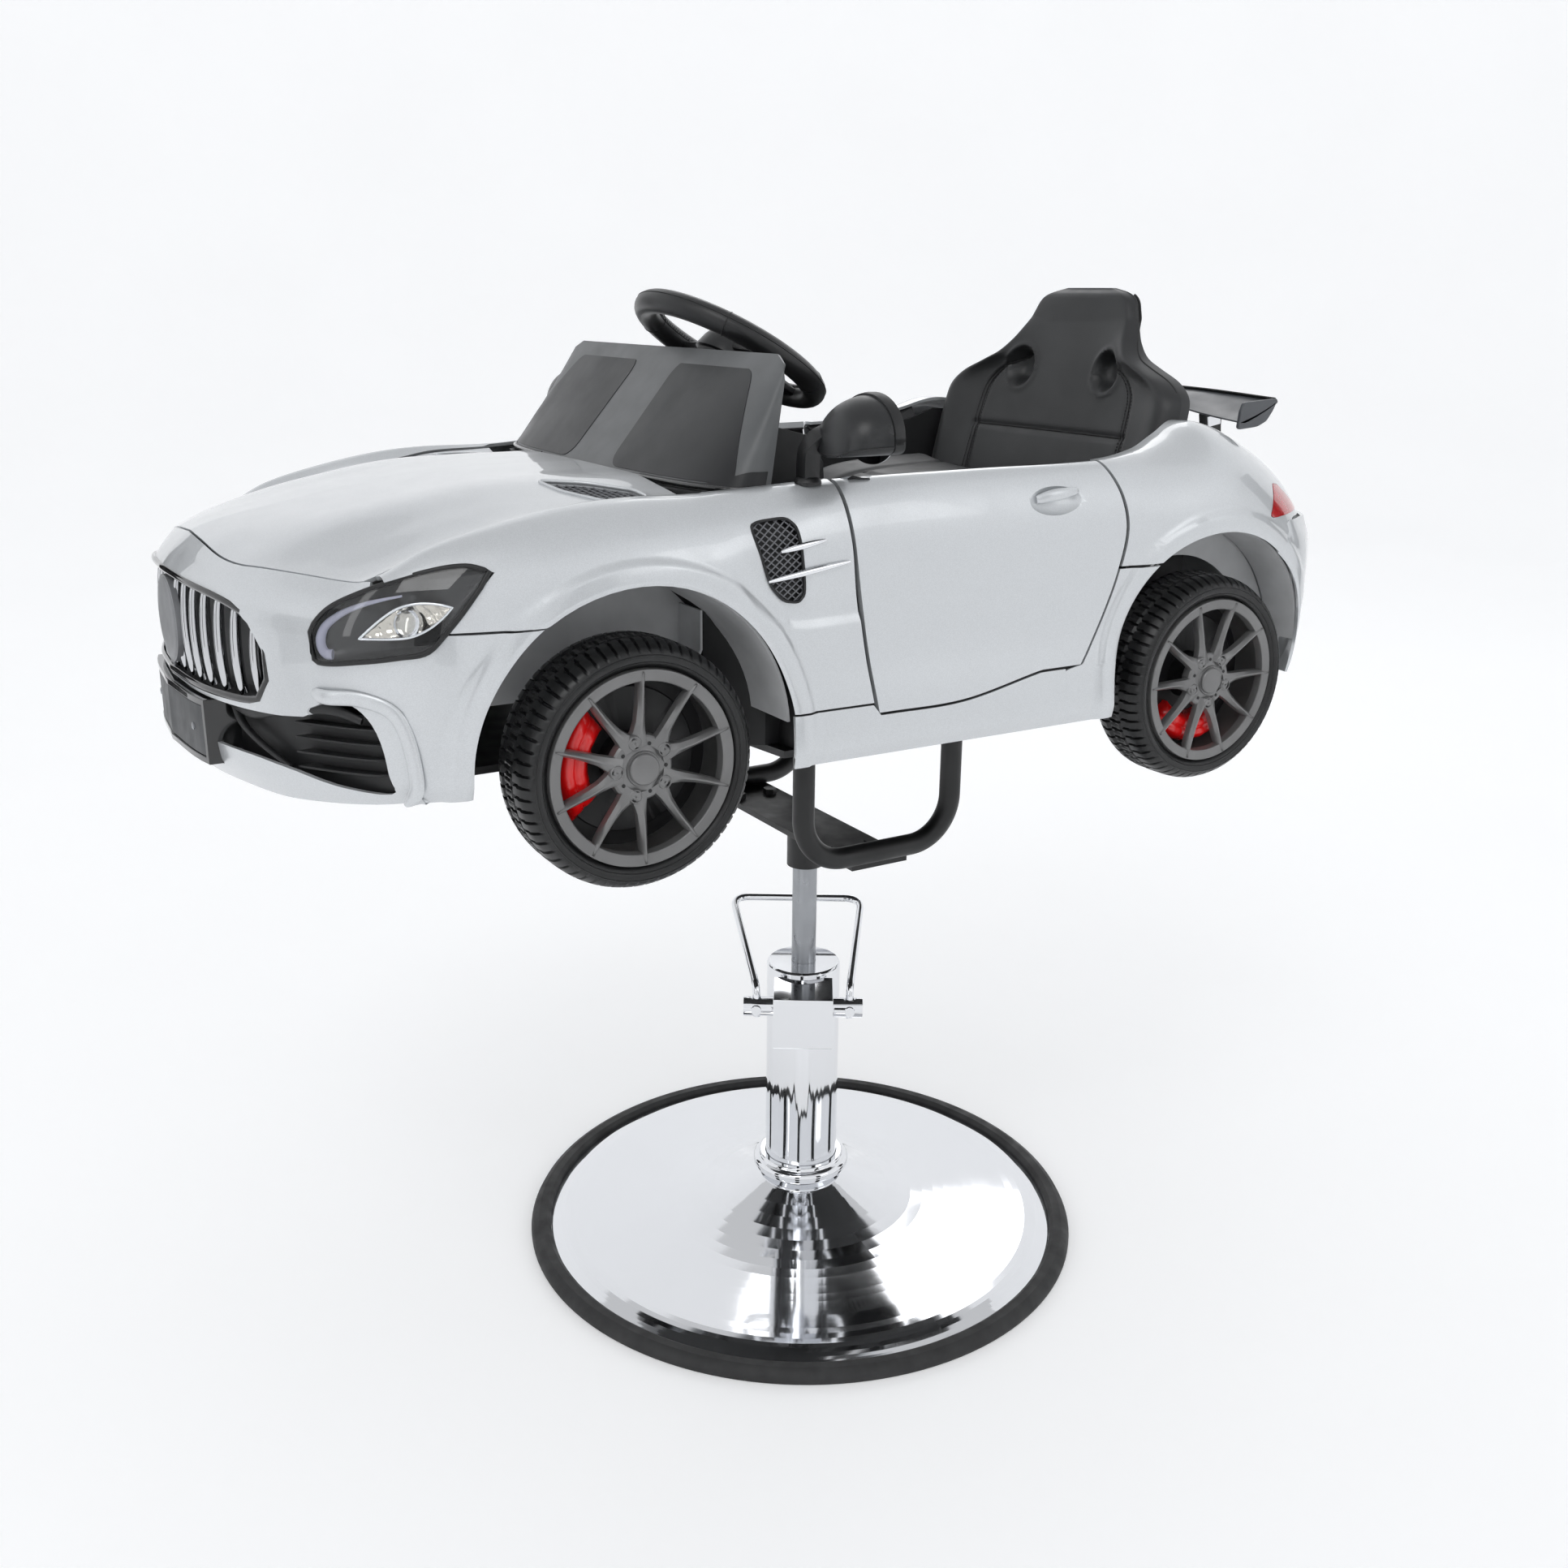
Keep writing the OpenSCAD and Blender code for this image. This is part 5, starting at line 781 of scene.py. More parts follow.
tail_lamp_t = [(0.886, 0.735), (0.907, 0.87), (0.92, 0.86), (0.955, 0.75)]


def grille_outline(grow, n=16):
    top = [(k + grow * (k > 0.4), curve(k, grille_top_t) + grow) for k in [0.567 * i / n for i in range(n + 1)]]
    low = [(k + grow * (k > 0.4), curve(k, grille_low_t) - grow) for k in [0.567 * i / n for i in range(n, -1, -1)]]
    return clean(both(top + low))


def opening_outline():
    pts = smooth_path([(k, h, 0) for k, h in opening_t], 4)
    return clean(both([(max(p.x, 0), p.y) for p in pts]))


def rounded(outline, share=0.25, n=4):
    """Rounds the corners of a closed outline."""
    out = []
    m = len(outline)
    for i in range(m):
        a, b, c = Vector(outline[i - 1]), Vector(outline[i]), Vector(outline[(i + 1) % m])
        p, q = b.lerp(a, share), b.lerp(c, share)
        for k in range(n + 1):
            t = k / n
            out.append(tuple(p * (1 - t)**2 + b * 2 * t * (1 - t) + q * t * t))
    return out


# Lamp frame
LAMP_N = Vector((0.62, -0.74, 0.26)).normalized()
LAMP_A = Vector((0, 0, 1)).cross(LAMP_N).normalized()
LAMP_U = LAMP_N.cross(LAMP_A)
LAMP_P = Vector((HALF * 0.815, NOSE + HALF * 0.4, lift(0.64)))
LAMP_W, LAMP_LEFT = 121.0, -0.467


def lamp_rise(a, b):
    return LAMP_W * (0.116 - 0.207 * a - 0.42 * a * a + 0.27 * a * b - 0.77 * b * b)


def lamp_at(a, b, depth):
    return tuple(LAMP_P + LAMP_W * (a * LAMP_A + b * LAMP_U) + (lamp_rise(a, b) - depth) * LAMP_N)


def lamp_point(t, v, depth, scale):
    """A place in the headlamp's outline: t runs from its inner end to the rear tip, v from the foot to the top."""
    k = 0.015 + t * 0.97
    top, low = curve(k, lamp_top_t), curve(k, lamp_low_t)
    return lamp_at((LAMP_LEFT + k) * scale, lerp((top + low) / 2, lerp(low, top, v), scale), depth)


def bowl_at(t, v):
    return 2.7 + 22 * max(math.sin(math.pi * v) * math.sin(math.pi * t), 0)**0.45


def lamp_cutter(name):
    n = 28
    up = [(LAMP_W * (LAMP_LEFT + i / n), LAMP_W * curve(i / n, lamp_top_t)) for i in range(n + 1)]
    dn = [(LAMP_W * (LAMP_LEFT + i / n), LAMP_W * curve(i / n, lamp_low_t)) for i in range(n - 1, 0, -1)]
    return prism(name, clean(up + dn), -LAMP_W * 0.35, LAMP_W * 0.35,
                 lambda u, v, w: tuple(LAMP_P + u * LAMP_A + v * LAMP_U + w * LAMP_N))


# Front bumper
bumper_low_t = [(0, 0.0), (0.35, 0.01), (0.6, 0.0), (0.8, 0.015), (0.92, 0.04)]
bumper_inset_t = [(0, 0.045), (0.1, 0.02), (0.3, 0.012), (0.55, 0.006), (0.8, 0), (1, 0)]
bumper_roll_t = [(0.8, 0), (0.86, 0.14), (0.93, 0.5), (1, 1)]
NOSE_CORNER, HOOD_CORNER, LINE = 0.865, 0.78 * HALF, 0.9


def hood_line_h(x):
    return hood_h(along(hood_cut_y(x)), abs(x) / crown_x(0.1))


def nose_top(x):
    if abs(x) <= HOOD_CORNER:
        return hood_line_h(x)
    return lerp(hood_line_h(HOOD_CORNER), SPLIT, (abs(x) - HOOD_CORNER) / (NOSE_CORNER * HALF - HOOD_CORNER))


def nose_point(k, v):
    """A place on the nose: k is the share of the half width, v runs from the lower edge to the hood."""
    x, w = k * HALF, abs(k)
    h = lerp(curve(w, bumper_low_t), nose_top(x) - LINE / BODY_H, v)
    fade = 1 - max(0, (w - 0.78) / (NOSE_CORNER - 0.78))
    inset, roll = HALF * curve(v, bumper_inset_t), fade * curve(v, bumper_roll_t)
    dy = nose_plan_y(abs(x) + 1) - nose_plan_y(abs(x))
    n = Vector((-dy * sgn(x), 1)).normalized()
    return (x + n[0] * inset, lerp(nose_plan_y(x) + n[1] * inset, hood_cut_y(x) - LINE, roll), lift(h))


def corner_point(r, v, way):
    """A place on the bumper's side, r from the nose to the wheel arch."""
    h = lerp(curve(lerp(0.865, 0.92, r), bumper_low_t), SPLIT - 1.6 / BODY_H, v)
    y0, y1 = nose_plan_y(NOSE_CORNER * HALF), arch_y(AXLE_F, lift(h), -1)
    y = lerp(y0, y1, r)
    p = arch_band((nose_plan_x(y) - HALF * curve(v, bumper_inset_t), y, lift(h)), AXLE_F)
    return (way * p[0], p[1], p[2])


def nose_band(name, x0, x1, front, back, low, high, n=8):
    xs = [lerp(x0, x1, i / n) for i in range(n + 1)]
    outline = [(x, nose_plan_y(x) + front) for x in xs] + [(x, nose_plan_y(x) + back) for x in reversed(xs)]
    return prism(name, outline, low, high)


PLATE_Z, PLATE_W, PLATE_H, INSERT_IN = lift(0.06), 176.0, 50.0, 22.35


def holder_block(name, grow, front, back):
    w = PLATE_W / 2 + grow
    return nose_band(name, -w, w, front, back, PLATE_Z - grow, PLATE_Z + PLATE_H + grow, 12)


def make_bumper():
    rows = refine([0, 0.12, 0.3, 0.5, 0.68, 0.8, 0.86, 0.93, 1], 4)
    noses = [NOSE_CORNER * sind(90 * t * 0.98) for t in steps(30)]
    corners = refine([0.16, 0.36, 0.58, 0.79, 1], 4)
    grid = [[corner_point(r, v, -1) for r in reversed(corners)] + [nose_point(-k, v) for k in reversed(noses[1:])]
            + [nose_point(k, v) for k in noses] + [corner_point(r, v, 1) for r in corners] for v in rows]
    body = skin("front_bumper_panel", grid, SKIN)
    lamp = lamp_cutter("c3")
    cut(body, [through_front("c1", grille_outline(0)), through_front("c2", opening_outline()), lamp,
               mirrored(lamp, "c4"), holder_block("c5", SEAT_GAP, -6, INSERT_IN - SEAT_GAP)])
    dress(edge(body, 0.9), PAINT, "car", ["front_bumper"])
    # Blade round the outer side of each side intake
    for way, side in ((1, "left"), (-1, "right")):
        pts = [(185, -527, 686), (201, -521, 685), (218, -503, 685), (231, -486, 678), (236.5, -478, 664),
               (239.5, -473.5, 641), (240, -473, 620), (235, -480, 609)]
        path = smooth_path([(way * x, y, z) for x, y, z in pts], 8)
        n = len(path)
        r = [5.6 * min(1, 0.25 + 2.6 * math.sin(math.pi * i / (n - 1))) for i in range(n)]
        blade = tube(side + "_intake_blade", path, r, 14, flat=0.42, up=(way * 0.2, 0, 1))
        dress(blade, PAINT, "car")


# Hood, with a raised frame and lattice in each vent
def hood_point(q, r):
    y0 = hood_cut_y(q * curve(0.1, hood_edge_t) * crown_x(0.1)) + LINE / 2
    y = lerp(y0, y_at(0.338), r)
    s = along(y)
    k = q * curve(max(s, 0.095), hood_edge_t)
    return (k * crown_x(max(s, 0.095)), y, lift(hood_h(s, k)))


def hood_surface(x, y, up=0.0):
    s = along(y)
    return (x, y, lift(hood_h(s, x / crown_x(max(s, 0.095)))) + up)


def inside(p, outline):
    x, y = p
    hit = False
    for i in range(len(outline)):
        (x0, y0), (x1, y1) = outline[i - 1], outline[i]
        if (y0 > y) != (y1 > y) and x < (x1 - x0) * (y - y0) / (y1 - y0) + x0:
            hit = not hit
    return hit


def lattice(name, outline, pitch, slopes, place, r):
    """Crossing bars inside an outline, laid on the surface that place gives."""
    xs, ys = [p[0] for p in outline], [p[1] for p in outline]
    cx, cy = (min(xs) + max(xs)) / 2, (min(ys) + max(ys)) / 2
    size = math.hypot(max(xs) - min(xs), max(ys) - min(ys)) / 2 + pitch
    verts, faces = [], []
    for which, ang in enumerate(slopes):
        d = Vector((cosd(ang), sind(ang)))
        s = Vector((-d.y, d.x))
        for i in range(-int(size / pitch), int(size / pitch) + 1):
            run = []
            n = int(2 * size / 1.6)
            for k in range(n + 2):
                p = Vector((cx, cy)) + s * i * pitch + d * (k * 1.6 - size)
                if k <= n and inside((p.x, p.y), outline):
                    run.append(Vector(place(p.x, p.y, which * r * 0.7)))
                    continue
                if len(run) > 1:
                    for j, q in enumerate(run):
                        t = (run[min(j + 1, len(run) - 1)] - run[max(j - 1, 0)]).normalized()
                        nrm = (Vector(place(0, 0, None)) - t * t.dot(Vector(place(0, 0, None)))).normalized()
                        w = t.cross(nrm)
                        for e in range(4):
                            a = math.pi / 2 * e + math.pi / 4
                            verts.append(tuple(q + r * (math.cos(a) * w + math.sin(a) * nrm)))
                        if j:
                            b = len(verts) - 8
                            for e in range(4):
                                faces.append((b + e, b + (e + 1) % 4, b + 4 + (e + 1) % 4, b + 4 + e))
                run = []
    return mesh_object(name, verts, faces)


def make_hood():
    rs = refine([0, 0.05, 0.12, 0.22, 0.34, 0.46, 0.58, 0.7, 0.85, 1], 5)
    grid = [[hood_point(-1 + i / 44, r) for i in range(89)] for r in rs]
    body = skin("hood_panel", grid, SKIN)
    outline = rounded([(k * HALF, y_at(s)) for k, s in vent_t], 0.3, 3)
    cut(body, [prism("v1", outline, lift(0.8), lift(1.2)),
               prism("v2", [(-x, y) for x, y in outline], lift(0.8), lift(1.2))])
    dress(edge(body, 0.9), PAINT, "car", ["hood"])
    for way, side in ((1, "left"), (-1, "right")):
        path = [hood_surface(way * x, y, 0.3) for x, y in rounded([(k * HALF, y_at(s)) for k, s in vent_t], 0.3, 8)]
        rim = tube(side + "_hood_vent_frame", path, 1.7, 10, True, 0.7, (0, 0, 1))
        dress(rim, PAINT, "car")
        net = lattice(side + "_hood_vent_lattice", [(way * x, y) for x, y in outline], 5.2, (12, 78),
                      lambda x, y, w: (0, 0, 1) if w is None else hood_surface(x, y, -2.6 - w), 0.75)
        dress(net, MESH_MAT, "car")


# Fenders
def split_row(y, axle):
    return max(arch_low(y, axle), SPLIT)


def fender_low(y):
    return split_row(y, AXLE_F) if y < AXLE_F else max(arch_low(y, AXLE_F), SKIRT_SEAM)


scoop_path = [(-231, 752), (-222, 737), (-210, 724), (-194, 714.5), (-172, 710.5), (-146, 710.5), (-118, 711)]


def scoop(p):
    """A shallow hollow behind the wheel, whose lower edge stands as a crease."""
    x, y, z = p
    if x < 200 or not (-240 < y < -110 and 700 < z < 800):
        return p
    low = curve(y, scoop_path)
    depth = soft_step(z - low, 0.0, 7.0) * (1 - soft_step(z - low, 12, 62)) * soft_step(y, -238, -214)
    return (x - 2.4 * depth, y, z)


def make_fenders():
    arch = [AXLE_F + ARCH_R * cosd(a) for a in refine([124, 91, 58, 36, 25, 15, 8], 6)]
    front = NOSE + HALF * 0.38
    end = arch[-1]
    n = 64
    rows = [panel_row(y, curve(along(y), fender_edge_t), fender_low(y), n)
            for y in [lerp(front, arch[0], t * 0.97) for t in steps(18)] + arch]
    for r in steps(22)[1:]:
        rows.append(panel_row(end, curve(lerp(along(end), 0.4405, r), fender_edge_t), SKIRT_SEAM, n,
                              lambda h, r=r: r * (door_front_y(h) - GAP - end)))
    body = skin("left_fender_panel", [[scoop(p) for p in row] for row in banded(rows, AXLE_F)], SKIN)
    vent = rounded([(y_at(s), lift(h)) for s, h in side_vent_t], 0.32, 4)
    cut(body, [lamp_cutter("f1"), through_side("f2", vent, HALF * 0.8, HALF * 1.2)])
    edge(body, 0.9)
    pair(body, PAINT, "left_fender")

    def flank(y, z, out=0.0):
        return (flank_x(along(y), (z - SILL) / BODY_H) + out, y, z)
    net = lattice("left_fender_vent_lattice", vent, 4.6, (38, 142),
                  lambda y, z, w: (1, 0, 0) if w is None else flank(y, z, -1.9 - w), 0.62)
    pair(net, MESH_MAT)
    rim = tube("left_fender_vent_frame", [flank(y, z, -0.6) for y, z in vent], 1.5, 8, True, 0.8, (1, 0, 0))
    pair(rim, TRIM)
    # Two bright strips that run from the vent to the door
    parts = []
    for (y0, z0), (y1, z1) in (((-192, 771), (-151, 777)), ((-203, 749.5), (-129, 759))):
        path = [flank(lerp(y0, y1, t), lerp(z0, z1, t), 1.2) for t in steps(14)]
        r = [0.5 + 2.0 * math.sin(math.pi * (0.04 + 0.92 * i / 14))**0.7 for i in range(15)]
        parts.append(tube("strip", path, r, 10, flat=0.6, up=(0, 0, 1)))
    strips = join("left_fender_strips", parts)
    pair(strips, CHROME, "fender_strips")
    # Liners inside the arches
    for tag, axle, a0, a1 in (("front", AXLE_F, 4, 176), ("rear", AXLE_R, 6, 170)):
        g = []
        for a in refine([a0, a1], 40):
            r = ARCH_R - 0.2
            y, z = axle + r * cosd(a), ARCH_Z + r * sind(a)
            s, h = along(y), (z - SILL) / BODY_H
            edge_x = min(flank_x(s, min(max(h, 0), crown_z(s) - 0.02)), 266) - 6
            deep = lerp(150, 187, soft_step(y, -236, -214)) if tag == "front" else 212
            g.append([(x, y, z) for x in refine([edge_x, deep], 6)])
        out = 1.018
        inner = [[(x, axle + (y - axle) * out, ARCH_Z + (z - ARCH_Z) * out) for x, y, z in row] for row in g]
        liner = between("left_%s_liner" % tag, g, inner)
        x0, r0 = (150, 0) if tag == "front" else (209, 99)
        ring = [[(x0, axle + r * cosd(a), ARCH_Z + max(r * sind(a), 22))
                 for r in refine([r0, ARCH_R + 1], 8)] for a in refine([a0 + 6, a1 - 6], 40)]
        well = between("w", ring, [[(q[0] - 2, q[1], q[2]) for q in row] for row in ring])
        walls = [liner, well]
        if tag == "front":
            corner = [(148, 640), (176, 640), (176, 668), (187, 684), (187, 716), (148, 716)]
            walls.append(prism("p", corner, -219, -217, lambda u, v, w: (u, w, v)))
        liner = join("left_%s_liner" % tag, walls)
        sharpen(liner, 35)
        pair(liner, LINER)


# Doors with a dark card inside
def door_point(a, b):
    y0 = y_at(lerp(0.4525, 0.70, a))
    low = curve(along(y0), door_low_t)
    h = lerp(low, crown_z(along(y0)), sind(90 * b))
    y = lerp(door_front_y(h), door_rear_y(h), a)
    return flank_point(y, min(h, crown_z(along(y))))


HANDLE = (flank_x(0.641, 0.89), y_at(0.641), lift(0.89))
HINGE_LOW, HINGE_TOP = Vector((259.76, -97.4306, 645.8)), Vector((248.394, -120.653, 805.67))
HINGE_WAY = (HINGE_TOP - HINGE_LOW).normalized()


def make_doors():
    bs = [1 - t for t in steps(36)]
    grid = [[door_point(a, b) for b in bs] for a in steps(36)]
    body = between("left_door_panel", grid, shifted(grid, 6.2))
    hx, hy, hz = HANDLE
    bm = bmesh.new()
    bmesh.ops.create_uvsphere(bm, u_segments=48, v_segments=24, radius=1)
    me = bpy.data.meshes.new("h")
    bm.to_mesh(me)
    bm.free()
    size = Matrix.Diagonal((12 * MM, 34 * MM, 16.5 * MM, 1))
    me.transform(Matrix.Translation(Vector((hx + 7.5, hy, hz)) * MM) @ size)
    cut(body, [link(bpy.data.objects.new("h", me))], sharp=28)
    edge(body, 1.0)
    path = smooth_path([(hx - 1.4, hy - 19, hz - 2.0), (hx + 1.0, hy - 6, hz + 0.8),
                        (hx + 1.7, hy + 8, hz + 2.2), (hx + 0.2, hy + 24, hz + 3.6)], 10)
    thick = [1.5 + 3.6 * math.sin(math.pi * min(1, 0.08 + 0.9 * i / 30))**0.6 for i in range(31)]
    pull = tube("left_door_handle", path, thick, 14, flat=0.55, up=(0, 0, 1))
    card = between("left_door_card", shifted(grid, 6.4), shifted(grid, 7.9))
    barrels = []
    for place in (0.10, 0.80):
        base = HINGE_LOW.lerp(HINGE_TOP, place) + HINGE_WAY * 7.3
        u = HINGE_WAY.orthogonal().normalized()
        v = HINGE_WAY.cross(u)
        barrels.append(lathe("b", [(3.08, 0), (4.9, 0), (5.5, 0.6), (5.5, 17.4), (4.9, 18), (3.08, 18)],
                             lambda a, b, w, o=base, u=u, v=v: tuple(o + a * u + b * v + w * HINGE_WAY), 32))
    hinge = join("left_door_hinges", barrels)
    pair(body, PAINT, "left_door", "left_door")
    pair(pull, PAINT, body="left_door")
    pair(card, TUB, body="left_door")
    pair(hinge, TRIM, body="left_door")


# Skirts, quarters, deck and tail
def door_foot(y):
    """Share of the body height at which the door ends above the place y."""
    a, b = 0.0, 1.0
    for _ in range(24):
        m = (a + b) / 2
        low = curve(lerp(0.4525, 0.70, m), door_low_t)
        a, b = (m, b) if lerp(door_front_y(low), door_rear_y(low), m) < y else (a, m)
    return curve(lerp(0.4525, 0.70, a), door_low_t)


def skirt_top(y):
    if y < door_front_y(0.2) - GAP:
        return SKIRT_SEAM - GAP / BODY_H * 0.5
    return door_foot(y) - 2.2 / BODY_H


def make_skirts():
    ys = refine([AXLE_F + ARCH_R * cosd(a) for a in (8, 5.5)]
                + [y_at(s) for s in (0.415, 0.445, 0.4575, 0.461, 0.5, 0.55, 0.6, 0.652)], 6)
    rows = [[flank_point(y, max(0, skirt_top(y) * t)) for t in refine([1, 0], 24)] for y in ys]
    a = skin("skirt_a", banded(rows, AXLE_F), SKIN)
    post = []
    for r in steps(10):
        row = []
        for h in refine([0.59, 0.45, 0.3, 0.24, 0.212, 0.12, 0.05, 0.0], 5):
            front = lerp(y_at(0.652), door_rear_y(h) + 2.6, soft_step(h, 0.216, 0.236))
            y = lerp(front, arch_y(AXLE_R, lift(h), -1), r)
            row.append(flank_point(y, h))
        post.append(row)
    b = skin("skirt_b", banded(post, AXLE_R), SKIN)
    both_parts = join("left_skirt", [a, b])
    sharpen(both_parts, 35)
    edge(both_parts, 0.8)
    pair(both_parts, PAINT, "side_skirts")


rear_arch = [AXLE_R + ARCH_R * cosd(a) for a in refine([124.5, 100, 76, 54.5], 9)]


def seam_low(y):
    if y < rear_arch[0]:
        return SPLIT
    if y < rear_arch[-1]:
        return arch_low(y, AXLE_R)
    return lerp(arch_low(rear_arch[-1], AXLE_R), TAIL_SEAM, min(1, (y - rear_arch[-1]) / (ARCH_R * 0.25)))


def quarter_top(s):
    return curve(s, [(0.7, 0.972), (0.80, 0.955), (0.83, 0.93)]) if s < 0.83 else 0.93


def make_quarters():
    end = y_at(0.983)
    rows = []
    for r in (1, 0.8, 0.6, 0.4, 0.2):
        y = rear_arch[0]
        rows.append(panel_row(y, quarter_top(along(y)), seam_low(y), 36,
                              lambda h, r=r: r * (door_rear_y(h) + GAP - rear_arch[0])))
    for y in rear_arch + [lerp(rear_arch[-1], end, t) for t in steps(26)[1:]]:
        rows.append(panel_row(y, quarter_top(along(y)), seam_low(y), 36))
    body = skin("left_quarter_panel", banded(rows, AXLE_R), SKIN)
    lamp = rounded([(y_at(s), lift(h)) for s, h in tail_lamp_t], 0.16, 4)
    cut(body, [through_side("q1", lamp, HALF * 0.6, HALF * 1.1)])
    edge(body, 0.9)
    pair(body, PAINT, "left_quarter")
    mid = (y_at(0.915), lift(0.8))
    small = [(y + (mid[0] - y) * 0.02 + 0.3 * sgn(mid[0] - y), z + 0.3 * sgn(mid[1] - z)) for y, z in lamp]
    g = [[flank_point(y_at(a), min(h, crown_z(a) - 0.01)) for h in refine([0.9, 0.72], 20)]
         for a in refine([0.87, 0.97], 24)]
    lens = skin("left_tail_lamp", [[(p[0] + 0.5, p[1], p[2]) for p in row] for row in g], SKIN * 1.6)
    cut(lens, [through_side("q2", small, HALF * 0.55, HALF * 1.1)], "INTERSECT")
    edge(lens, 1.0, 3)
    pair(lens, RED, "tail_lamps")


def make_deck():
    edge_t = [(0, 0.893), (0.4, 0.89), (0.7, 0.881), (0.93, 0.864)]
    grid = []
    for r in steps(36):
        row = []
        for i in range(81):
            k = (-1 + i / 40) * 0.925
            s = lerp(curve(abs(k), edge_t), 0.983, r)
            row.append((k * crown_x(s), y_at(s), lift(deck_h(s, k))))
        grid.append(row)
    body = skin("rear_deck_panel", grid, SKIN)
    dress(edge(body, 1.0), PAINT, "car", ["rear_deck"])


tail_plan_t = [(0, 0), (0.54, 0.011), (0.72, 0.04), (0.81, 0.08), (0.87, 0.13)]
tail_corner_t = [(0.13, 0.87), (0.19, 0.91), (0.28, 0.945), (0.40, 0.962), (0.60, 0.968)]
tail_inset_t = [(0, 0.06), (0.15, 0.03), (0.35, 0.012), (0.6, 0), (0.85, 0.006), (1, 0.03)]
tail_low_t = [(0, 0.04), (0.6, 0.03), (1, 0.005)]


def tail_plan_y(x):
    return TAIL - HALF * curve(abs(x) / HALF, tail_plan_t)


def tail_plan_x(y):
    return HALF * curve((TAIL - y) / HALF, tail_corner_t)


def tail_top(k):
    e = 0.983
    q, cz, sz = k * HALF / crown_x(e), crown_z(e), curve(e, shoulder_z_t)
    cx, sx = crown_x(e) / HALF, curve(e, shoulder_x_t)
    if q < 1:
        return deck_h(e, q)
    return max(TAIL_SEAM, sz + (cz - sz) * math.sqrt(max(0, 1 - min(1, (k - cx) / (sx - cx))**2)))


def tail_point(k, v):
    w = abs(k)
    h = lerp(curve(w, tail_low_t), tail_top(w) - 1.6 / BODY_H, v)
    inset = HALF * curve(v, tail_inset_t)
    back = (TAIL - y_at(0.983)) * min(max((v - 0.86) / 0.14, 0), 1)**1.6
    return (k * HALF * (1 - inset / HALF * 0.5), min(tail_plan_y(k * HALF) - inset, TAIL - back), lift(h))


def tail_corner_point(r, v, way):
    """A place on the rear bumper's side, r from the tail to the wheel arch, under the quarter's seam."""
    y0 = tail_plan_y(0.87 * HALF)
    h = lerp(0.03, seam_low(lerp(y0, rear_arch[-1], r)) - 1.6 / BODY_H, v)
    y1 = arch_y(AXLE_R, lift(h), 1)
    y, inset = lerp(y0, max(y1, AXLE_R + ARCH_R * 0.46), r), HALF * curve(v, tail_inset_t)
    p = arch_band((tail_plan_x(y) - inset * (1 - 0.5 * r), y - inset * (1 - r), lift(h)), AXLE_R)
    return (way * p[0], p[1], p[2])


def make_tail():
    rows = refine([0, 0.15, 0.35, 0.6, 0.85, 1], 7)
    ks = [0.87 * sind(90 * t * 0.98) for t in steps(28)]
    corners = refine([0.16, 0.36, 0.58, 0.79, 1], 4)
    grid = [[tail_corner_point(r, v, 1) for r in reversed(corners)] + [tail_point(k, v) for k in reversed(ks[1:])]
            + [tail_point(-k, v) for k in ks] + [tail_corner_point(r, v, -1) for r in corners] for v in rows]
    body = skin("rear_bumper_panel", grid, SKIN)
    dress(edge(body, 0.9), PAINT, "car", ["rear_bumper"])
    # Dark lower panel with fins, and a bare recess above it
    g = [[tail_point(k, v) for k in refine([0.56, -0.56], 40)] for v in refine([0.03, 0.36], 12)]
    low = between("rear_lower_panel", shifted(g, -1.1), shifted(g, 0.6))
    parts = [low]
    for k in (-0.36, -0.18, 0, 0.18, 0.36):
        line = [Vector(tail_point(k, v)) for v in refine([0.04, 0.30], 8)]
        n = len(line)
        thick = [2.4 - 0.8 * i / (n - 1) for i in range(n)]
        parts.append(tube("fin", [p + Vector((0, 0.6, 0)) for p in line], thick, 10, flat=1.5, up=(1, 0, 0)))
    dark = join("rear_lower_panel", parts)
    sharpen(dark, 40)
    dress(edge(dark, 0.7), TRIM, "car")
    g = [[tail_point(k, v) for k in refine([0.30, -0.30], 24)] for v in refine([0.46, 0.66], 8)]
    plate = between("rear_plate", shifted(g, -1.2), shifted(g, 0.4))
    dress(edge(plate, 0.8), PLATE_MAT, "car")


make_bumper()
make_hood()
make_fenders()
make_doors()
make_skirts()
make_quarters()
make_deck()
make_tail()


# Front: grille, insert and lamps
def behind_nose(way, points, per):
    """A line from places (x, depth behind the nose line, share of the body height)."""
    return smooth_path([(way * x, nose_plan_y(x) + deep, lift(h)) for x, deep, h in points], per)


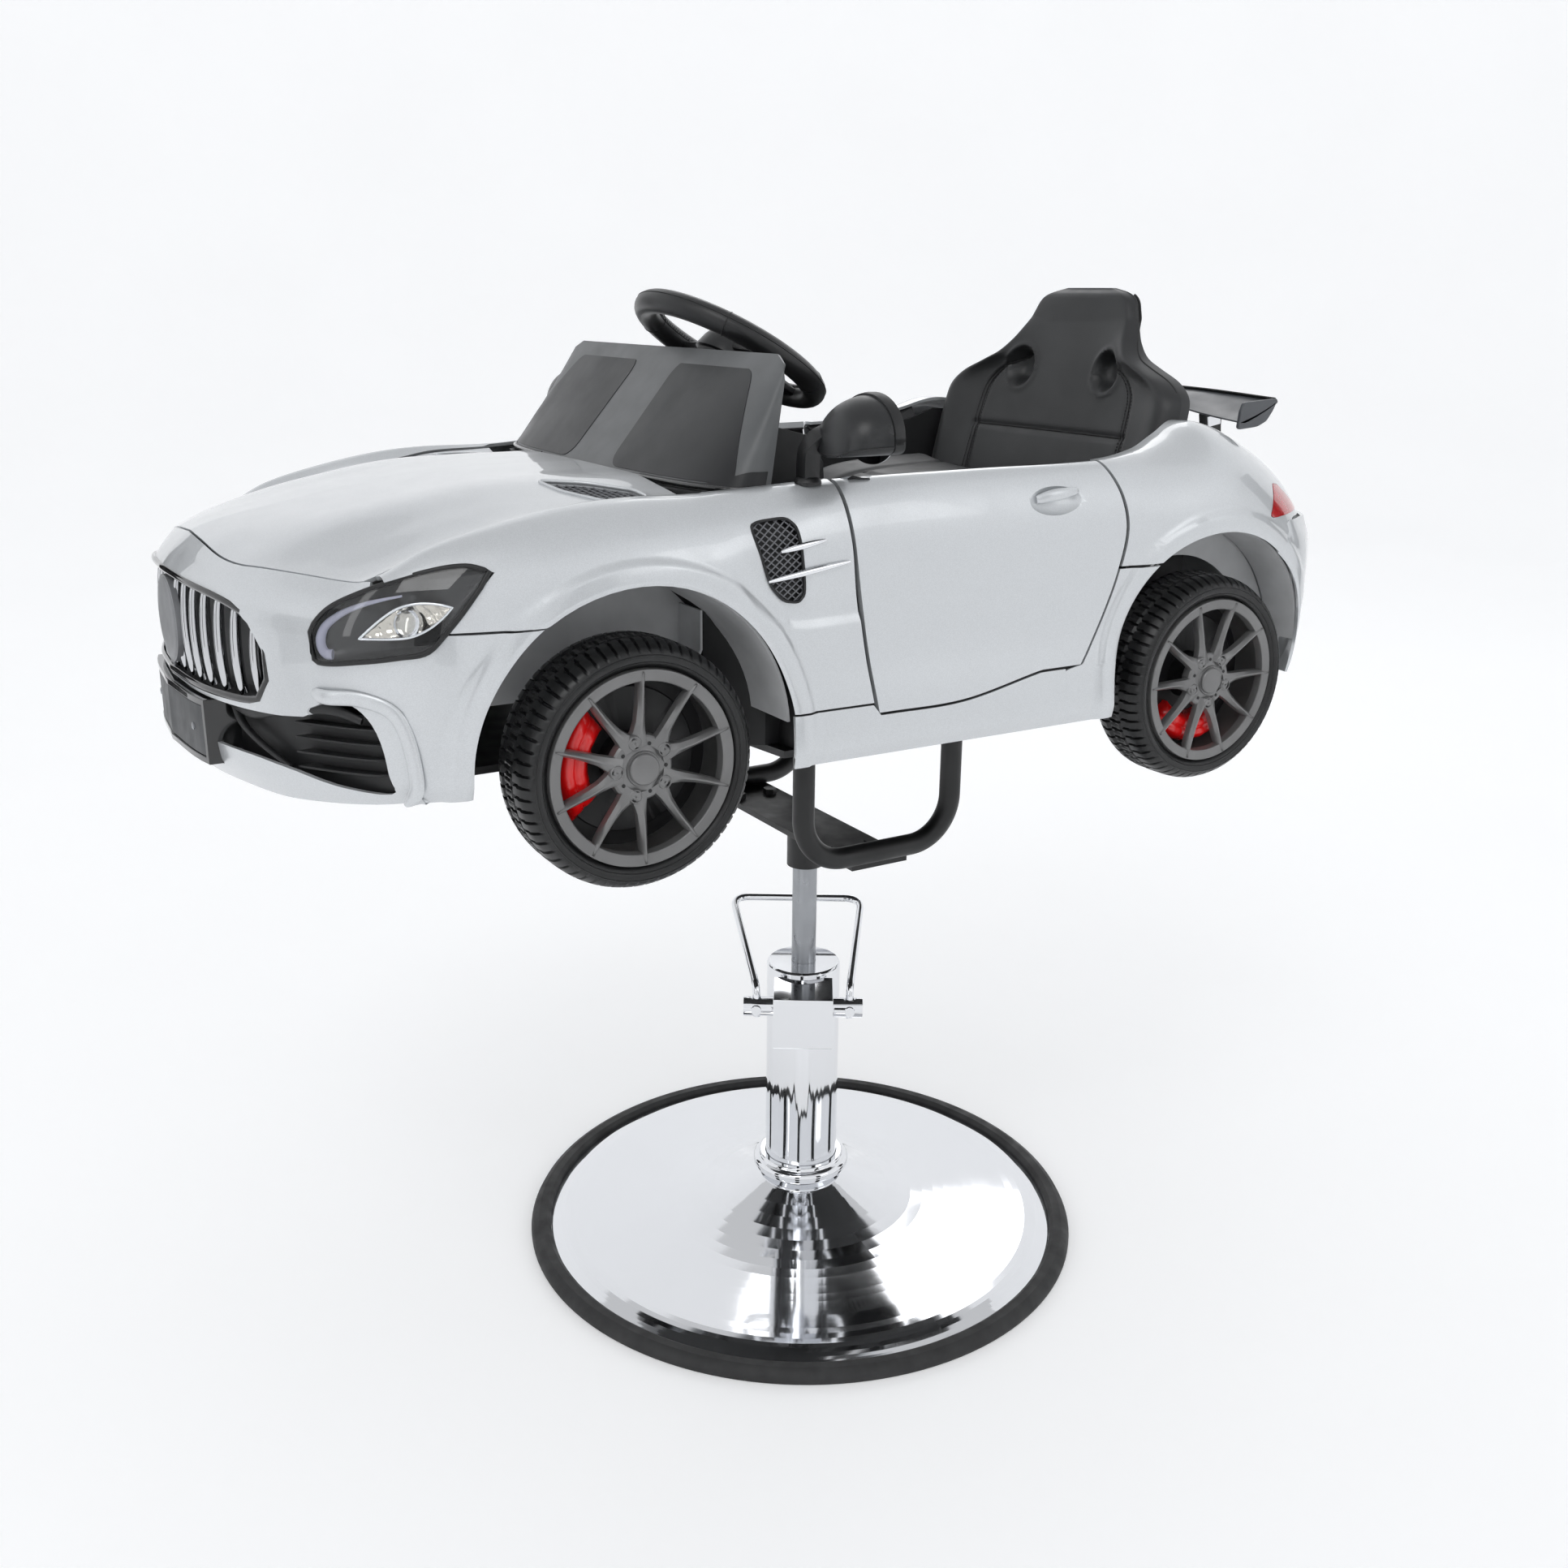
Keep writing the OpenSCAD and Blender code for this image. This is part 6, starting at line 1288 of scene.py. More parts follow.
def make_front():
    parts = []
    for i in range(15):
        x = lerp(-0.515, 0.515, i / 14) * HALF
        k = abs(x) / HALF
        low, high = lift(curve(k, grille_low_t) + 0.012), lift(curve(k, grille_top_t) - 0.012)
        path = []
        for t in steps(12):
            z = lerp(low, high, t)
            path.append((x, nose_plan_y(x) + 10.2 - 3.4 * math.sin(math.pi * t)**0.6, z))
        parts.append(tube("bar", path, [1.0 + 0.85 * math.sin(math.pi * (0.1 + 0.8 * t))**0.5 for t in steps(12)], 12,
                          flat=2.2, up=(1, 0, 0)))
    bars = join("grille_bars_chrome", parts)
    dress(bars, BAR_CHROME, "car", ["grille_bars"])
    y0, z0 = NOSE + 5.4, lift(0.5)
    face = [(0.0, -3.0), (20, -3.0), (28, -2.6), (31.6, -1.9), (32.6, -1.0), (34.0, -1.0), (34.0, 3.8), (0.0, 3.8)]
    disc = lathe("grille_disc", face, lambda u, v, w: (u, y0 + w - 1.2, z0 + v), 96)
    dress(edge(disc, 0.4), DISC_MAT, "car")
    hub = lathe("grille_disc_mount", [(0.0, 0), (9, 0), (9, 13), (0.0, 13)],
                lambda u, v, w: (u, y0 + 1 + w * 0.9, z0 + v), 32)
    dress(hub, TRIM, "car")
    frame_path = [(k * HALF, nose_plan_y(k * HALF) + 3.0, lift(h)) for k, h in grille_outline(0.0)]
    ring = tube("grille_surround", frame_path, 2.0, 8, True, 1.4, (0, 1, 0))
    dress(ring, GLOSS, "car")

    # Insert behind the intakes, with the plate holder, louvres and a keel on each side
    back = skin("insert_back", [[(k * HALF, nose_plan_y(k * HALF) + INSERT_IN, lift(h))
                                 for k in refine([-0.84, 0.84], 60)] for h in refine([0.035, 0.2, 0.41], 6)], SKIN)
    parts = [back]
    for way in (1, -1):
        for h in (0.115, 0.165, 0.215, 0.265, 0.31):
            xs = sorted((way * HALF * 0.60, way * HALF * 0.79))
            fin = nose_band("fin", xs[0], xs[1], INSERT_IN * 0.5, INSERT_IN + 1.2, lift(h), lift(h) + 1.9, 8)
            parts.append(edge(fin, 0.6))
        keel = behind_nose(way, [(92, 13, 0.285), (124, 11, 0.27), (150, 9, 0.30), (176, 8, 0.325), (196, 9, 0.33),
                                 (213, 9, 0.30)], 6)
        thick = [2.0 + 3.0 * math.sin(math.pi * (0.08 + 0.84 * i / 30)) for i in range(31)]
        parts.append(tube("keel", keel, thick, 12, flat=0.6, up=(0, 0, 1)))
        post = behind_nose(way, [(96, 16, 0.28), (108, 14, 0.22), (132, 12, 0.17), (160, 11, 0.115)], 8)
        parts.append(tube("post", post, [3.6 - 0.06 * i for i in range(25)], 12, flat=0.7, up=(0, 1, 0)))
    insert = join("lower_insert_dark", parts)
    sharpen(insert, 35)
    dress(insert, TRIM, "car", ["lower_insert"])
    holder = holder_block("plate_holder", 0, -SKIN, INSERT_IN + 1.5)
    cut(holder, [nose_band("hole", -PLATE_W / 2 + 5, PLATE_W / 2 - 5, -8, -SKIN + 1.6, PLATE_Z + 5,
                           PLATE_Z + PLATE_H - 5, 16)])
    dress(edge(holder, 1.6, 3), GLOSS, "car")
    plate = nose_band("bare_plate", -PLATE_W / 2 + 5.6, PLATE_W / 2 - 5.6, -SKIN + 0.7, -SKIN + 1.9, PLATE_Z + 5.6,
                      PLATE_Z + PLATE_H - 5.6, 20)
    dress(edge(plate, 0.5), PLATE_MAT, "car")
    screws = []
    for x in (-62, 62):
        y = nose_plan_y(x) - SKIN + 0.7
        screws.append(lathe("s", [(0, -0.9), (2.2, -0.8), (3.0, -0.2), (3.0, 1.0), (0, 1.0)],
                            lambda u, v, w, x=x, y=y: (x + u, y + w, PLATE_Z + PLATE_H / 2 + v), 24))
    dress(join("plate_screws", screws), STEEL, "car")


def patch(name, ab, depth_at, thick):
    """A closed patch on the lamp bowl; ab is a grid of places in the lamp plane, as shares of its width."""
    outer = [[lamp_at(a, b, depth_at(a, b)) for a, b in row] for row in ab]
    inner = [[lamp_at(a, b, depth_at(a, b) + thick) for a, b in row] for row in ab]
    return between(name, outer, inner)


def make_lamps():
    cols = [0.5 - 0.5 * math.cos(math.pi * t) for t in steps(56)]
    vs = [0.5 - 0.5 * math.cos(math.pi * t) for t in steps(32)]
    bowl = skin("left_lamp_housing", [[lamp_point(t, v, bowl_at(t, v), 0.955) for t in cols] for v in vs], 1.0)
    pair(bowl, HOUSING, "lamp_bowls")
    lens = skin("left_lamp_lens", [[lamp_point(t, v, 0, 0.985) for t in cols] for v in vs], 1.6)
    pair(lens, LENS, "lamp_lenses")
    # Dark seal round the lens
    n = 40
    seal = [lamp_point(i / n, 1, 1.2, 0.99) for i in range(n + 1)] + [lamp_point(1 - i / n, 0, 1.2, 0.99)
                                                                     for i in range(1, n)]
    ring = tube("left_lamp_seal", seal, 2.0, 8, True)
    pair(ring, TRIM)
    # Pale light guide in a hook round the inner end
    pts = [(-0.315, -0.245), (-0.352, -0.246), (-0.378, -0.225), (-0.392, -0.185), (-0.387, -0.135), (-0.362, -0.085),
           (-0.305, -0.035), (-0.235, 0.008), (-0.14, 0.05), (-0.035, 0.085), (0.07, 0.115)]
    path = smooth_path([(a, b, 0) for a, b in pts], 8)
    m = len(path)
    line = [lamp_at(p.x, p.y, 5.2 + 3.0 * max(0, min(1, 2 * i / m - 0.7))) for i, p in enumerate(path)]
    thick = [3.6 * (1 - 0.80 * max(0, (i / (m - 1) - 0.35) / 0.65)) for i in range(m)]
    guide = tube("left_light_guide", line, thick, 12, flat=0.5, up=tuple(LAMP_N.cross(LAMP_A)))
    pair(guide, STRIP, "lamp_inners")
    # Bright eye: a pointed leaf of fluted reflector with a round projector in its middle
    c, cos_t, sin_t = (0.10, -0.035), cosd(24), sind(24)
    leaf = []
    for j in range(25):
        w = -1 + j / 12
        row = []
        for i in range(37):
            u = -1 + i / 18
            half = 0.085 * (1 - abs(u)**1.7) * (1 + 0.35 * u)
            x, y = 0.275 * u, w * half
            row.append((c[0] + x * cos_t - y * sin_t, c[1] + x * sin_t + y * cos_t))
        leaf.append(row)

    def leaf_depth(a, b):
        dx, dy = a - c[0], b - c[1]
        u = (dx * cos_t + dy * sin_t) / 0.275
        w = (-dx * sin_t + dy * cos_t) / 0.085
        dish = max(0, 1 - u * u - 0.8 * w * w)
        return 6.5 + 7.5 * dish + 0.55 * math.sin(30 * u + 3 * w) + 0.3 * math.sin(9 * w)
    eye = patch("left_lamp_reflector", leaf, leaf_depth, 1.2)
    pair(eye, REFLECTOR)
    rim = [leaf[0][i] for i in range(37)] + [leaf[-1][i] for i in range(35, 0, -1)]
    line = tube("left_reflector_rim", [lamp_at(a, b, 6.0) for a, b in rim], 1.1, 8, True)
    pair(line, CHROME)
    pc = Vector(lamp_at(0.105, -0.035, 11.0))
    place = lambda u, v, w: tuple(pc + u * LAMP_A + v * LAMP_U + w * LAMP_N)
    dome = [(0.0, 7.6), (3.0, 7.2), (5.6, 5.9), (7.4, 3.9), (8.2, 1.6), (8.2, -1), (0.0, -1)]
    ball = lathe("left_projector", dome, place, 48)
    pair(ball, LENS)
    collar = lathe("left_projector_collar", [(8.4, -2), (8.4, 2.0), (9.2, 3.0), (10.2, 2.2), (10.6, -2)], place, 48)
    pair(collar, CHROME)
    core = lathe("left_projector_core", [(0.0, -1.4), (7.8, -1.4), (7.8, -2.6), (0.0, -2.6)], place, 32)
    pair(core, REFLECTOR)


# Windscreen: a satin frame with glossy panes let onto it
SCREEN_LOW_Z = lift(0.93) + 4 + 1.8 + SEAT_GAP


def bow(a):
    return sgn(math.sin(a)) * abs(math.sin(a))**0.72


def screen_reach(v):
    """How far the screen goes round at the height v, in degrees; its upper rear corners are round."""
    cut_off = 15 * (1 - math.sqrt(max(0, 1 - (max(v - 0.85, 0) / 0.15)**2)))
    return math.degrees(math.asin((1 - cut_off / 199)**(1 / 0.72)))


def screen_point(a, v):
    """A place on the screen; a is in degrees from the middle, v runs from the foot to the top."""
    a = math.radians(a * screen_reach(v) / 90)
    low = Vector((HALF * 0.805 * bow(a), lerp(y_at(0.396), y_at(0.342), max(math.cos(a), 0)**0.5), SCREEN_LOW_Z))
    top = Vector((198 * bow(a), y_at(0.4245) - 2 * math.cos(a), SCREEN_LOW_Z + 99))
    return tuple(low.lerp(top, v))


def round_patch(a0, a1, v0, v1, ra, rv, n=40, m=20):
    """Places (a, v) over a box with rounded corners."""
    g = []
    for j in range(m + 1):
        v = lerp(v0, v1, 0.5 - 0.5 * math.cos(math.pi * j / m))
        d = min((v - v0) / rv, (v1 - v) / rv, 1)
        pull = ra * (1 - math.sqrt(max(0, 1 - (1 - d)**2)))
        g.append([(lerp(a0 + pull, a1 - pull, i / n), v) for i in range(n + 1)])
    return g


def make_screen():
    angles = [-90 + 180 * (0.5 - 0.5 * math.cos(math.pi * t)) for t in steps(72)]
    frame_body = skin("windscreen_frame", [[screen_point(a, v) for a in angles] for v in steps(16)], SKIN)
    dress(edge(frame_body, 1.2, 3), FRAME_GREY, "car", ["windscreen"])
    # A film on both faces of each half; its outer side narrows to the top
    near, far = 5.5, 75
    g = [[screen_point(near + (a - near) * lerp(1, 0.56, v), v) for a, v in row]
         for row in round_patch(near, far, 0.045, 0.875, 3, 0.12)]
    film = join("left_windscreen_pane", [between("f", shifted(g, -0.45), shifted(g, 0.3)),
                                         between("f", shifted(g, SKIN - 0.3), shifted(g, SKIN + 0.4))])
    sharpen(film, 40)
    pair(film, PANE)
    foot = [[screen_point(a, lerp(0.0, 0.035 + 0.10 * soft_step(a, 52, 84), t)) for a in refine([20, 89.5], 40)]
            for t in steps(6)]
    heel = between("left_windscreen_heel", shifted(foot, -0.7), shifted(foot, 0.3))
    pair(heel, PANE)
    seal = [Vector(screen_point(a, 0.0)) + Vector((0, 0, 1.2)) for a in angles]
    rim = tube("windscreen_seal", seal, 2.0, 10, flat=0.8, up=(0, 0, 1))
    dress(rim, GLOSS, "car")


# Mirrors
def make_mirrors():
    at = Vector((HALF - 14, y_at(0.462), 821 + 33))
    w, h, depth = 78.0, 50.0, 42.0

    def shell(a, b, grow=1.0):
        a, b = math.radians(a), math.radians(b)
        c = max(math.cos(b), 0)**0.62
        up, out = math.sin(a), math.cos(a)
        x = sgn(out) * abs(out)**(1.0 if up > 0 else 0.6)
        z = 33 * up**0.95 if up > 0 else -11 * abs(up)**0.5
        return at + Vector((w / 2 * x * c * grow, -depth * math.sin(b), -16 + (z + 13) * c * grow))
    bs = refine([89.5, 0], 22)
    verts = [tuple(shell(a, b)) for b in bs for a in range(0, 360, 6)]
    n = 60
    faces = [tuple(range(n))]
    for r in range(len(bs) - 1):
        for i in range(n):
            faces.append((r * n + i, r * n + (i + 1) % n, (r + 1) * n + (i + 1) % n, (r + 1) * n + i))
    base = len(verts)
    for k, (grow, back) in enumerate(((0.955, 0.0), (0.90, -4.6))):
        for a in range(0, 360, 6):
            q = shell(a, 0, grow)
            verts.append((q.x, q.y + back, q.z))
    prev = (len(bs) - 1) * n
    for k in range(2):
        for i in range(n):
            faces.append((prev + i, prev + (i + 1) % n, base + k * n + (i + 1) % n, base + k * n + i))
        prev = base + k * n
    faces.append(tuple(prev + i for i in range(n)))
    body = mesh_object("left_mirror_shell", verts, faces)
    tidy(body)
    sharpen(body, 38)
    edge(body, 0.8)
    glass = lathe("g", [(0, 0.5), (0.86, 0.5), (0.88, 0.0), (0.88, -0.6), (0, -0.6)],
                  lambda u, v, z: (at.x + u * w / 2, at.y - 4.4 + z, at.z + v * h / 2), 64)
    glass.name = "left_mirror_glass"

    def rings(places):
        return [[tuple(shell(a, b, g)) for a in range(0, 361, 6)] for b, g in places]
    seam = between("left_mirror_seam", rings([(12, 0.99), (11.6, 1.03), (6, 1.04), (0, 1.035), (0, 0.97)]),
                   rings([(b, 0.965) for b in (12, 11.6, 6, 1, 0.5)]))
    edge(seam, 0.5)
    turn = [(-4, 4 + 3 * i) for i in range(28)] + [(184, 85 - 3 * i) for i in range(28)]
    chin = tube("left_mirror_chin", [shell(a, b, 1.004) for a, b in turn], 0.7, 8)
    seam = join("left_mirror_seam", [seam, chin])
    foot = Vector((crown_x(0.42) + 2, y_at(0.42), lift(crown_z(0.42))))
    path = smooth_path([foot + Vector((0, 0, -1)), foot + Vector((0, 0, 14)), foot + Vector((1, 1, 24)),
                        foot + Vector((6, 6, 32)), at + Vector((-22, -17, 2)), at + Vector((-8, -17, 2))], 8)
    stalk = tube("left_mirror_stalk", path, 9.4, 4, up=(1, 1, 0.2))
    edge(stalk, 2.6, 4, 30)
    boss = lathe("b", [(0.0, 4.0), (7.6, 3.9), (9.6, 2.4), (10.5, 0.4), (10.5, -2.0), (0.0, -2.0)],
                 lambda u, v, z: (foot.x + u, foot.y + v, foot.z + z - 0.2), 48)
    stalk = join("left_mirror_stalk", [stalk, boss])
    sharpen(stalk, 40)
    pair(body, TRIM_SOFT, "left_mirror")
    for obj, mat in ((glass, CHROME), (seam, TRIM), (stalk, TRIM)):
        pair(obj, mat)


# Steering wheel, in its own leaning frame
STEER = Vector((0, -87.032, 907))


def steer(u, v, w):
    c, s = cosd(-30), sind(-30)
    return (STEER.x + u, STEER.y + v * c - w * s, STEER.z + v * s + w * c)


def make_wheel():
    mid, gr = 83.0, 10.8
    verts, faces = [], []
    seg, sides = 180, 24
    for i in range(seg):
        a = 2 * math.pi * i / seg
        deg = math.degrees(a) % 360
        # Thumb rests near the side spokes
        swell = sum(math.exp(-((deg - c + 180) % 360 - 180)**2 / 90.0) for c in (25, 155))
        for k in range(sides):
            t = 2 * math.pi * k / sides
            r = gr * (1 + 0.01 * swell)
            notch = 0.35 if any(abs((deg - c + 180) % 360 - 180) < 1 for c in (215, 325)) else 0
            rr = mid + (r - notch) * math.cos(t)
            verts.append(steer(rr * math.cos(a), rr * math.sin(a), (r - notch) * 0.97 * math.sin(t)))
    for i in range(seg):
        for k in range(sides):
            faces.append((i * sides + k, ((i + 1) % seg) * sides + k, ((i + 1) % seg) * sides + (k + 1) % sides,
                          i * sides + (k + 1) % sides))
    rim = mesh_object("steering_rim", verts, faces)
    tidy(rim)
    rim.data.shade_smooth()
    dress(rim, GRIP, "steering", ["steering_wheel"])
    seams = []
    for t in (20, 160):
        rr, w = mid + (gr + 0.05) * cosd(t), (gr + 0.05) * 0.97 * sind(t)
        seams.append(tube("s", [steer(rr * math.cos(2 * math.pi * i / 120), rr * math.sin(2 * math.pi * i / 120), w)
                                for i in range(120)], 0.42, 6, True))
    # Stitches along the inner seam and joints of the grip
    for i in range(150):
        a = 2 * math.pi * i / 150
        p = []
        for s in (-1, 0, 1):
            t = math.radians(150 + 7 * s)
            rr = mid + (gr + 0.25) * math.cos(t)
            b = a + 0.008 * s
            p.append(steer(rr * math.cos(b), rr * math.sin(b), (gr + 0.25) * 0.97 * math.sin(t)))
        seams.append(tube("s", p, 0.34, 5))
    for deg in (35, 145, 215, 325):
        a = math.radians(deg)
        seams.append(tube("s", [steer((mid + gr * math.cos(2 * math.pi * k / 24)) * math.cos(a),
                                      (mid + gr * math.cos(2 * math.pi * k / 24)) * math.sin(a),
                                      gr * 0.97 * math.sin(2 * math.pi * k / 24)) for k in range(24)], 0.5, 6, True))
    dress(join("steering_seams", seams), THREAD, "steering")
    hub = lathe("steering_hub", [(0.0, 9.4), (15, 9.2), (21, 8.4), (24.6, 6.2), (26.6, 2.4), (29.4, -6.0),
                                 (29.8, -9.0), (27.5, -10.6), (8.2, -10.6), (8.2, 0.2), (0.0, 0.2)], steer, 96)
    dress(hub, TRIM_SOFT, "steering")
    cap = lathe("steering_cap", [(0.0, 10.6), (10.5, 10.5), (12.2, 10.0), (12.8, 9.0), (0.0, 9.0)], steer, 64)
    dress(cap, WING_MAT, "steering")
    spokes, plates = [], []
    for deg in (0, 90, 180):
        a = math.radians(deg)
        rot = lambda u, v, w, a=a: steer(u * math.cos(a) - v * math.sin(a), u * math.sin(a) + v * math.cos(a), w)
        rows, rows_in = [], []
        for t in steps(14):
            u = lerp(19, mid - 3, t)
            half = lerp(13.5, 8.0, curve(t, [(0, 0), (0.5, 0.8), (1, 0.75)]))
            rows.append([rot(u, half * q, 4.6 - 1.6 * t - 1.8 * abs(q)**3) for q in [-1 + i / 8 for i in range(17)]])
            rows_in.append([rot(u, half * q, -4.4 + 0.8 * abs(q)**3) for q in [-1 + i / 8 for i in range(17)]])
        spokes.append(between("s", rows, rows_in))
        rows, rows_in = [], []
        for t in steps(12):
            u = lerp(27, mid - 12, t)
            half = lerp(8.0, 4.6, t) * (0.6 + 0.4 * math.sin(math.pi * (0.08 + 0.84 * t))**0.5)
            far = (u - 19) / (mid - 22)
            rows.append([rot(u, half * (-1 + i / 4), 5.6 - 1.6 * far) for i in range(9)])
            rows_in.append([rot(u, half * (-1 + i / 4), 2.0 - 1.2 * far) for i in range(9)])
        plates.append(between("p", rows, rows_in))
    spoke = join("steering_spokes", spokes)
    sharpen(spoke, 40)
    dress(edge(spoke, 1.2, 3), TRIM, "steering")
    plate = join("steering_spoke_plates", plates)
    sharpen(plate, 40)
    dress(edge(plate, 0.8), WING_MAT, "steering")


# Rear wing
WING_REAR, CHORD, WING_SPAN = y_at(0.974), 49.0, 352.0
wing_rear_t = [(0, 1.215), (0.5, 1.206), (1, 1.187)]
wing_front_t = [(0, 1.185), (0.42, 1.175), (0.58, 1.14), (0.75, 1.12), (1, 1.10)]


def wing_point(k, t, under):
    front, rear = curve(abs(k), wing_front_t), curve(abs(k), wing_rear_t)
    thick = 4 * (1 - 0.4 * t) * min(1, 0.35 + 5 * t)
    return (k * WING_SPAN / 2, WING_REAR - CHORD * (1 - t),
            lift(lerp(front, rear, t - 0.35 * t * (1 - t))) - (thick if under else 0))


def make_wing():
    ts = [0, 0.02, 0.05, 0.1] + refine([0.15, 1], 22)
    ks = refine([-1, -0.58, -0.3, 0.3, 0.58, 1], 12)
    blade = between("wing_blade", [[wing_point(k, t, False) for k in ks] for t in ts],
                    [[wing_point(k, t, True) for k in ks] for t in ts])
    edge(blade, 0.8, 2)
    dress(blade, WING_MAT, "car", ["rear_wing"])
    lip = tube("wing_lip", [(k * WING_SPAN / 2 * 0.985, WING_REAR - 1.5, lift(curve(abs(k), wing_rear_t)) + 1.0)
                            for k in ks], 1.6, 8, flat=0.8, up=(0, 0, 1))
    dress(lip, GLOSS, "car")
    outline = rounded([(v[0] * CHORD, v[1] * CHORD) for v in
                       [(0.02, 0.04), (-0.6, 0.0), (-0.93, -0.02), (-1.0, -0.18), (-1.04, -0.5), (-0.98, -0.54),
                        (-0.5, -0.5), (-0.26, -0.4), (-0.1, -0.2)]], 0.2, 3)
    for way, side in ((1, "left"), (-1, "right")):
        x0 = way * (WING_SPAN / 2 - 4)
        plate = prism(side + "_wing_plate", outline, 0, 4,
                      lambda u, v, w: (x0 + way * w, WING_REAR + u, lift(1.187) + v))
        dress(edge(plate, 1.2, 3), WING_MAT, "car")
        xp = way * WING_SPAN * 0.335

        def slab(name, shares, half):
            return prism(side + name, [(u * CHORD, v * CHORD) for u, v in shares], -half, half,
                         lambda u, v, w: (xp + w, WING_REAR + u, lift(1.187) + v))
        post = slab("_wing_post", [(-0.86, -0.30), (-0.62, -0.235), (-0.36, -0.20), (-0.36, -0.55), (-0.30, -0.99),
                                   (-0.86, -0.90), (-0.80, -0.6)], 5.2)
        dress(edge(post, 2.4, 4), TRIM, "car")
        shine = slab("_wing_post_cover", [(-0.80, -0.36), (-0.42, -0.30), (-0.41, -0.52), (-0.76, -0.58)], 5.9)
        dress(edge(shine, 1.0, 2), CHROME, "car")


make_front()
make_lamps()
make_screen()
make_mirrors()
make_wheel()
make_wing()


# Wheels: local axis u runs out of the wheel's face, whose plane is u = 0
SPAN, TYRE_W, BORE, BARREL = 538.0, 62.0, 76.0, 75.7


LUGS, TYRE_SEG, RIB, EDGE = 64, 640, 0.352, 0.10


def tyre_mesh():
    """Tread blocks in three ribs with shoulder lugs that run over onto the wall."""
    prof = [(76.2, -0.10), (78.5, -0.045), (81.5, -0.014), (84.5, 0.0), (87.0, -0.010), (89.4, -0.036),
            (91.3, -0.075), (92.9, -0.12)]
    prof = [(r, w * TYRE_W) for r, w in prof]
    tread = [(94.3, -0.165), (95.1, -0.205), (95.55, -0.25), (95.8, -0.305), (95.9, -0.352)]
    tread += [(95.95, -0.358), (95.95, -0.41), (95.95, -0.46), (95.95, -0.54), (95.95, -0.59), (95.95, -0.642)]
    half = prof + [(r, w * TYRE_W) for r, w in tread]
    other = [(r, -TYRE_W - w) for r, w in reversed(half) if w > -TYRE_W * RIB]
    line = half + [p for p in other if p[1] < -TYRE_W * 0.645]
    seg = TYRE_SEG
    verts, faces = [], []
    m = len(line)
    for i in range(seg):
        a = 2 * math.pi * i / seg
        turn = i / seg * LUGS
        for r, w in line:
            share = -w / TYRE_W
            groove = 0.0
            if EDGE < share < 1 - EDGE:
                middle = RIB < share < 0.648
                phase = (turn + (0.5 if middle else 0) + 0.35 * (share - 0.5)) % 1
                if phase < 0.2:
                    groove = 2.6 if not middle else 2.2
                if middle and 0.44 < share < 0.56 and 0.4 < phase < 0.6:
                    groove = 1.2
            elif r > 87:
                phase = (turn + 0.35 * (share - 0.5)) % 1
                if phase < 0.2:
                    groove = 1.5 * min(1, (r - 87) / 4)
            if RIB < share < 0.360 or 0.640 < share < 0.648:
                groove = 2.8
            rr = r - groove
            verts.append((w, rr * math.cos(a), rr * math.sin(a)))
    for i in range(seg):
        for j in range(m - 1):
            faces.append((i * m + j, i * m + j + 1, ((i + 1) % seg) * m + j + 1, ((i + 1) % seg) * m + j))
    # Bore
    n = len(verts)
    for i in range(seg):
        a = 2 * math.pi * i / seg
        for w in (-TYRE_W * EDGE, -TYRE_W * 0.90):
            verts.append((w, BORE * math.cos(a), BORE * math.sin(a)))
    for i in range(seg):
        j = (i + 1) % seg
        faces.append((n + 2 * i, i * m, j * m, n + 2 * j))
        faces.append((i * m + m - 1, n + 2 * i + 1, n + 2 * j + 1, j * m + m - 1))
        faces.append((n + 2 * i + 1, n + 2 * i, n + 2 * j, n + 2 * j + 1))
    return verts, faces


def axle_place(front, left, spin=0.0):
    way = 1 if left else -1
    x0, y0 = way * SPAN / 2, AXLE_F if front else AXLE_R
    c, s = math.cos(spin), math.sin(spin)
    return lambda u, v, w: (x0 + way * u, y0 + v * c - w * s, AXLE_Z + v * s + w * c)


# Share of the way out, half width, foot and ridge of a spoke's section, and its bend to the neighbour
spoke_t = [(0.0, 9.6, -11.0, -3.0, 3.6), (0.10, 7.6, -11.0, -3.0, 3.0), (0.2, 5.6, -11.0, -3.0, 1.9),
           (0.32, 4.2, -11.2, -2.8, 0.9), (0.5, 3.5, -11.2, -2.3, 0.2), (0.68, 3.1, -11.0, -1.8, 0),
           (0.82, 2.8, -10.5, -1.1, 0), (0.90, 2.3, -6.0, -0.4, 0), (1.0, 0.35, -3.0, -0.7, 0)]


def spoke_loft(name, ang, side, place):
    """A thin blade with a sharp ridge, that leans to its neighbour at the root and ends in a point on the ring."""
    rows = []
    c, s = math.cos(ang), math.sin(ang)
    for t, half, base, ridge, bend in spoke_t:
        r = lerp(17.5, 74.2, t)
        row = []
        for q, z in ((-1, base), (-1, base + 3.0), (-0.86, lerp(base, ridge, 0.66)), (-0.2, ridge - 0.15), (0, ridge),
                     (0.2, ridge - 0.15), (0.86, lerp(base, ridge, 0.66)), (1, base + 3.0), (1, base)):
            w = q * half + side * bend
            row.append(place(z, r * c - w * s, r * s + w * c))
        rows.append(row)
    n = len(rows[0])
    verts = [p for row in rows for p in row]
    faces = []
    for i in range(len(rows) - 1):
        for j in range(n):
            k = (j + 1) % n
            faces.append((i * n + j, i * n + k, (i + 1) * n + k, (i + 1) * n + j))
    faces.append(tuple(range(n)))
    faces.append(tuple((len(rows) - 1) * n + j for j in reversed(range(n))))
    obj = mesh_object(name, verts, faces)
    tidy(obj)
    return obj


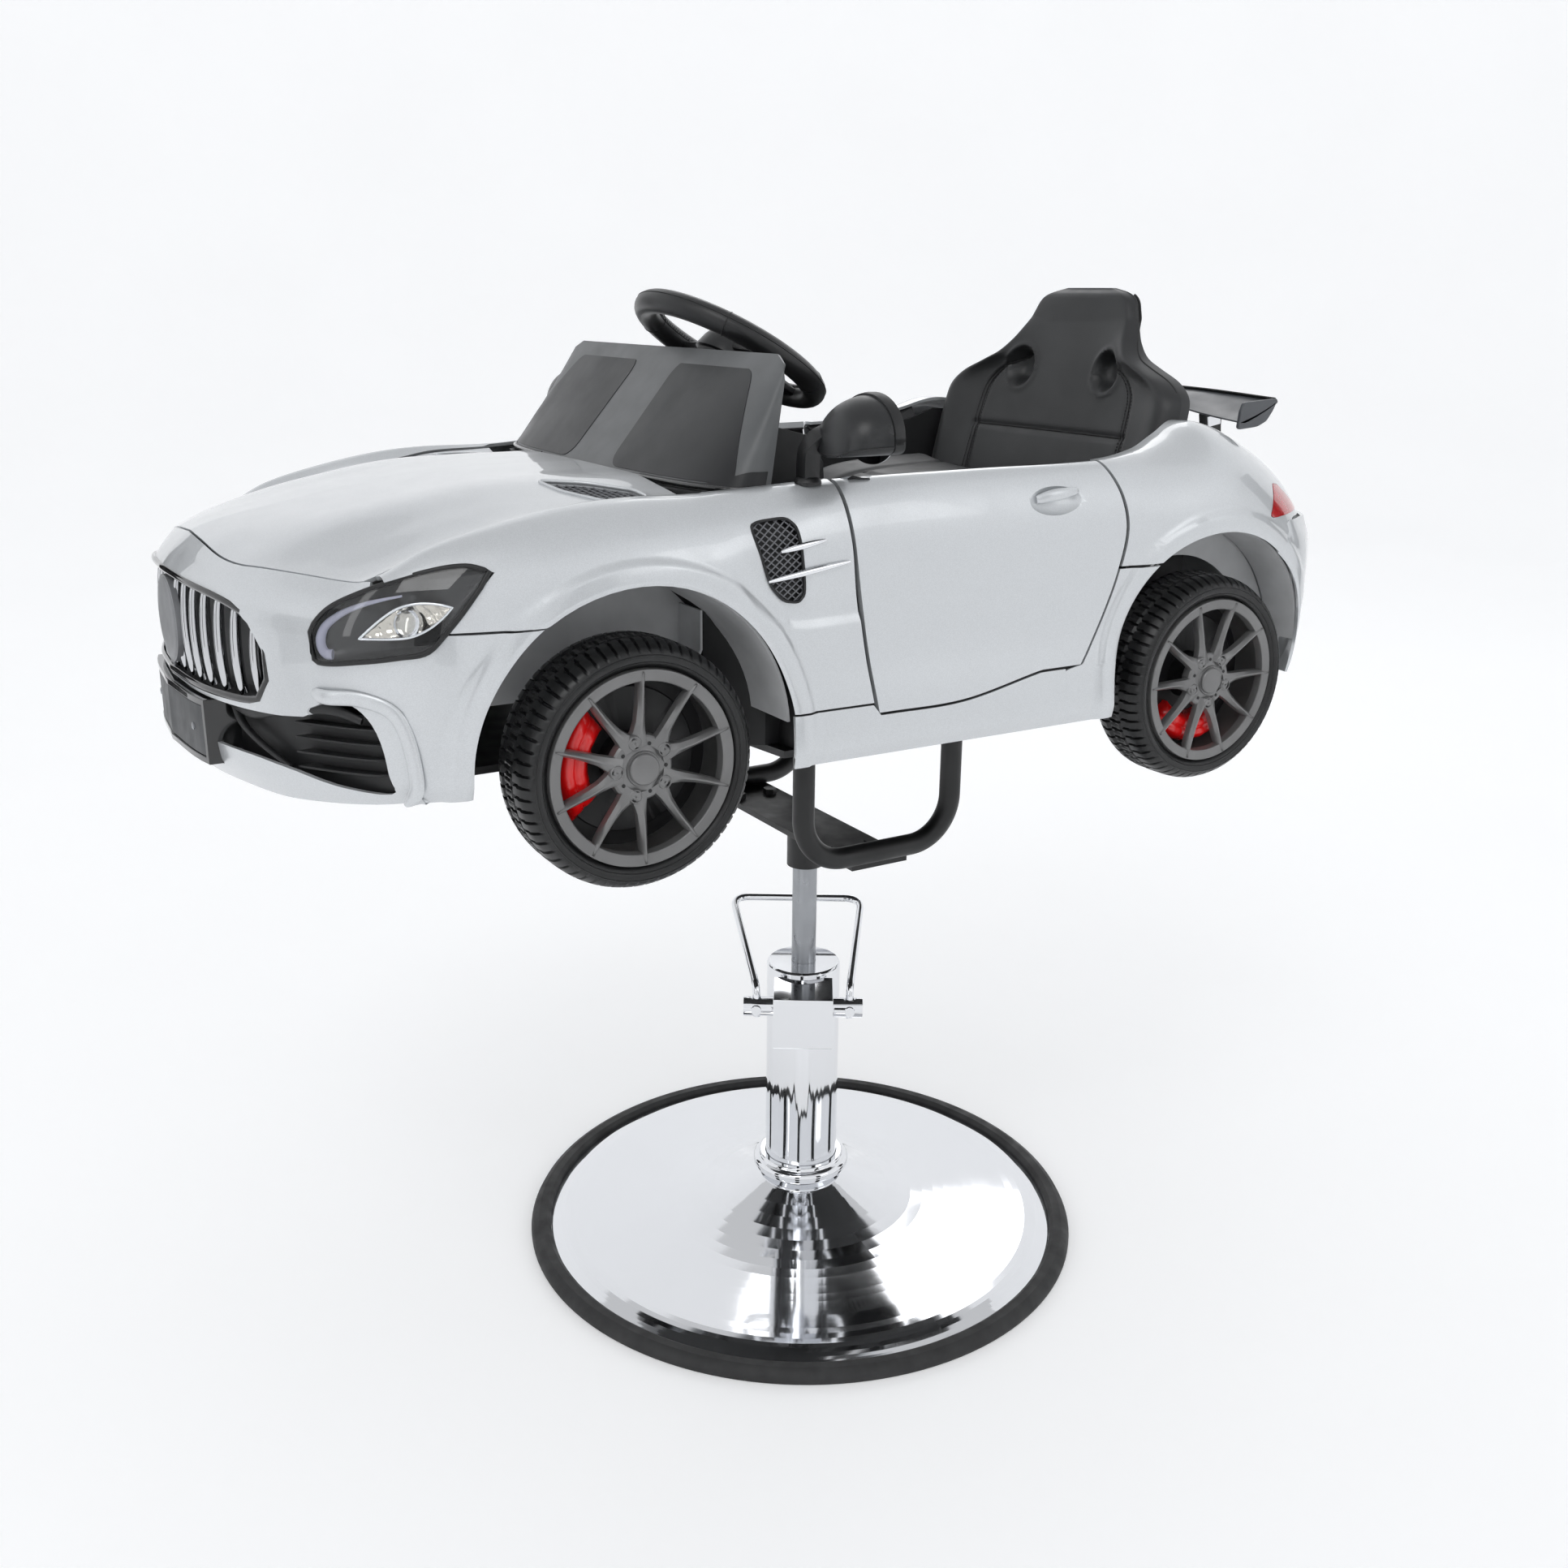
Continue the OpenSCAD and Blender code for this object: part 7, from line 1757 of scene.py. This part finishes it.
# Turned pieces of a wheel, in (radius, height over the face)
RING = [(69.4, -52), (BARREL, -55.8), (BARREL, -2.4), (75.3, -1.5), (74.5, -1.1), (67.4, -1.9), (66.6, -2.5),
        (66.0, -5.0), (65.8, -10), (67.2, -12.5), (69.0, -38)]
NAVE = [(12.4, -3.2), (13.4, -3.0), (14.0, -4.4), (16.0, -5.2), (23.6, -5.6), (25.2, -7.0), (26.4, -11.5),
        (26.0, -14), (10.0, -14), (10.0, -3.2)]
CAP = [(0.0, -0.1), (9.6, 0.0), (11.2, -0.5), (11.9, -1.5), (12.2, -4.5), (0.0, -4.5)]
NUT = [(0.8, -4.6), (0.9, -3.2), (2.5, -3.2), (3.0, -3.8), (3.0, -4.6)]
NUT_RING = [(4.3, -4.6), (4.4, -2.8), (5.0, -2.6), (5.7, -3.4), (6.4, -5.6), (4.3, -5.6)]
WELL = [(12.2, -14), (12.2, -46), (71.4, -46), (71.4, -38.6), (66, -38.4), (22, -36), (20, -32), (19, -14)]
BRAKE = [(24, -33.5), (56, -33.5), (57, -34.2), (57, -36.6), (24, -36.6)]
SPOKES, NUTS, NUT_FAR = 10, 5, 21.6


def off_centre(place, deg, far):
    """The frame of a small turned piece on the wheel's face."""
    y, z = far * cosd(deg), far * sind(deg)
    return lambda u, v, w: place(w, y + u, z + v)


def caliper_mesh(name, place):
    """A moulded caliper with two ribs across and a groove along its middle."""
    outer, inner = [], []
    for i in range(25):
        a, t = math.radians(128 + 92 * i / 24), i / 24
        rib = 1.2 * (0.30 < t < 0.36 or 0.64 < t < 0.70)
        soft = min(1, 5 * t, 5 * (1 - t))**0.5
        outer.append([])
        inner.append([])
        for j in range(13):
            r = lerp(35.0, 62.5, j / 12)
            side = min(1, 4 * j / 12, 4 * (1 - j / 12))**0.5
            top = -34 + 18.5 * (0.35 + 0.65 * soft * side) + rib - (2.0 if 0.42 < j / 12 < 0.58 else 0)
            outer[-1].append(place(top, r * math.cos(a), r * math.sin(a)))
            inner[-1].append(place(-36.5, r * math.cos(a), r * math.sin(a)))
    return between(name, outer, inner, 45)


def road_wheel(tag, place, tread):
    body = tag + "_wheel"
    at = lambda u, v, w: place(w, u, v)
    tyre = mesh_object(tag + "_tyre_tread", [place(*p) for p in tread[0]], tread[1])
    tidy(tyre)
    sharpen(tyre, 38)
    dress(tyre, TYRE, body, [tag + "_tyre"])
    wall = [lathe("t", [(r - 0.5, -1.2), (r - 0.35, 0.15), (r, 0.42), (r + 0.35, 0.15), (r + 0.5, -1.2)],
                  lambda u, v, w: place(w - dz, u, v), 180) for r, dz in ((81.0, 1.1), (86.4, 0.3))]
    line = join(tag + "_tyre_lines", wall)
    sharpen(line, 50)
    dress(line, TYRE, body)
    rim = [lathe("r", RING, at, 160)]
    rim += [spoke_loft("s", math.radians(18 + 360 / SPOKES * i), -1 if i % 2 else 1, place) for i in range(SPOKES)]
    rim.append(lathe("h", NAVE, at, 96))
    nuts = []
    for i in range(NUTS):
        turn = 360 / NUTS * i
        nut_at = off_centre(place, 36 + turn, NUT_FAR)
        rim += [lathe("n", NUT, nut_at, 28), lathe("n", NUT_RING, nut_at, 32)]
        nuts.append(lathe("n", [(0, -4.3), (4.4, -4.3), (4.4, -6.5), (0, -6.5)], nut_at, 28))
        nuts.append(lathe("n", [(0, -5.1), (1.5, -5.1), (1.5, -6.5), (0, -6.5)], off_centre(place, turn, 19.4), 28))
    rim.append(lathe("c", CAP, at, 72))
    metal = join(tag + "_rim_metal", rim)
    tidy(metal)
    sharpen(metal, 26)
    dress(metal, RIM, body, [tag + "_rim"])
    bolts = join(tag + "_wheel_bolts", nuts)
    sharpen(bolts, 28)
    dress(bolts, BLACK_STEEL, body)
    dark = join(tag + "_wheel_well", [lathe("w", WELL, at, 120), lathe("d", BRAKE, at, 120)])
    sharpen(dark, 35)
    dress(dark, TRIM, body)
    dress(edge(caliper_mesh(tag + "_caliper", place), 0.6), CALIPER, body)


def make_road_wheels():
    tread = tyre_mesh()
    for end, spin in (("front", 0.0), ("rear", math.pi / 2)):
        for side in ("left", "right"):
            road_wheel(end + "_" + side, axle_place(end == "front", side == "left", spin), tread)


# Foot loop with true bends
def make_loop():
    c, s = cosd(58), sind(58)
    out, z0, foot = 52.0, 268.0, 47.0
    pts = [(-foot, -out, z0 - 11), (-foot, -out, z0 + 20), (-78, -out + 135, z0 + 60.1), (-68.2, -out + 150, z0 + 62),
           (52.2, -out + 150, z0 + 62), (62, -out + 135, z0 + 60.1), (foot, -out, z0 + 20), (foot, -out, z0 - 11)]
    pts = [Vector(p) for p in pts]
    pts[2:4] = [(pts[2] + pts[3]) / 2 + Vector((-5, 3, 0))]
    pts[3:5] = [(pts[3] + pts[4]) / 2 + Vector((5, 3, 0))]
    path = [pts[0]]
    for i in range(1, len(pts) - 1):
        a, b, d = pts[i - 1], pts[i], pts[i + 1]
        bend = 11 if i in (1, len(pts) - 2) else 20
        p, q = b + (a - b).normalized() * bend, b + (d - b).normalized() * bend
        for k in range(11):
            t = k / 10
            path.append(p * (1 - t)**2 + b * 2 * t * (1 - t) + q * t * t)
    path.append(pts[-1])
    loop = tube("foot_loop_rod", [(p.x * c - p.y * s, p.x * s + p.y * c, p.z) for p in path], 4.0, 20)
    dress(loop, CHROME, "lever", ["foot_loop"])


# Seat: padded back and cushion with seams, recesses and piping
SEAT_W, SEAT_Y, BACK_LOW, BACK_H, BACK_T = 354.0, 285.6, 746.54, 218.46, 34.0
back_half_t = [(0, 0.46), (0.12, 0.49), (0.3, 0.50), (0.48, 0.50), (0.55, 0.487), (0.61, 0.438), (0.66, 0.36),
               (0.70, 0.302), (0.76, 0.262), (0.82, 0.24), (0.90, 0.216), (0.95, 0.196), (0.98, 0.16), (1, 0.10)]


def back_front(k, v, x):
    bolster = min(1, abs(k)**4) * (0.75 if v < 0.68 else max(0, 0.75 - (v - 0.68) * 4))
    edge_roll = 0.22 * soft_step(abs(k), 0.86, 1.0)**2
    d = ((abs(x) - 65) / 17.5)**2 + ((BACK_LOW + v * BACK_H - 886) / 19)**2
    slots = 0.46 * (1 - soft_step(d, 0.25, 1.25))
    lip = 0.05 * math.exp(-((d - 1.35) / 0.35)**2)
    dome = 0.30 * (1 - k * k) * (max(v - 0.85, 0) / 0.15)
    line = abs(k) - lerp(0.66, 0.60, v)
    seam = 0.05 * math.exp(-(line / 0.018)**2) * (v < 0.70)
    crease = 0.06 * math.exp(-((BACK_LOW + v * BACK_H - 825) / 3.0)**2) * (abs(k) < 0.66)
    puff = 0.05 * math.cos(k * math.pi / 1.3) * (abs(k) < 0.65) * math.sin(math.pi * min(1, v / 0.36)) * (v < 0.36)
    return BACK_T * (bolster - slots + lip + dome * 0.4 - seam - crease + puff - edge_roll)


def back_point(k, v, front):
    half = SEAT_W * curve(v, back_half_t)
    x = k * half
    y0 = SEAT_Y + 0.28 * (v * BACK_H - BACK_H * 0.35)
    roll = abs(k)**6
    top = soft_step(v, 0.94, 1.0)
    mid = y0 + BACK_T * 0.42 * (1 - 0.35 * v)
    if front:
        y = y0 - back_front(k, v, x)
    else:
        y = y0 + BACK_T * (1 - 0.5 * roll - 0.35 * v) - 2.0 * math.exp(-((abs(k) - 0.62) / 0.02)**2) * (v < 0.8)
    close = min(1, abs(k)**22 + top**3)
    return (x, lerp(y, mid, 0.62 * close), BACK_LOW + v * BACK_H)


def make_seat():
    vs = refine([0, 0.04, 0.3, 0.56, 0.78, 0.95, 1.0], 22)
    ks = [sind(90 * t) for t in [-1 + i / 66 for i in range(133)]]
    back = between("seat_back_pad", [[back_point(k, v, True) for k in ks] for v in vs],
                   [[back_point(k, v, False) for k in ks] for v in vs], 60)
    dress(back, LEATHER, "car", ["seat_back"])
    seams = []

    def sew(points, out=(0, 0, 0.2), r=0.9, sides=6):
        seams.append(tube("s", [Vector(p) + Vector(out) for p in points], r, sides))
    for way in (1, -1):
        sew([back_point(way * lerp(0.66, 0.60, v), v, True) for v in refine([0.03, 0.69], 60)], (0, -0.2, 0))
        for off in (-0.02, 0.02):
            for v in refine([0.04, 0.685], 46)[:-1]:
                sew([back_point(way * (lerp(0.66, 0.60, u) + off), u, True) for u in (v, v + 0.004, v + 0.0085)],
                    (0, -0.25, 0), 0.42, 5)
    v0 = (825 - BACK_LOW) / BACK_H
    sew([back_point(k, v0, True) for k in refine([-0.62, 0.62], 60)], (0, -0.2, 0))
    run = [back_point(0.985, v, True) for v in refine([0.0, 0.97], 120)]
    for way in (1, -1):
        seams.append(tube("s", [(way * x, y + 3.5, z) for x, y, z in run], 1.3, 8))
    dress(join("seat_back_seams", seams), THREAD, "car")

    half, y0, y1, z0, rise = SEAT_W * 0.44, y_at(0.635), 234.99, lift(0.62), BODY_H * 0.3

    def cushion_top(k, t):
        base = 0.62 + 0.24 * abs(k)**4 + 0.10 * t - 0.35 * (1 - t)**6 - 0.12 * abs(k)**14
        seam = 0.05 * math.exp(-((abs(k) - 0.66) / 0.02)**2)
        band = 0.05 * math.exp(-((t - 0.34) / 0.018)**2) * (abs(k) < 0.66)
        swell = math.sin(math.pi * min(max((t - 0.05) / 0.9, 0), 1))
        puff = 0.045 * math.cos(math.pi * k / 1.32) * swell * (abs(k) < 0.66)
        return rise * (base - seam - band + puff)

    def cushion_point(k, t, top):
        kk = k * (1 - 0.02 * (1 - math.sin(math.pi * t))**2)
        close = min(1, abs(k)**30 + abs(2 * t - 1)**40)
        z = cushion_top(k, t) * (1 - 0.30 * close) if top else 0.5 + 5 * close
        return (kk * half, lerp(y0, y1, t), z0 + z)
    ks = [sind(90 * t) for t in [-1 + i / 50 for i in range(101)]]
    ts = [0.5 - 0.5 * math.cos(math.pi * t) for t in steps(80)]
    pad = between("seat_cushion_pad", [[cushion_point(k, t, True) for k in ks] for t in ts],
                  [[cushion_point(k, t, False) for k in ks] for t in ts], 70)
    dress(pad, LEATHER, "car", ["seat_cushion"])
    seams.clear()
    for way in (1, -1):
        sew([cushion_point(way * 0.66, t, True) for t in refine([0.02, 0.98], 50)])
    sew([cushion_point(k, 0.34, True) for k in refine([-0.65, 0.65], 50)])
    dress(join("seat_cushion_seams", seams), THREAD, "car")


# Dials and small fittings on the dashboard
def make_dash():
    z, y = lift(1.0), y_at(0.4715)
    parts, faces = [], []
    for x in (-46, 46):
        place = lambda u, v, w, x=x: (x + u, y + w, z + v)
        bezel = [(17, -2.0), (19.2, -2.0), (20.6, -0.4), (20.8, 1.8), (19.6, 3.0), (18.2, 2.4), (17.2, 0.2)]
        parts.append(lathe("d", bezel, place, 64))
        faces.append(lathe("f", [(0, -0.5), (17.6, -0.5), (17.6, 0.6), (0, 0.6)], place, 64))
        for i in range(11):
            a = math.radians(215 - 25 * i)
            faces.append(tube("k", [(x + r * math.cos(a), y + 0.9, z + r * math.sin(a)) for r in (13.2, 16)], 0.5, 5))
        parts.append(tube("n", [(x, y + 1.4, z), (x - 8, y + 1.4, z + 9)], [1.2, 0.4], 8))
    dress(join("dial_rings", parts), CHROME, "car")
    dress(join("dial_faces", faces), GLOSS, "car")


make_road_wheels()
make_loop()
make_seat()
make_dash()
